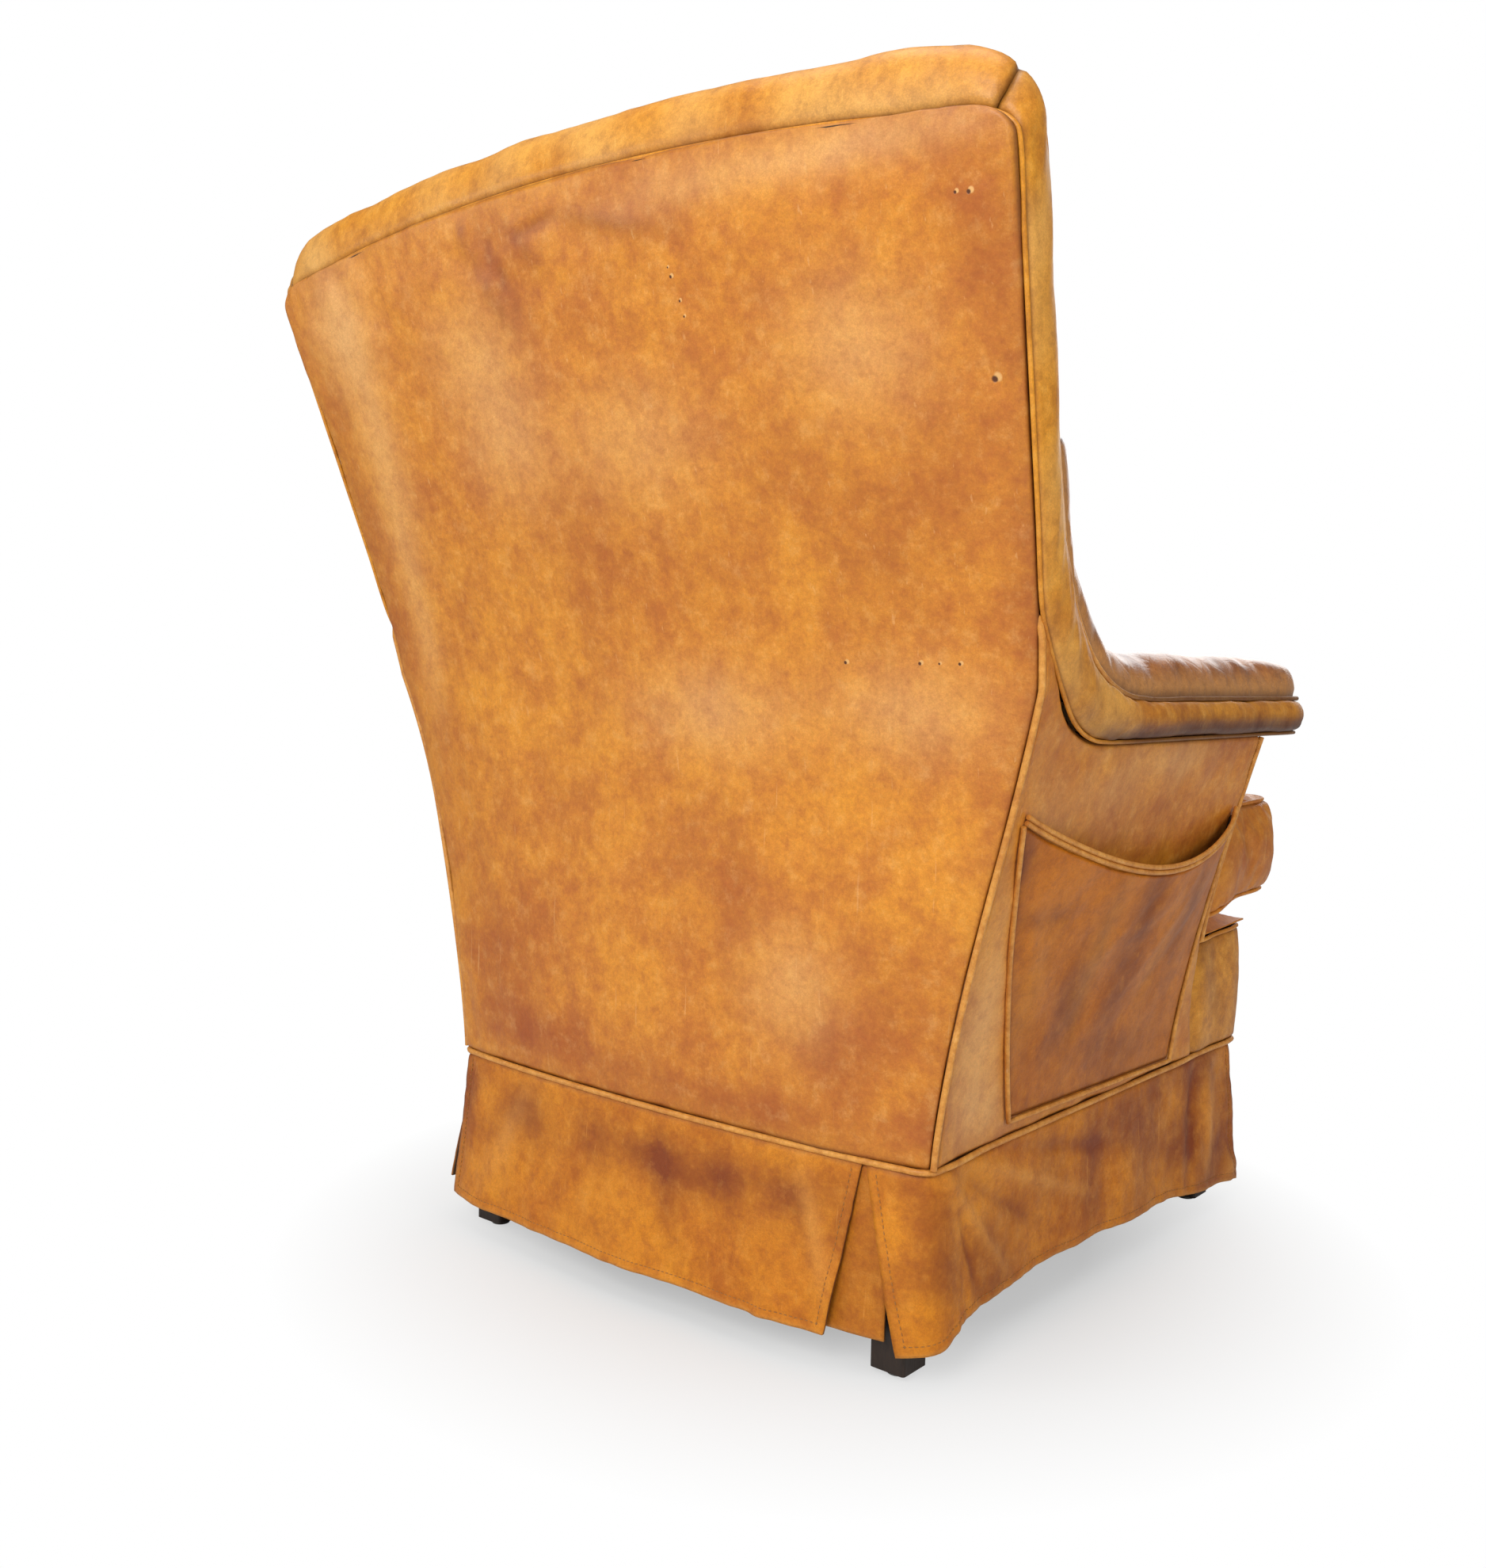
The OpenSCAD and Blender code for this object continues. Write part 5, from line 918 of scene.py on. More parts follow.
def back_cover():
    across, up = crowded(150), crowded(165)
    flat = back_patch(COVER_LOW_H, SIDE_INSET + 0.8, TOP_SEAM_DROP - 1.5, across, up)
    x, z = flat[..., 0], flat[..., 1]
    roll = EDGE_ROLL * edge_ramp(across)[None] * np.sqrt(1 - up[:, None] ** 10)
    grid = back_point(x, z, 0)
    grid[..., 1] += roll + LEATHER_T / 2
    relief = 3.2 * bell(z - 950, 60) + rolling(x, z, 11, (1.3, 130, 320), (0.5, 42, 95), (0.14, 15, 28))
    relief = relief + folds_of(x, z, BACK_FOLDS)
    outer, marks = sewn(grid, BACKWARD, tuck=2.6, pucker=0.4, seed=21, relief=relief)
    # The folds below the top corner are creased sharply: stains lie along them, and their creases carry painted shade
    creased = [(start, end, width) for start, end, width, _ in BACK_FOLDS[:6]]
    dirt = folds_of(x, z, [(start, end, width * 1.8, 0.5) for start, end, width in creased])
    marks["stain_and_shade"] = np.clip(patches(x, z, BACK_STAINS_AND_SHADE) + dirt, 0, 1)
    marks["seam"] = marks["seam"] + folds_of(x, z, [(start, end, width * 0.8, 0.25) for start, end, width in creased])
    marks["pale"] = patches(x, z, BACK_PALES_AND_SHEEN)
    return outer, backed(outer, BACKWARD, LEATHER_T), marks


# --- Bands round the back and arms ---


def band(line, seed, side=1):
    rib = through(line, 4.5)
    t = crowded(21, 0.7)[None, :, None]
    front, rear, middle, out = (rib[:, None, k : k + 3] for k in (0, 3, 6, 9))
    grid = rear * (1 - t) ** 2 + middle * 2 * t * (1 - t) + front * t**2
    start, _, left, _ = edge_distances(grid)
    y, z = grid[..., 1], grid[..., 2]
    bend = smooth_step(y, 30, 110) * (1 - smooth_step(z, 700, 790))
    arm = 1 - smooth_step(y, 40, 150)
    relief = (
        0.7 * waves(start, left, 70, 180, seed) + 0.22 * waves(start, left * 0.6, 24, 55, seed + 1)
        + bend * 0.45 * waves(start, left * 0.5, 18, 44, seed + 2) + 1.3 * np.sin(math.pi * t[..., 0]) ** 0.5
        + 0.7 * bell(left - 9.5, 2.8) - 0.35 * bell(left - 14, 2.5)
    )
    outer, marks = sewn(grid, out, tuck=2.8, pucker=0.3, reach=10, seed=seed + 3, relief=relief)
    # Painted shade darkens the band's lower edge under the arm and round the bend; the bend also has darker worn
    # patches, and the arm part is a little darker all over.
    low_side = arm * (1 - smooth_step(left, 8, 30))
    turn = bell(y - 110, 70) * (1 - smooth_step(z, 640, 720))
    marks["stain_and_shade"] = np.clip(low_side + turn * (1 - smooth_step(left, 18, 50)) + 0.2 * arm, 0, 1)
    marks["seam"] = np.maximum(marks["seam"], np.clip(arm + turn, 0, 1) * (1 - smooth_step(left, 7, 26)))
    marks["pale"] = np.clip(0.5 * (1 - arm) * (0.5 + 0.5 * waves(start, left, 60, 200, seed + 9)), 0, 1)
    return mirrored(side, outer, backed(outer, out, LEATHER_T), marks)


# --- Pads ---


def arm_pad(side, seed):
    # Each row is the seam's outer point, the direction that the pad swells in, its width and its fullness
    rows = []
    r, full = ARM_END_R - SEAM_CLEAR, ARM_PAD_W - 2 * SEAM_CLEAR
    for a in (3, 8, 15, 25, 40, 55, 72, 90):
        c, s = turned(a)
        off = r * (1 - s)
        rows.append([ARM_END_X - SEAM_CLEAR - off, ARM_END_Y - r * c, ARM_WELT_H, 0, 0, 1, full - 2 * off, s**0.8])
    for s in (1, 2, 3):
        y = blend(ARM_END_Y, WELT_RISE_Y, s / 4)
        rows.append([float(arm_outer_x(y)) - SEAM_CLEAR, y, ARM_WELT_H, 0, 0, 1, full, 1])
    for s in range(RISE_STEPS + 1):
        p = welt_rise(s / RISE_STEPS)
        q = welt_rise(s / RISE_STEPS + 0.02) - welt_rise(s / RISE_STEPS - 0.02)
        m = np.array([0, -q[2], q[1]]) / math.hypot(q[1], q[2])
        rows.append([p[0] - SEAM_CLEAR, p[1], p[2], *((0, 0, 1) if s == 0 else m), full, 1])
    z = HEAD_SEAM_H - COVER_GAP
    p = lean_point(float(half_w(z)) - FRONT_INSET - SEAM_CLEAR, z, BORDER_W)
    tip = float(lean(z))
    rows.append([*p, 0, -math.cos(tip), math.sin(tip), full, 0.9])
    rib = through(rows, 4.5)
    q = crowded(34, 0.85)[None, :]
    height = np.maximum(0, 1 - np.abs(2 * q - 1) ** 5.5) ** 0.42
    m = unit(rib[:, 3:6])
    base = rib[:, None, :3] - rib[:, 6][:, None, None] * q[..., None] * SIDEWAYS
    outer = base + m[:, None] * (PAD_CROWN * rib[:, 7][:, None] * height)[..., None]
    low, _, left, _ = edge_distances(outer)
    bend = bell(low - 520, 130)
    relief = (
        0.9 * waves(low, left, 80, 190, seed) + 0.12 * waves(low, left * 0.6, 30, 60, seed + 1)
        + bend * 0.4 * waves(low, left * 0.4, 30, 60, seed + 2)
    )
    outer, marks = sewn(outer, m[:, None], tuck=2.0, pucker=0.3, reach=14, seed=seed + 3, relief=relief)
    marks["stain_and_shade"] = np.clip(0.2 + 0.4 * waves(low, left, 50, 160, seed + 5), 0, 1) * smooth_step(left, 8, 40)
    marks["pale"] = 0.8 * (1 - smooth_step(left, 6, 34))
    marks["polish"] = np.clip(height * 0.8, 0, 1)
    # The pad's side runs deeper where it sweeps up the back, so that no gap shows beside the lumbar pad
    inner = base - m[:, None] * (PAD_UNDER + 30 * bell(low - 640, 90))[..., None]
    marks["lined"] = False
    return mirrored(side, outer, inner, marks)


def head_pad():
    across, up = crowded(110), crowded(54)
    flat = back_patch(HEAD_SEAM_H + COVER_GAP, FRONT_INSET + SEAM_CLEAR, TOP_FRONT_INSET + SEAM_CLEAR, across, up)
    x, z = flat[..., 0], flat[..., 1]
    crown = PAD_CROWN * edge_ramp(across)[None] * np.sqrt(np.maximum(0, 1 - up[:, None] ** 6))
    crown = crown * (0.8 + 0.2 * smooth_step(up[:, None], 0, 0.15))
    grid = lean_point(x, z, BORDER_W + crown)
    relief = rolling(x, z, 31, (1.5, 110, 260), (0.6, 40, 80))
    outer, marks = sewn(grid, FORWARD, tuck=3.5, pucker=0.8, reach=22, seed=33, relief=relief)
    marks["stain_and_shade"] = patches(x, z, [(0, 930, 190, 70, 0.7), (-250, 860, 60, 60, 0.3), (240, 900, 70, 60, 0.3)])
    marks["polish"] = patches(x, z, [(0, 930, 260, 90, 0.9)])
    marks["lined"] = False
    return outer, lean_point(x, z, BORDER_W - PAD_UNDER), marks


POST_FRONT_Y = SEAM_BASE_Y - 8 - 36


def arm_inner_x(z):
    z = np.asarray(z, float)
    start = min(float(arm_outer_x(WELT_RISE_Y)), welt_rise(3 / RISE_STEPS)[0]) - ARM_PAD_W
    low = blend(SEAT_HALF_W, start, np.clip((z - DECK_H + 2 * DECK_T) / (ARM_WELT_H - DECK_H + 2 * DECK_T), 0, 1))
    return np.where(z < ARM_WELT_H, low, half_w(z) - FRONT_INSET - ARM_PAD_W)


def lumbar_pad():
    low, high = float(deck_z(POST_FRONT_Y - LUMBAR_T)) + COVER_GAP, HEAD_SEAM_H - COVER_GAP
    up, u = crowded(84)[:, None], crowded(100, 0.8)[None]
    z = blend(low, high, up) + 0 * u
    below = np.sin(math.pi / 2 * np.clip((z - low) / (LUMBAR_PEAK_H - low), 0, 1))
    above = np.maximum(0, np.cos(math.pi / 2 * np.clip((z - LUMBAR_PEAK_H) / (high - LUMBAR_PEAK_H), 0, 1)))
    swell = np.where(z < LUMBAR_PEAK_H, LUMBAR_T * (0.86 + 0.14 * below), blend(PAD_CROWN * 0.85, LUMBAR_T, above**1.2))
    # Above the arms its side presses against the arm pads, so that no gap opens between their rounded edges
    pressed = 4.5 * smooth_step(z, ARM_WELT_H, ARM_WELT_H + 60)
    w = arm_inner_x(z + (BORDER_W - PAD_UNDER) * np.sin(lean(z))) - COVER_GAP + pressed
    x = w * (1 - 2 * u)
    grid = lean_point(x, z, BORDER_W + swell * (0.62 + 0.38 * edge_ramp(u)))
    relief = rolling(x, z, 41, (2.0, 110, 280), (0.6, 40, 80)) + 0.5 * waves(x, z * 0.4, 25, 60, 43)
    outer, marks = sewn(grid, FORWARD, tuck=4.0, pucker=0.9, reach=26, seed=44, relief=relief)
    marks["stain_and_shade"] = patches(x, z, [(0, 560, 180, 110, 0.55), (180, 480, 60, 90, 0.4), (-190, 620, 50, 90, 0.4)])
    marks["polish"] = patches(x, z, [(0, 560, 230, 140, 0.7)])
    marks["lined"] = False
    return outer, lean_point(x, z, BORDER_W - PAD_UNDER), marks


def inside_arm(side, seed):
    low = float(deck_z(0)) - DECK_T - 6
    tops = [
        [float(arm_outer_x(y)) - ARM_PAD_W, y, ARM_WELT_H - 3.3]
        for y in (blend(11 - ARM_FACE_D, WELT_RISE_Y, s / 4) for s in range(5))
    ]
    for s in (1, 2, 3):
        p = welt_rise(s / RISE_STEPS)
        tops.append([p[0] - ARM_PAD_W, p[1] + PAD_UNDER, p[2] - PAD_UNDER - 2])
    top = through(tops, 6)
    v = crowded(34, 0.8)[None, :]
    grid = stacked(blend(SEAT_HALF_W, top[:, 0:1], v), top[:, 1:2], blend(low, top[:, 2:3], v))
    along, up = grid[..., 1], grid[..., 2]
    relief = rolling(along, up, seed, (0.9, 70, 180), (0.4, 28, 60))
    outer, marks = sewn(grid, -SIDEWAYS, "left right", tuck=1.5, pucker=0.5, seed=seed + 2, relief=relief * 0.6)
    marks["stain_and_shade"] = patches(along, up, [(-120, 540, 70, 50, 0.5), (20, 500, 60, 60, 0.4)])
    return mirrored(side, outer, grid + stacked(blend(7, 10, v), 0, 0), marks)


# --- Outside of the arms ---


def arm_inset(y, z):
    return blend(SIDE_INSET, ARM_OVERHANG, np.clip((seam_y(z) - y) / 60, 0, 1))


def arm_front_y(z):
    return 6 - ARM_FACE_D - 45 * np.clip((400 - np.asarray(z, float)) / (400 - WELT_H), 0, 1) ** 1.7


SIDE_STAINS = [
    (-160, 380, 40, 100, 0.35), (-60, 230, 140, 26, 0.4), (150, 585, 60, 24, 0.4), (-130, 545, 60, 16, 0.5),
    (60, 470, 120, 40, 0.4), (205, 560, 26, 40, 0.25),
]
SIDE_PALES = [
    (-10, 534, 90, 20, 0.4), (103, 510, 60, 26, 0.3), (221, 309, 40, 90, 0.7), (200, 450, 40, 60, 0.5),
    (170, 230, 60, 30, 0.5),
]
SIDE_FOLDS = [
    ((228, 610), (150, 540), 9, 1.0), ((238, 560), (120, 530), 8, -1.0), ((-60, 205), (-20, 300), 10, 0.9),
    ((120, 205), (150, 330), 12, -1.0), ((225, 210), (180, 300), 10, 1.0), ((-200, 300), (-120, 210), 10, 1.0),
]


def outside_arm(side, seed):
    panel_top = ARM_SEAM_H - 1.0
    zf, zr = np.linspace(COVER_LOW_H, panel_top, 40), np.linspace(COVER_LOW_H, JOIN_H + 8, 60)
    front = stacked(arm_front_y(zf) - 1.5, zf)
    rear = stacked(seam_y(zr) - 1.0, zr)
    rise = np.array([seam_rise(t) for t in np.linspace(0, 1, 40)])[:, 1:]
    step = unit(np.gradient(rise, axis=0))
    rise = rise + stacked(step[:, 1], -step[:, 0])
    rise = rise[(rise[:, 1] < JOIN_H + 6) & (rise[:, 0] < seam_y(rise[:, 1]) - 1.5)]
    high = np.vstack([np.linspace([front[-1][0], panel_top], [SEAM_RISE_Y - 2, panel_top], 60), rise, rear[-1:]])
    low = np.linspace(front[0], rear[0], 50)
    flat = filled(low, high, front, rear, crowded(112), crowded(92))
    y, z = flat[..., 0], flat[..., 1]
    grid = stacked(half_w(z) - arm_inset(y, z) + LEATHER_T / 2, y, z)
    relief = rolling(y, z, seed, (1.1, 90, 240), (0.5, 34, 80)) + folds_of(y, z, SIDE_FOLDS)
    outer, marks = sewn(grid, SIDEWAYS, tuck=3.2, pucker=0.5, seed=seed + 2, relief=relief)
    marks["stain_and_shade"] = patches(y, z, SIDE_STAINS)
    marks["pale"] = patches(y, z, SIDE_PALES)
    return mirrored(side, outer, backed(outer, SIDEWAYS, LEATHER_T), marks)


def arm_facing(side, seed):
    low, high = float(deck_z(-ARM_FACE_D)) - 10, ARM_SEAM_H - 3.6
    v, u = crowded(40)[:, None], crowded(20)[None]
    z = blend(low, high, v) + 0 * u
    x0 = blend(SEAT_HALF_W, ARM_END_X - ARM_PAD_W, (z - low) / (high - low)) + 1
    grid = stacked(blend(x0, half_w(z) - ARM_OVERHANG - 1.5, u), -ARM_FACE_D, z)
    relief = 0.7 * waves(grid[..., 0], z, 50, 140, seed)
    outer, marks = sewn(grid, FORWARD, tuck=2.4, pucker=0.4, seed=seed, relief=relief)
    panel = mirrored(side, outer, grid + [0, 8, 0], marks)
    # A tongue of the same hide closes the arm's end from below
    a = np.radians(np.array([4, 10, 20, 32, 45, 60, 75, 90]))
    inset = SIDE_INSET + 1.5
    r = ARM_END_R - SIDE_INSET - 1.5
    off = r * (1 - np.sin(a))
    y = ARM_END_Y - r * np.cos(a)
    y, off = np.append(y, [-250, -ARM_FACE_D - 0.6]), np.append(off, [0, 0])
    shift = np.append(0 * a, [float(arm_outer_x(-ARM_FACE_D)) - ARM_END_X] * 2)
    u = np.linspace(0, 1, 12)[None]
    x = blend((ARM_END_X - ARM_PAD_W + inset + off)[:, None], (ARM_END_X - inset - off)[:, None], u) + shift[:, None]
    under = stacked(x, y[:, None], ARM_SEAM_H - LEATHER_T / 2)
    return [panel, mirrored(side, under, under + [0, 0, LEATHER_T], {"stain_and_shade": 0.8})]


# --- Magazine pocket ---

PIPE_R = 2.4
POCKET_FOLDS = [
    ((-190, 450), (60, 250), 16, 4.0), ((-170, 380), (20, 222), 14, -3.0), ((240, 455), (120, 300), 16, 3.4),
    ((225, 400), (150, 240), 12, -2.6), ((-150, 430), (120, 330), 13, 2.6), ((60, 396), (225, 404), 6, -1.6),
]


def pocket_arch(u):
    """0 at the pocket's sides, and 1 a little behind its middle."""
    return np.maximum(0, np.sin(math.pi * np.asarray(u, float) ** 0.8))


def pocket_place(u, v):
    low = stacked(blend(30 - ARM_FACE_D, 144.0, u), 212 - 8 * (1 - u))
    high = stacked(blend(20 - ARM_FACE_D, 247.0, u), 488 - 18 * (1 - u) - 52 * pocket_arch(u) ** 0.9)
    return low + (high - low) * np.asarray(v)[..., None]


def pocket_out(u, v):
    return 26 * np.asarray(v, float) ** 1.6 * pocket_arch(u) ** 0.8


def pocket_point(u, v, t, dy=0.0, dz=0.0):
    p = pocket_place(u, v) + np.array([dy, dz])
    x = half_w(p[..., 1]) - arm_inset(p[..., 0], p[..., 1]) + LEATHER_T / 2
    return stacked(-(x + pocket_out(u, v) + t), p[..., 0], p[..., 1])


def pocket():
    u, v = np.meshgrid(crowded(80, 0.5), np.linspace(0, 1, 60))
    base = pocket_point(u, v, 1.2)
    y, z = base[..., 1], base[..., 2]
    slack = v * np.sin(math.pi * u) ** 0.7
    lift = (
        slack * (1.6 * waves(y + z * 0.8, z * 0.35, 70, 150, 51) + 0.8 * waves(y + z, z * 0.3, 26, 60, 52))
        + folds_of(y, z, POCKET_FOLDS) + 0.5 * waves(y, z, 30, 60, 53)
    )
    lift = lift * np.minimum(1, np.minimum(u, 1 - u) * 14) * smooth_step(v, 0, 0.12)
    outer = base + stacked(-np.maximum(lift, -1.0 - pocket_out(u, v)), 0, 0) * 0.8
    outer, marks = sewn(outer, -SIDEWAYS, "low left right", tuck=0.8, pucker=0.3, seed=54)
    marks["stain_and_shade"] = patches(y, z, [
        (-7, 366, 30, 110, 0.8), (89, 303, 24, 60, 0.7), (-127, 376, 30, 70, 0.7), (235, 451, 14, 60, 0.8),
        (168, 402, 60, 12, 0.5), (-60, 240, 90, 26, 0.5), (60, 330, 14, 90, 0.5),
    ])
    marks["pale"] = patches(y, z, [(60, 360, 20, 70, 0.4), (160, 330, 26, 70, 0.4), (-80, 330, 18, 70, 0.3)])
    return outer - [1.5, 0, 0], outer + [LEATHER_T - 1.5 - 0.6, 0, 0], marks


def pocket_paths():
    off, up = PIPE_R + 0.7, 0.9 + PIPE_R
    n = np.linspace(0, 1, 40)
    rear = [pocket_point(1.0, v, up, off, -off if v == 0 else 0) for v in n[::-1]]
    low = [pocket_point(u, 0.0, up, 0, -off) for u in n[1:-1][::-1]]
    front = [pocket_point(0.0, v, up, -off, -off if v == 0 else 0) for v in n]
    mouth = [np.array([pocket_point(u, 1.0, up, 0, off + k * (2 * PIPE_R + 0.3)) for u in n]) for k in (0, 1)]
    return [np.array(rear + low + front)], mouth


# --- Front border, welts and skirts ---

BOX_X, BOX_R, BOX_END_Y = FRONT_BORDER_W / 2, 20.0, -260.0


def rounded(x, y, r, turns):
    """A rounded corner of a line in plan: places and outward directions."""
    return [[x + r * turned(a)[0], y + r * turned(a)[1], *turned(a)] for a in turns]


def flipped(line):
    return [[-p[0], p[1], -p[2], p[3]] for p in line]


BOX_HALF = (
    [[BOX_X - 3, y, 1, 0] for y in (-ARM_FACE_D, BOX_END_Y - 4)]
    + [[BOX_X, y, 1, 0] for y in (BOX_END_Y - 12, (BOX_END_Y + BOX_R - FRONT_BORDER_D) / 2)]
    + rounded(BOX_X - BOX_R, BOX_R - FRONT_BORDER_D, BOX_R, np.arange(0, -91, -22.5))
)
BOX_FRONT = [[(BOX_X - BOX_R) * s, -FRONT_BORDER_D, 0, -1] for s in (0.66, 0.33, 0, -0.33, -0.66)]
BOX_LINE = BOX_HALF + BOX_FRONT + flipped(BOX_HALF[::-1])


def plan(line, step, closed=False):
    """Smoothed points and outward directions of a line in plan."""
    p = np.array([[q[0], q[1], 0.0, q[2], q[3]] for q in line])
    rib = through(p, step, closed)
    return rib[:, :2], unit(rib[:, 3:5])


def box_top(y):
    return deck_z(y) - DECK_T - COVER_GAP


def front_border():
    at, out = plan(BOX_LINE, 5)
    v = crowded(26, 0.8)[None]
    z = blend(COVER_LOW_H, box_top(at[:, 1:2]) - 4.5, v)
    swell = 3.4 * np.sin(math.pi * v) ** 0.7 - 0.5
    grid = stacked(at[:, :1] + out[:, :1] * swell, at[:, 1:2] + out[:, 1:2] * swell, z)
    start, _, left, _ = edge_distances(grid)
    facing = stacked(out[:, 0], out[:, 1], 0)[:, None]
    relief = rolling(start, left, 61, (0.5, 80, 190), (0.15, 20, 45))
    outer, marks = sewn(grid, facing, "left right", tuck=2.4, pucker=0.3, reach=12, seed=63, relief=relief)
    marks["stain_and_shade"] = np.clip(0.12 + 0.16 * waves(start, left, 60, 200, 64), 0, 1)
    return outer, grid - facing * (5 + 2 * np.sin(math.pi * v))[..., None], marks


SIDE_X = float(half_w(WELT_H)) - SIDE_INSET


def rear_line_y(x):
    x = np.asarray(x, float)
    return seam_y(WELT_H) + bow(x, WELT_H) + EDGE_ROLL * edge_ramp(np.clip((1 + x / SIDE_X) / 2, 0, 1))


def side_line_x(y):
    return float(half_w(WELT_H)) - arm_inset(y, WELT_H)


REAR_Y = float(seam_y(WELT_H))
BASE_HALF = (
    [[SIDE_X * s, float(rear_line_y(SIDE_X * s)), 0.25 * s**12, 1] for s in (0, 0.2, 0.4, 0.6, 0.78, 0.9, 0.97)]
    + [[SIDE_X - 2, REAR_Y - 2, 0.7, 0.7]]
    + [
        [float(side_line_x(y)), y, 1, 0.25 if y == REAR_Y - 12 else 0]
        for y in (blend(REAR_Y - 12, BOX_END_Y + 10, s / 6) for s in range(7))
    ]
    + [[p[0] - p[2] * 1.5, p[1] - p[3] * 1.5, p[2], p[3]] for p in BOX_HALF[2:]]
    + [[(BOX_X - BOX_R) * s, 1.5 - FRONT_BORDER_D, 0, -1] for s in (0.7, 0.35, 0)]
)
BASE_LINE = BASE_HALF + flipped(BASE_HALF[-2:0:-1])
SLIT_X = 64.0
SKIRT_TOP = WELT_H - 1.0


def hanging(line, seed, inset=0.0, folds=4, short=0.0, flare=(1, 1, 1), drags=(), hem=None, slant=(0, 0), share=1.0):
    """A skirt panel on a line in plan, hung from the welt, with its marks, lengths and heights."""
    at, out = plan(line, 4.5)
    s = np.linspace(0, 1, len(at))[:, None]
    v = crowded(40, 0.35)[None]
    splay = np.interp(s, [0, 0.3, 1], flare)
    length = lengths(at)[:, None]
    drop = np.interp(s, *hem) if hem else 0.0
    place_at = length + v * (
        slant[0] * (1 - smooth_step(length, 0, 150)) + slant[1] * smooth_step(length, length[-1] - 150, length[-1])
    )
    # The line runs on straight past its ends, where a slanting edge may lie
    beyond = 50
    ends = np.r_[-beyond, length[:, 0], length[-1, 0] + beyond]
    first = at[0] - (at[1] - at[0]) * beyond / length[1]
    last = at[-1] + (at[-1] - at[-2]) * beyond / (length[-1] - length[-2])
    at = stacked(*[np.interp(place_at, ends, np.r_[first[k], at[:, k], last[k]]) for k in (0, 1)])
    out = unit(stacked(*[np.interp(place_at, length[:, 0], out[:, k]) for k in (0, 1)]))
    z = blend(SKIRT_TOP, HEM_H + short + drop, v) + 0 * s
    off = SKIRT_FLARE * splay * v**1.2 + SKIRT_FOLD * v * np.sin(math.pi * folds * s) ** 2 - inset + LEATHER_T / 2
    off = off + share * v**0.8 * (
        2.2 * waves(length, z * 0.25, 80, 190, seed) + 0.9 * waves(length, z * 0.5, 30, 70, seed + 1)
    ) + share * 0.3 * waves(length, z, 14, 30, seed + 2)
    from_top, from_hem = v * SKIRT_DROP, (1 - v) * SKIRT_DROP
    off = off + folds_of(length, z, drags) - 0.48 * bell(from_hem, 5.0) - 2.2 * bell(from_top, 3.0)
    grid = np.concatenate([at + out * off[..., None], z[..., None]], axis=-1)
    # The seam mark darkens the top of each panel under the welt: painted shade, and dirt.
    marks = {"seam": 0.8 * bell(from_top, 3.0), "pale": 0.75 * bell(from_hem, 2.2)}
    facing = np.concatenate([out, 0 * z[..., None]], axis=-1)
    # The stitched turning thickens the edge, and the stitches draw it in
    away = np.minimum(np.minimum(from_hem, length), length[-1] - length)
    lift = 0.5 * (1 - smooth_step(away, 7, 9.5)) - 0.8 * bell(away - 8.5, 1.3)
    outer = grid + facing * (lift * smooth_step(v, 0.02, 0.08))[..., None]
    return outer, outer - facing * LEATHER_T, marks, length, z


def skirt_seams(outer, length, inset=8.5, lift=0.2):
    """Places of the topstitching, a little way in from the edges of a skirt panel."""
    n, m = outer.shape[:2]
    fall = np.linalg.norm(np.diff(outer, axis=1), axis=-1).mean(axis=0)
    down = np.r_[0, np.cumsum(fall)]
    top, hem = (np.interp(d, down, np.arange(m)) for d in (9.0, down[-1] - inset))
    total = float(length[-1, 0])
    first, last = (np.interp(d, length[:, 0], np.arange(n)) for d in (inset, total - inset))
    normal = directions(outer, np.array([0.0, 0, 0.001]))

    def at(row, column):
        i, j = int(min(row, n - 1.001)), int(min(column, m - 1.001))
        a, b = row - i, column - j
        p = blend(blend(outer[i, j], outer[i + 1, j], a), blend(outer[i, j + 1], outer[i + 1, j + 1], a), b)
        side = normal[i, j] if np.dot(normal[i, j], outer[i, j] * [1, 1, 0]) > 0 else -normal[i, j]
        return p + side * lift

    paths = [np.array([at(row, hem) for row in np.linspace(first, last, int(total / 4))])]
    for row in (first, last):
        paths.append(np.array([at(row, column) for column in np.linspace(top, hem, 36)]))
    return paths


BACK_SKIRT_LINE = [
    [x, float(rear_line_y(x)), 0, 1] for x in (blend(SIDE_X - 10, SLIT_X - SIDE_X, i / 16) for i in range(17))
]
SIDE_SKIRT_LINE = [
    [float(side_line_x(y)) if y > BOX_END_Y + 10 else BOX_X - 1.5, y, 1, 0]
    for y in (blend(REAR_Y - 12, BOX_R - FRONT_BORDER_D + 8, i / 14) for i in range(15))
]
FRONT_SKIRT_LINE = [[(BOX_X - BOX_R - 6) * (1 - i / 8), 1.5 - FRONT_BORDER_D, 0, -1] for i in range(17)]
REAR_CORNER_LINE = [
    *([x, float(rear_line_y(x)), 0, 1] for x in (SIDE_X + 4 - SLIT_X, SIDE_X - SLIT_X / 2)),
    [SIDE_X - SLIT_X * 0.22, REAR_Y + SLIT_X * 0.04, 0.3, 0.95],
    [SIDE_X - SLIT_X * 0.08, REAR_Y - SLIT_X * 0.06, 0.7, 0.7],
]


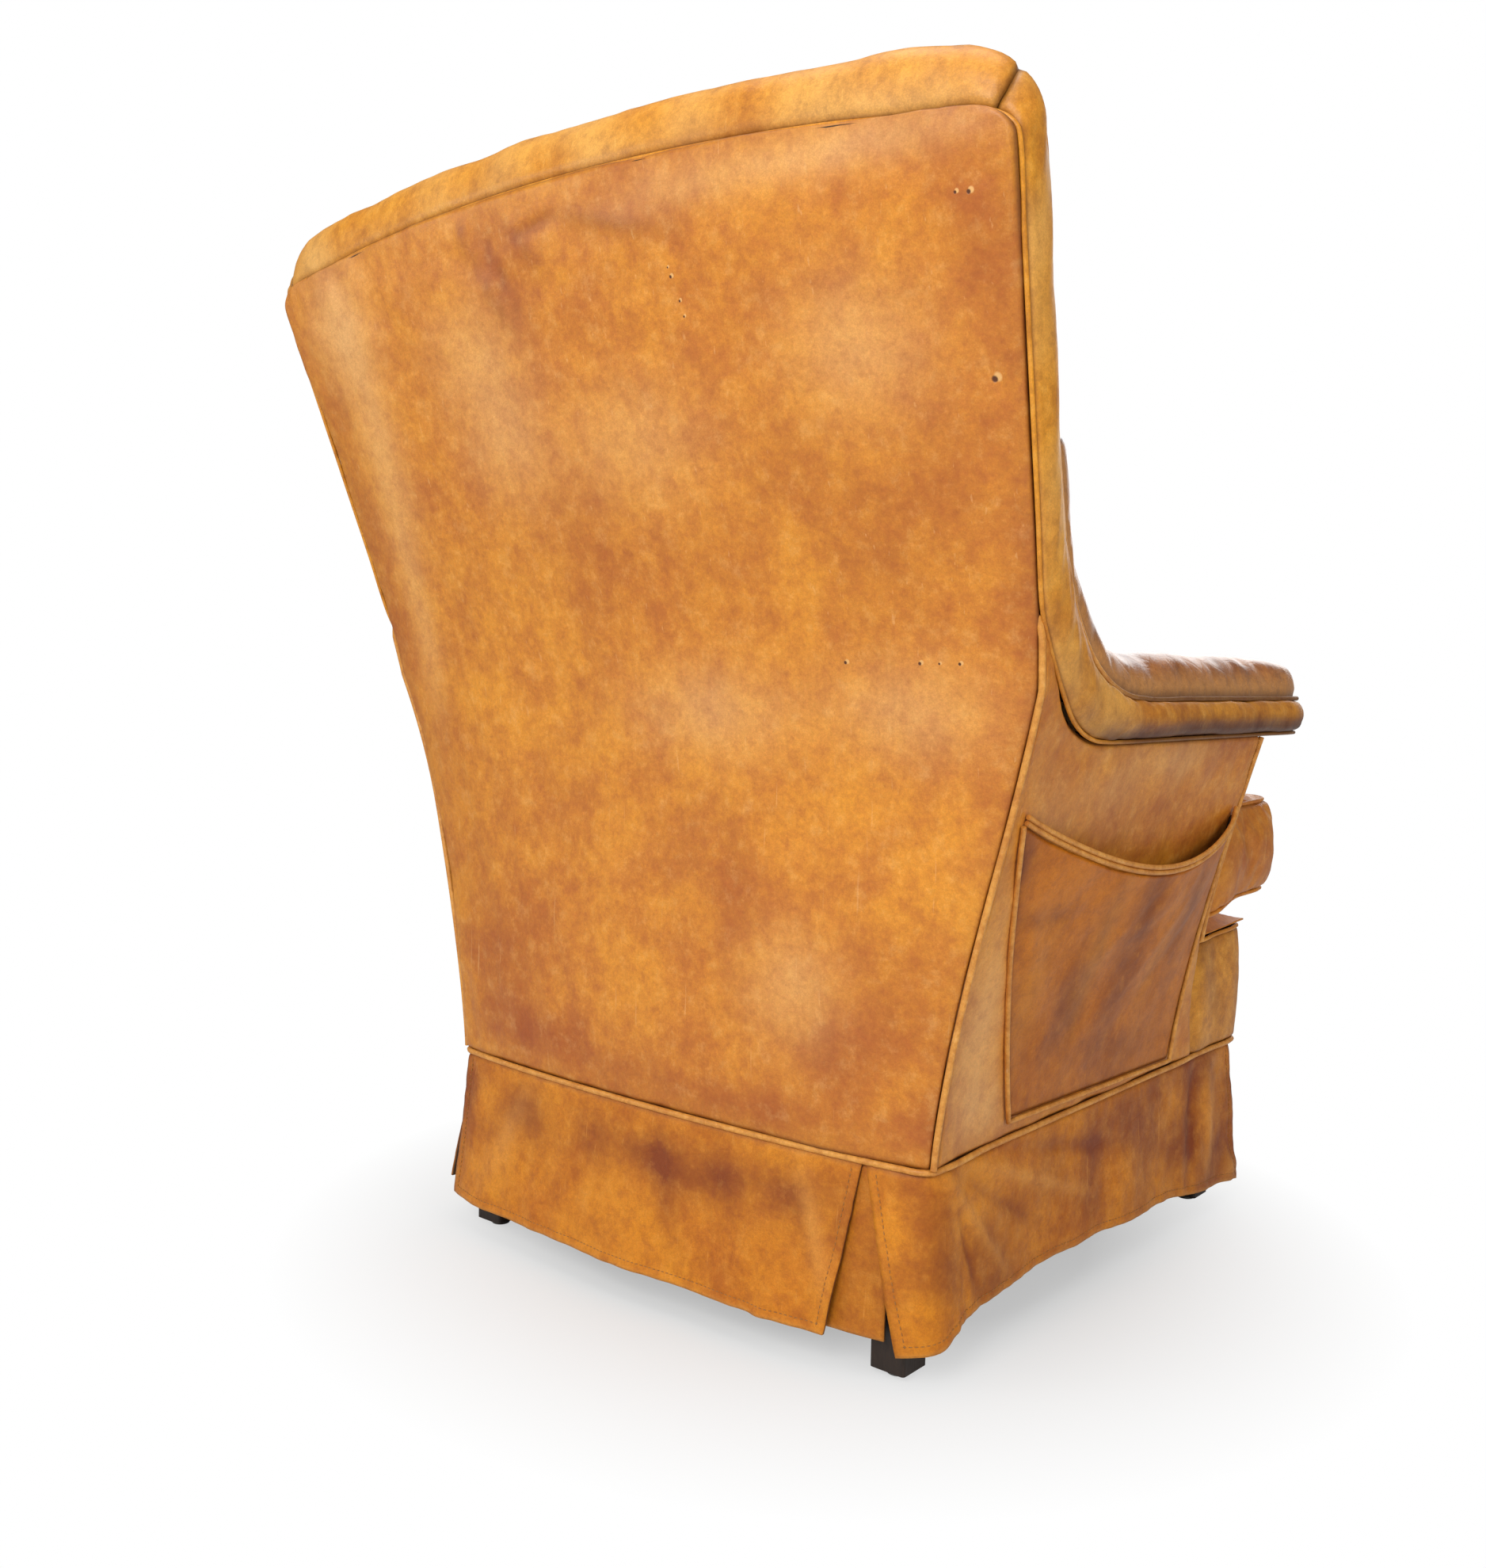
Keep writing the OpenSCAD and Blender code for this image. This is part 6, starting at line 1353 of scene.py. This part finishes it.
def pleat_parts():
    long, even = 62.0, (0.66, 0.66, 0.66)
    front_y, front_x = 1.5 - FRONT_BORDER_D, BOX_X - 1.5
    rear_turn = ((0.26, 0.03, 0.3, 0.95), (0.1, -0.08, 0.7, 0.7), (0.016, -0.29, 0.95, 0.3))
    front_turn = ((0.27, 0.024, 0.3, -0.95), (0.1, 0.1, 0.7, -0.7), (0.024, 0.27, 0.95, -0.3))
    rear = (
        [[x, float(rear_line_y(x)), 0, 1] for x in (SIDE_X - long, SIDE_X - long * 0.56)]
        + [[SIDE_X - long * a, REAR_Y + long * b, c, d] for a, b, c, d in rear_turn]
        + [[float(side_line_x(y)), y, 1, 0] for y in (REAR_Y - long * 0.56, REAR_Y - long)]
    )
    front = (
        [[front_x - long * a, front_y, 0, -1] for a in (1, 0.56)]
        + [[front_x - long * a, front_y + long * b, c, d] for a, b, c, d in front_turn]
        + [[front_x, front_y + long * a, 1, 0] for a in (0.56, 1)]
    )
    slit = [[-x, float(rear_line_y(x)), 0, 1] for x in (SIDE_X - SLIT_X + 28 - 20 * i for i in range(5))]
    parts = []
    for line, flare in ((rear, even), (slit, (0.4, 0.45, 0.66)), (front, even), (flipped(front), even)):
        outer, inner, marks, *_ = hanging(line, 71 + len(parts), LEATHER_T + 0.6, 0, 4, flare, share=0.3)
        # The pleats, seen only through the corner slits, are a little darker all over: painted shade.
        parts.append((outer, inner, {**marks, "stain_and_shade": 0.35}))
    return parts


# --- Seat cushion ---

NOSE_Y = FRONT_BORDER_D - OVERALL_D / 2 + 2 * WELT_R - 0.6
BODY_X = SEAT_HALF_W - 3 - 2 * WELT_R
EAR_X = EAR_W / 2 - 2 * WELT_R
EAR_REAR_Y = FRONT_BORDER_D - ARM_FACE_D - 6 - 2 * WELT_R
CUSHION_REAR_Y = FRONT_BORDER_D + SEAM_BASE_Y - BORDER_W - LUMBAR_T - 14
NOSE_R, EAR_R, REAR_R = 34, 14, 26
CUSHION_HALF = (
    [[EAR_X * s, NOSE_Y + 6 * s * s, 0, -1] for s in (0, 0.35, 0.7)]
    + rounded(EAR_X - NOSE_R, NOSE_Y + NOSE_R + 8, NOSE_R, np.arange(-90, 1, 22.5))
    + [[EAR_X - 1.5, (NOSE_Y + EAR_REAR_Y) / 2, 1, 0]]
    + rounded(EAR_X - EAR_R, EAR_REAR_Y - EAR_R, EAR_R, (0, 45, 90))
    + [[BODY_X + 14, EAR_REAR_Y - 0.5, 0, 1], [BODY_X + 2.94, EAR_REAR_Y + 2.94, 0.7, 0.7]]
    + [[BODY_X, EAR_REAR_Y + 14, 1, 0]]
    + [[BODY_X - 2 * math.sin(math.pi * s), blend(EAR_REAR_Y, CUSHION_REAR_Y, s), 1, 0] for s in (0.33, 0.66)]
    + rounded(BODY_X - REAR_R, CUSHION_REAR_Y - REAR_R, REAR_R, (0, 30, 60, 90))
    + [[(BODY_X - REAR_R) * s, CUSHION_REAR_Y, 0, 1] for s in (0.6, 0.3, 0)]
)
CUSHION_LINE = CUSHION_HALF + flipped(CUSHION_HALF[-2:0:-1])
# Heights of the cushion's lower and upper seams above the deck, and the rise of its middle over the upper one
EDGE_H = WELT_R + COVER_GAP
TOP_EDGE_H = EDGE_H + CUSHION_T
DOME_H = CUSHION_CROWN - 5


def off_deck(points):
    """The inverse of on_deck."""
    c, s = math.cos(DECK_ANGLE), math.sin(DECK_ANGLE)
    y, z = points[:, 1] + FRONT_BORDER_D, points[:, 2] - DECK_H
    return stacked(points[:, 0], y * c - z * s, y * s + z * c)


def edge_rise(p):
    """The crown of the cushion's underside lifts its front seams off the deck, most at the ears."""
    y = p[:, 1]
    ear = smooth_step(np.abs(p[:, 0]), EAR_X - 150, EAR_X - 10) * (1 - smooth_step(y, 60, 190))
    return 8.0 * (1 - smooth_step(y, 120, 230)) + 9.0 * ear


def ear_share(p):
    return smooth_step(np.abs(p[:, 0]), EAR_X - 60, EAR_X - 5) * (1 - smooth_step(p[:, 1], 110, 160))


def cushion_seams():
    at, out = plan(CUSHION_LINE, 5, True)
    rise = edge_rise(at)
    at = at - out * 3.5 * ear_share(at)[:, None]
    return [np.c_[at, EDGE_H + rise], np.c_[at, np.full(len(at), TOP_EDGE_H)]], out


def cushion_shell(name):
    """The plain closed form of the cushion: rings from its underside round its side to its top."""
    at, out = plan(CUSHION_LINE, 6, True)
    middle = np.array([0.0, 150.0])
    rise, ear = edge_rise(at), ear_share(at)[:, None]
    at = at - out * 3.5 * ear
    levels = []
    ring_shares = [0.12, 0.25, 0.4, 0.55, 0.7, 0.82, 0.9, 0.95, 0.98, 0.993]
    for s in ring_shares:
        levels.append(np.c_[middle + (at - middle) * s, blend(COVER_GAP, EDGE_H, s**7) + rise * s**4])
    for v in crowded(17, 0.8):
        bulge = (2.5 + 6.5 * ear) * math.sin(math.pi * v) ** 0.6
        levels.append(np.c_[at + out * bulge, EDGE_H + rise * (1 - v) + CUSHION_T * v])
    for s in ring_shares[::-1]:
        levels.append(np.c_[middle + (at - middle) * s, np.full(len(at), TOP_EDGE_H + DOME_H * (1 - s**4) ** 0.8)])
    k, m = len(at), len(levels)
    points = np.vstack(levels + [[[*middle, COVER_GAP]], [[*middle, TOP_EDGE_H + DOME_H]]])
    faces = []
    for level in range(m - 1):
        a = np.arange(k) + level * k
        b = np.roll(a, -1)
        faces += stacked(a, b, b + k, a + k).tolist()
    faces += [[m * k, (s + 1) % k, s] for s in range(k)]
    faces += [[m * k + 1, (m - 1) * k + s, (m - 1) * k + (s + 1) % k] for s in range(k)]
    mesh = bpy.data.meshes.new(name)
    mesh.from_pydata((on_deck(points) * MM).tolist(), [], faces)
    work = bmesh.new()
    work.from_mesh(mesh)
    bmesh.ops.recalc_face_normals(work, faces=work.faces)
    work.to_mesh(mesh)
    work.free()
    return mesh


CUSHION_CREASES = [
    ((322, 120), (268, 140), 4, -1.6), ((318, 60), (250, 110), 5, -1.4), ((324, 90), (280, 118), 5, 1.2),
]
EAR_CREASES = [((60, 118), (110, 60), 7, -1.6), ((120, 110), (80, 40), 6, 1.3), ((20, 110), (60, 70), 8, 1.2)]


def cushion_body(finish):
    obj = new_object("seat_cushion_cover", cushion_shell("seat_cushion_cover"), finish)
    seams, _ = cushion_seams()
    tree = KDTree(sum(len(path) for path in seams))
    for i, point in enumerate(np.vstack(seams)):
        tree.insert(point, i)
    tree.balance()
    # Lengths along the two seams. Those of the upper one start far off, so that its puckers differ
    along = np.r_[lengths(seams[0]), lengths(seams[1]) + 9000]

    def nearest(points):
        found = [tree.find(point)[1:] for point in points]
        return np.array([away for _, away in found]), along[[index for index, _ in found]]

    skin = obj.modifiers.new("skin", "REMESH")
    skin.mode, skin.voxel_size = "VOXEL", 6.5 * MM
    place_at = off_deck(coordinates(applied(obj)) / MM)
    away, _ = nearest(place_at)
    held = np.maximum(bell(away, 8), place_at[:, 2] < 2.5)
    on_air(obj, held, slack=0.035, cap=13)
    soft = obj.modifiers.new("soft", "SUBSURF")
    soft.levels = soft.render_levels = 1
    applied(obj)
    mesh = obj.data
    mesh.materials.clear()
    mesh.materials.append(finish)
    mesh.polygons.foreach_set("use_smooth", [True] * len(mesh.polygons))
    p = off_deck(coordinates(mesh) / MM)
    away, run = nearest(p)
    x, y, z = p[:, 0], p[:, 1], p[:, 2]
    top = smooth_step(z, TOP_EDGE_H - 14, TOP_EDGE_H + 4)
    seam = bell(away, 3.4)
    puckers = 0.7 * waves(run, away * 0.3, 14, 40, 84) * np.exp(-away / 16) * (1 - seam)
    relief = rolling(x, y, 81, (1.3, 120, 260), (0.5, 45, 90), (0.15, 18, 34)) * (1 - bell(away, 16))
    lift = puckers - 2.6 * bell(away, 4.0) + top * relief
    for side in (-1, 1):
        lift = lift + top * folds_of(side * x, y, CUSHION_CREASES)
        lift = lift + (side * x > EAR_X - 12) * folds_of(y, z, EAR_CREASES)
    normal = np.zeros(len(mesh.vertices) * 3, np.float32)
    mesh.vertices.foreach_get("normal", normal)
    move_to(mesh, coordinates(mesh) + normal.reshape(-1, 3) * (lift * MM)[:, None])
    # The seam mark darkens the cover next to its piping: painted shade, and dirt.
    marks = {
        "seam": seam * 0.9, "polish": 0.5 * top,
        "stain_and_shade": top * patches(x, y, [(0, 160, 150, 130, 0.5), (-200, 60, 60, 60, 0.4)])
        + (1 - top) * patches(y, z, [(100, 70, 70, 30, 0.6), (20, 30, 40, 30, 0.4)]),
    }
    for key, value in marks.items():
        mark(mesh, key, value)
    return obj


# --- Out of sight: the deck, the webbing and the cloth underneath ---


def deck_part(y0, y1, seed):
    """Part of the platform below the cushion, rounded down to the front border at its edges."""
    front, step = 1.0, FRONT_BORDER_D - ARM_FACE_D - 2
    y = np.unique(np.r_[np.linspace(y0, y1, int((y1 - y0) / 5)), [v for v in (step - 0.4, step + 0.4) if y0 < v < y1]])
    half = np.where(y < step, FRONT_BORDER_W / 2, SEAT_HALF_W - 0.5)
    u = crowded(120, 0.8)
    x = half[:, None] * (1 - 2 * u[None])
    y = y[:, None] + 0 * x
    side = np.where(y < step, FRONT_BORDER_W / 2 - np.abs(x), 200)
    away = np.minimum(side, y - front)
    drop = 17.5 * np.exp(-((np.maximum(away, 0) / 34) ** 1.5))
    z = -0.5 - drop - 0.5 * (0.5 + 0.5 * waves(x, y, 60, 160, seed))
    return on_deck(stacked(x, y, z)), on_deck(stacked(x, y, 0.2 - DECK_T)), {"lined": False}


def webbing():
    """Jute straps up and across between the posts, each over and under the next."""
    parts = []
    width, depth, half_t = np.linspace(-25, 25, 3)[None], 45.2, 0.35

    def reach(z):
        return blend(236, 376, (z - 320) / 656)

    def strap(x, z, t):
        parts.append((lean_point(x, z, t + half_t), lean_point(x, z, t - half_t), {}))

    for i, z in enumerate(np.linspace(370, 930, 6)):
        x = np.linspace(-reach(z), reach(z), 60)[:, None]
        strap(x, z + width, depth + half_t * np.cos(math.pi * (x / reach(z) / 0.39 + i)))
    for j, share in enumerate(np.linspace(-0.78, 0.78, 5)):
        z = np.linspace(330, 968, 70)[:, None]
        strap(reach(z) * share + width, z, depth - half_t * np.cos(math.pi * ((z - 370) / 112 + j)))
    return parts


def dust_cover():
    """Black cambric tacked under the seat, notched round the legs and slack in the middle."""
    (low, high), front_leg, rear_leg = (
        [np.array(p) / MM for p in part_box(name)] for name in ("dust_cover", "front_left_leg", "rear_left_leg")
    )
    notch, start, end = front_leg[0][0] - 1, front_leg[1][1], rear_leg[0][1]
    y = np.unique(np.r_[np.linspace(low[1], high[1], 90), start + 1, start + 1.5, end - 1, end - 1.5])
    half = np.where((y > start + 1.2) & (y < end - 1.2), high[0], notch)
    u = np.linspace(0, 1, 70)[None]
    x = half[:, None] * (1 - 2 * u)
    y = y[:, None] + 0 * x
    deep = np.clip((y - low[1]) * (high[1] - y) / ((high[1] - low[1]) / 2) ** 2, 0, 1)
    slack = (1 - (x / high[0]) ** 2) * deep
    z = high[2] - 0.7 - 6 * slack - 0.5 * np.minimum(1, slack * 4) * (1 + waves(x, y, 40, 130, 92))
    grid = stacked(x, y, z)
    return grid, grid + [0, 0, 0.7], {"lined": False}


# --- The chair ---

CHAIR, SEAT = "chair", "cushion"


def covered(name, parts, finish, *nodes, slot="leather"):
    """A cover that rides on the chair, in place of nodes of the part."""
    return place(cover(name, parts, finish), CHAIR, slot, *nodes)


def corded(name, paths, radius, finish, node, closed=False):
    """Piping that rides on the chair, in place of a node of the part."""
    return place(piping(name, paths, radius, finish, closed), CHAIR, "piping_leather", node)


back = covered("outside_back_leather", [back_cover()], OUTSIDE_HIDE, "outside_back_cover")

for side, name, seed in ((1, "left", 101), (-1, "right", 151)):
    strip = covered(name + "_band_leather", [band(SIDE_LINE, seed, side)], BORDER_HIDE, name + "_border")
    rests = [name + "_back_post", name + "_arm_board"]
strip = covered("top_band_leather", [band(TOP_LINE, 201)], BORDER_HIDE, "top_border")


# Along the arms the pipings are darkened with painted shade.
def round_arms(p):
    return (1 - smooth_step(p[:, 1], 60, 190)) * (1 - smooth_step(p[:, 2], 700, 780))


WHOLE = through(WHOLE_LINE, 5.0)
FRONT_SEAM, REAR_SEAM = WHOLE[:, 0:3] - WHOLE[:, 9:12] * 0.8, WHOLE[:, 3:6]
paint_shade_on(corded("rear_seam_piping", [REAR_SEAM], 1.9, BORDER_HIDE, "rear_seam_welt"), round_arms)
paint_shade_on(corded("front_seam_piping", [FRONT_SEAM], 2.5, PIPING_HIDE, "front_welt"), round_arms)

for side, name, seed in ((1, "left", 301), (-1, "right", 321)):
    form = arm_pad(side, seed)
    pad = covered(name + "_arm_top", [form], HANDLED_HIDE, name + "_arm_pad", slot="worn_leather")
    on_air_between_seams(pad, form[0], pressure=3.0, slack=0.003, cap=5, bend=6.0)
    inside, outside, face = (
        covered(name + piece, parts, OUTSIDE_HIDE, name + node)
        for piece, parts, node in (
            ("_inside_arm_leather", [inside_arm(side, seed + 5)], "_inside_arm"),
            ("_outside_arm_leather", [outside_arm(side, seed + 7)], "_outside_arm"),
            ("_arm_front_leather", arm_facing(side, seed + 9), "_arm_facing"),
        )
    )
    rests = [name + "_arm_board", name + "_arm_post"]
    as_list(rests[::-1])
for name, form, slack, cap in (("head_pad", head_pad(), 0.01, 9), ("lumbar_pad", lumbar_pad(), 0.014, 12)):
    pad = covered(name + "_leather", [form], OUTSIDE_HIDE, name)
    on_air_between_seams(pad, form[0], slack=slack, cap=cap, bend=3.0)

corner_paths = []
for side in (-1, 1):
    z = np.linspace(WELT_H + 3, JOIN_H + 8, 90)
    dive = 4.0 * smooth_step(z, JOIN_H - 10, JOIN_H + 8)
    corner_paths.append(stacked(side * (half_w(z) - SIDE_INSET - dive), seam_y(z) - 0.4 * dive, z))
    z = np.linspace(DECK_H - DECK_T, ARM_SEAM_H - 3, 50)
    corner_paths.append(stacked(side * (half_w(z) - ARM_OVERHANG), arm_front_y(z) - SEAM_CLEAR, z))
corded("corner_piping", corner_paths, 2.9, PIPING_HIDE, "corner_welts")

pouch = covered("magazine_pocket_leather", [pocket()], POCKET_HIDE, "magazine_pocket", slot="worn_leather")
rim, mouth = pocket_paths()
pipes = corded("pocket_edge_piping", rim + mouth, PIPE_R, PIPING_HIDE, "pocket_piping")

box = covered("front_border_leather", [front_border()], BORDER_HIDE, "front_seat_border")
at, out = plan(BOX_LINE, 5)
top_edge = np.c_[at - out * 1.5, box_top(at[:, 1]) - SEAM_CLEAR - 1]
corded("seat_border_piping", [top_edge], 2.3, BORDER_HIDE, "seat_border_welt")
at, _ = plan(BASE_LINE, 5, True)
corded("base_piping", [np.c_[at, np.full(len(at), WELT_H)]], 2.9, PIPING_HIDE, "base_welt", closed=True)

SKIRTS = (
    ("back_skirt", BACK_SKIRT_LINE, 401, dict(
        folds=3, slant=(-9, -24),
        drags=[((470, 180), (530, 60), 10, 2.5), ((120, 180), (60, 60), 14, 2.0), ((300, 185), (330, 60), 12, -1.6)],
    )),
    ("left_skirt", SIDE_SKIRT_LINE, 411, dict(folds=4, flare=(2.7, 1.3, 1.0))),
    ("right_skirt", flipped(REAR_CORNER_LINE + SIDE_SKIRT_LINE), 421, dict(
        folds=4, flare=(0.6, -0.1, 0.9), slant=(38, 0),
        hem=([0, 0.05, 0.12, 0.4, 0.75, 0.9, 1], [-5, 0, 12, 22, 14, 2, -4]),
        drags=[
            ((70, 186), (190, 60), 7, 3.6), ((84, 188), (270, 80), 7, -3.2), ((110, 188), (360, 96), 8, 3.0),
            ((150, 190), (430, 130), 8, -2.4), ((90, 150), (140, 50), 6, -2.4),
            ((600, 188), (560, 40), 11, -5.0), ((635, 188), (610, 40), 14, 5.0), ((660, 60), (690, 34), 16, 7.0),
        ],
    )),
    ("front_skirt", FRONT_SKIRT_LINE, 431, dict(folds=4)),
)
for name, line, seed, more in SKIRTS:
    outer, inner, marks, length, z = hanging(line, seed, **more)
    if name == "back_skirt":
        marks["stain_and_shade"] = np.clip(
            1.1 * bell(z - 142, 26) * (0.65 + 0.4 * waves(length, z, 60, 200, 441))
            + 0.5 * smooth_step(length, 40, 0), 0, 1,
        )
    else:
        # The right skirt is darkened towards its front with painted shade.
        painted_shade_front = 0.5 * smooth_step(length, 200, 600) if name == "right_skirt" else 0
        marks["stain_and_shade"] = np.clip(0.2 + painted_shade_front + 0.4 * waves(length, z, 70, 220, seed + 5), 0, 1)
    # Grooves of the drags are darkened with painted shade, and their ridges lightened with a painted highlight
    for start, end, width, height in more.get("drags", ()):
        key = "stain_and_shade" if height < 0 else "pale"
        marks[key] = marks[key] + fold(length, z, start, end, width, 0.5)
    piece = covered(name + "_leather", [(outer, inner, marks)], SKIRT_HIDE, name)
    sewing = place(stitches(name + "_stitches", skirt_seams(outer, length), LINEN_THREAD), CHAIR, "lining")
pleats = covered("corner_pleats_leather", pleat_parts(), SKIRT_HIDE, "corner_pleats")

cushion = place(cushion_body(OUTSIDE_HIDE), SEAT, "leather", "seat_cushion")
# The lower piping lies further in and up than the upper one, except at the ears, to stay on the swollen cover
seams, out = cushion_seams()
cords = []
for path, inward, raised in zip(seams, (1.4, 0), (1.1, 0)):
    ear = ear_share(path)[:, None]
    cords.append(on_deck(path + np.c_[out * (-0.5 - 2.5 * ear - inward * (1 - ear)), raised * (1 - ear)]))
place(piping("cushion_piping", cords, 2.2, OUTSIDE_HIDE, True), SEAT, "piping_leather", "cushion_welts")

LIP_D = 118
lip = covered("deck_front_leather", [deck_part(1, LIP_D, 95)], SKIRT_HIDE, "deck_pad")
rear_deck = [deck_part(LIP_D - 1, FRONT_BORDER_D + POST_FRONT_Y - 12, 96)]
deck = covered("deck_cloth", rear_deck, DECK_CLOTH, "deck_pad", slot="lining")
straps = covered("back_webbing_straps", webbing(), JUTE, "back_webbing", slot="webbing")
under = covered("dust_cover_cloth", [dust_cover()], CAMBRIC, "dust_cover", slot="lining")

WOODEN = [
    "front_seat_rail", "rear_seat_rail", "left_seat_rail", "right_seat_rail", "corner_blocks", "left_back_post",
    "right_back_post", "top_rail", "lumbar_rail", "left_arm_post", "right_arm_post", "left_arm_board",
    "right_arm_board", "frame_dowels",
]
FINISHES = {name: FRAME_WOOD for name in WOODEN}
FINISHES.update({name + "_leg": LEG_WOOD for name in ("rear_left", "rear_right", "front_left", "front_right")})
FINISHES.update({name: ZINC for name in ("leg_glides", "leg_bolts", "block_screws")})
FINISHES.update({"seat_springs": SPRING_STEEL, "cushion_zip": BRASS_ZIP})
for name, finish in FINISHES.items():
    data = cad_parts[name].data
    data.materials.clear()
    data.materials.append(finish)


# --- Floor, light and camera ---

world = bpy.data.worlds.new("studio")
bpy.context.scene.world = world
world.use_nodes = True
sky = world.node_tree
sky.nodes.clear()
ray = add(sky, "ShaderNodeLightPath")
dim = add(sky, "ShaderNodeMix", {0: ray.outputs["Is Glossy Ray"], 2: 0.34, 3: 0.16}, data_type="FLOAT")
level = add(sky, "ShaderNodeMix", {0: ray.outputs["Is Camera Ray"], 2: dim.outputs[0], 3: 1.0}, data_type="FLOAT")
glow = add(sky, "ShaderNodeBackground", {"Color": (1, 1, 1, 1), "Strength": level.outputs[0]})
add(sky, "ShaderNodeOutputWorld", {"Surface": glow.outputs["Background"]})

# The floor is pale paper. Away from the chair the camera sees it as white as the backdrop.
floor_finish = bpy.data.materials.new("matt_pale_paper_floor")
floor_finish.use_nodes = True
paper = floor_finish.node_tree
paper.nodes.clear()
floor_at = add(paper, "ShaderNodeTexCoord").outputs["Object"]
from_chair = add(paper, "ShaderNodeVectorMath", {0: floor_at}, operation="LENGTH").outputs["Value"]
beyond = add(paper, "ShaderNodeMapRange", {"Value": from_chair, "From Min": 0.28, "From Max": 0.6, "To Min": 0.45})
seen = add(paper, "ShaderNodeLightPath").outputs["Is Camera Ray"]
whitened = add(paper, "ShaderNodeMath", {0: beyond, 1: seen}, operation="MULTIPLY")
matt = add(paper, "ShaderNodeBsdfPrincipled", {"Base Color": srgb("#D2D2D0"), "Roughness": 0.9})
white = add(paper, "ShaderNodeEmission", {"Color": (1, 1, 1, 1), "Strength": 1.0})
both = add(paper, "ShaderNodeMixShader", {0: whitened, 1: matt, 2: white})
add(paper, "ShaderNodeOutputMaterial", {"Surface": both})
FLOOR_HALF = 9
floor_mesh = bpy.data.meshes.new("studio_floor")
corners = ((-1, -1), (1, -1), (1, 1), (-1, 1))
floor_mesh.from_pydata([(FLOOR_HALF * x, FLOOR_HALF * y, 0) for x, y in corners], [], [(0, 1, 2, 3)])
floor = new_object("studio_floor", floor_mesh, floor_finish)


def softbox(name, at, aim, size, watts, in_gloss=True):
    light = bpy.data.lights.new(name, "AREA")
    light.shape, light.size, light.energy = "SQUARE", size, watts
    obj = bpy.data.objects.new(name, light)
    bpy.context.scene.collection.objects.link(obj)
    obj.location = at
    obj.visible_glossy = in_gloss
    obj.rotation_mode = "QUATERNION"
    obj.rotation_quaternion = (Vector(aim) - Vector(at)).to_track_quat("-Z", "Y")


softbox("key_softbox", (-0.7, 2.4, 1.75), (-0.1, 0, 0.5), 1.3, 44)
softbox("rear_softbox", (1.9, 2.3, 1.3), (0, 0, 0.7), 1.2, 14)
softbox("side_softbox", (-2.7, 0.5, 1.4), (0, 0, 0.4), 1.2, 21, False)
softbox("top_softbox", (0.0, 0.3, 3.0), (0, 0, 0.6), 1.6, 22)
softbox("front_softbox", (0.7, -2.7, 1.3), (0, 0, 0.5), 1.9, 22)

# The camera that was fitted to the photograph
CAMERA_AT = (-0.9682, 1.3185, 0.6077)
yaw, pitch, roll = math.radians(-50), -0.074, 0.02
forward = Vector((math.cos(yaw) * math.cos(pitch), math.sin(yaw) * math.cos(pitch), math.sin(pitch)))
level_right = forward.cross(Vector((0, 0, 1))).normalized()
level_up = level_right.cross(forward)
right = math.cos(roll) * level_right + math.sin(roll) * level_up
upward = math.cos(roll) * level_up - math.sin(roll) * level_right
lens = bpy.data.cameras.new("camera")
lens.lens, lens.sensor_width, lens.sensor_fit = 34.38, 36.0, "AUTO"
camera = bpy.data.objects.new("camera", lens)
bpy.context.scene.collection.objects.link(camera)
camera.matrix_world = Matrix.Translation(CAMERA_AT) @ Matrix(
    [[right[k], upward[k], -forward[k]] for k in range(3)]
).to_4x4()
bpy.context.scene.camera = camera
bpy.context.scene.view_settings.view_transform = "Standard"
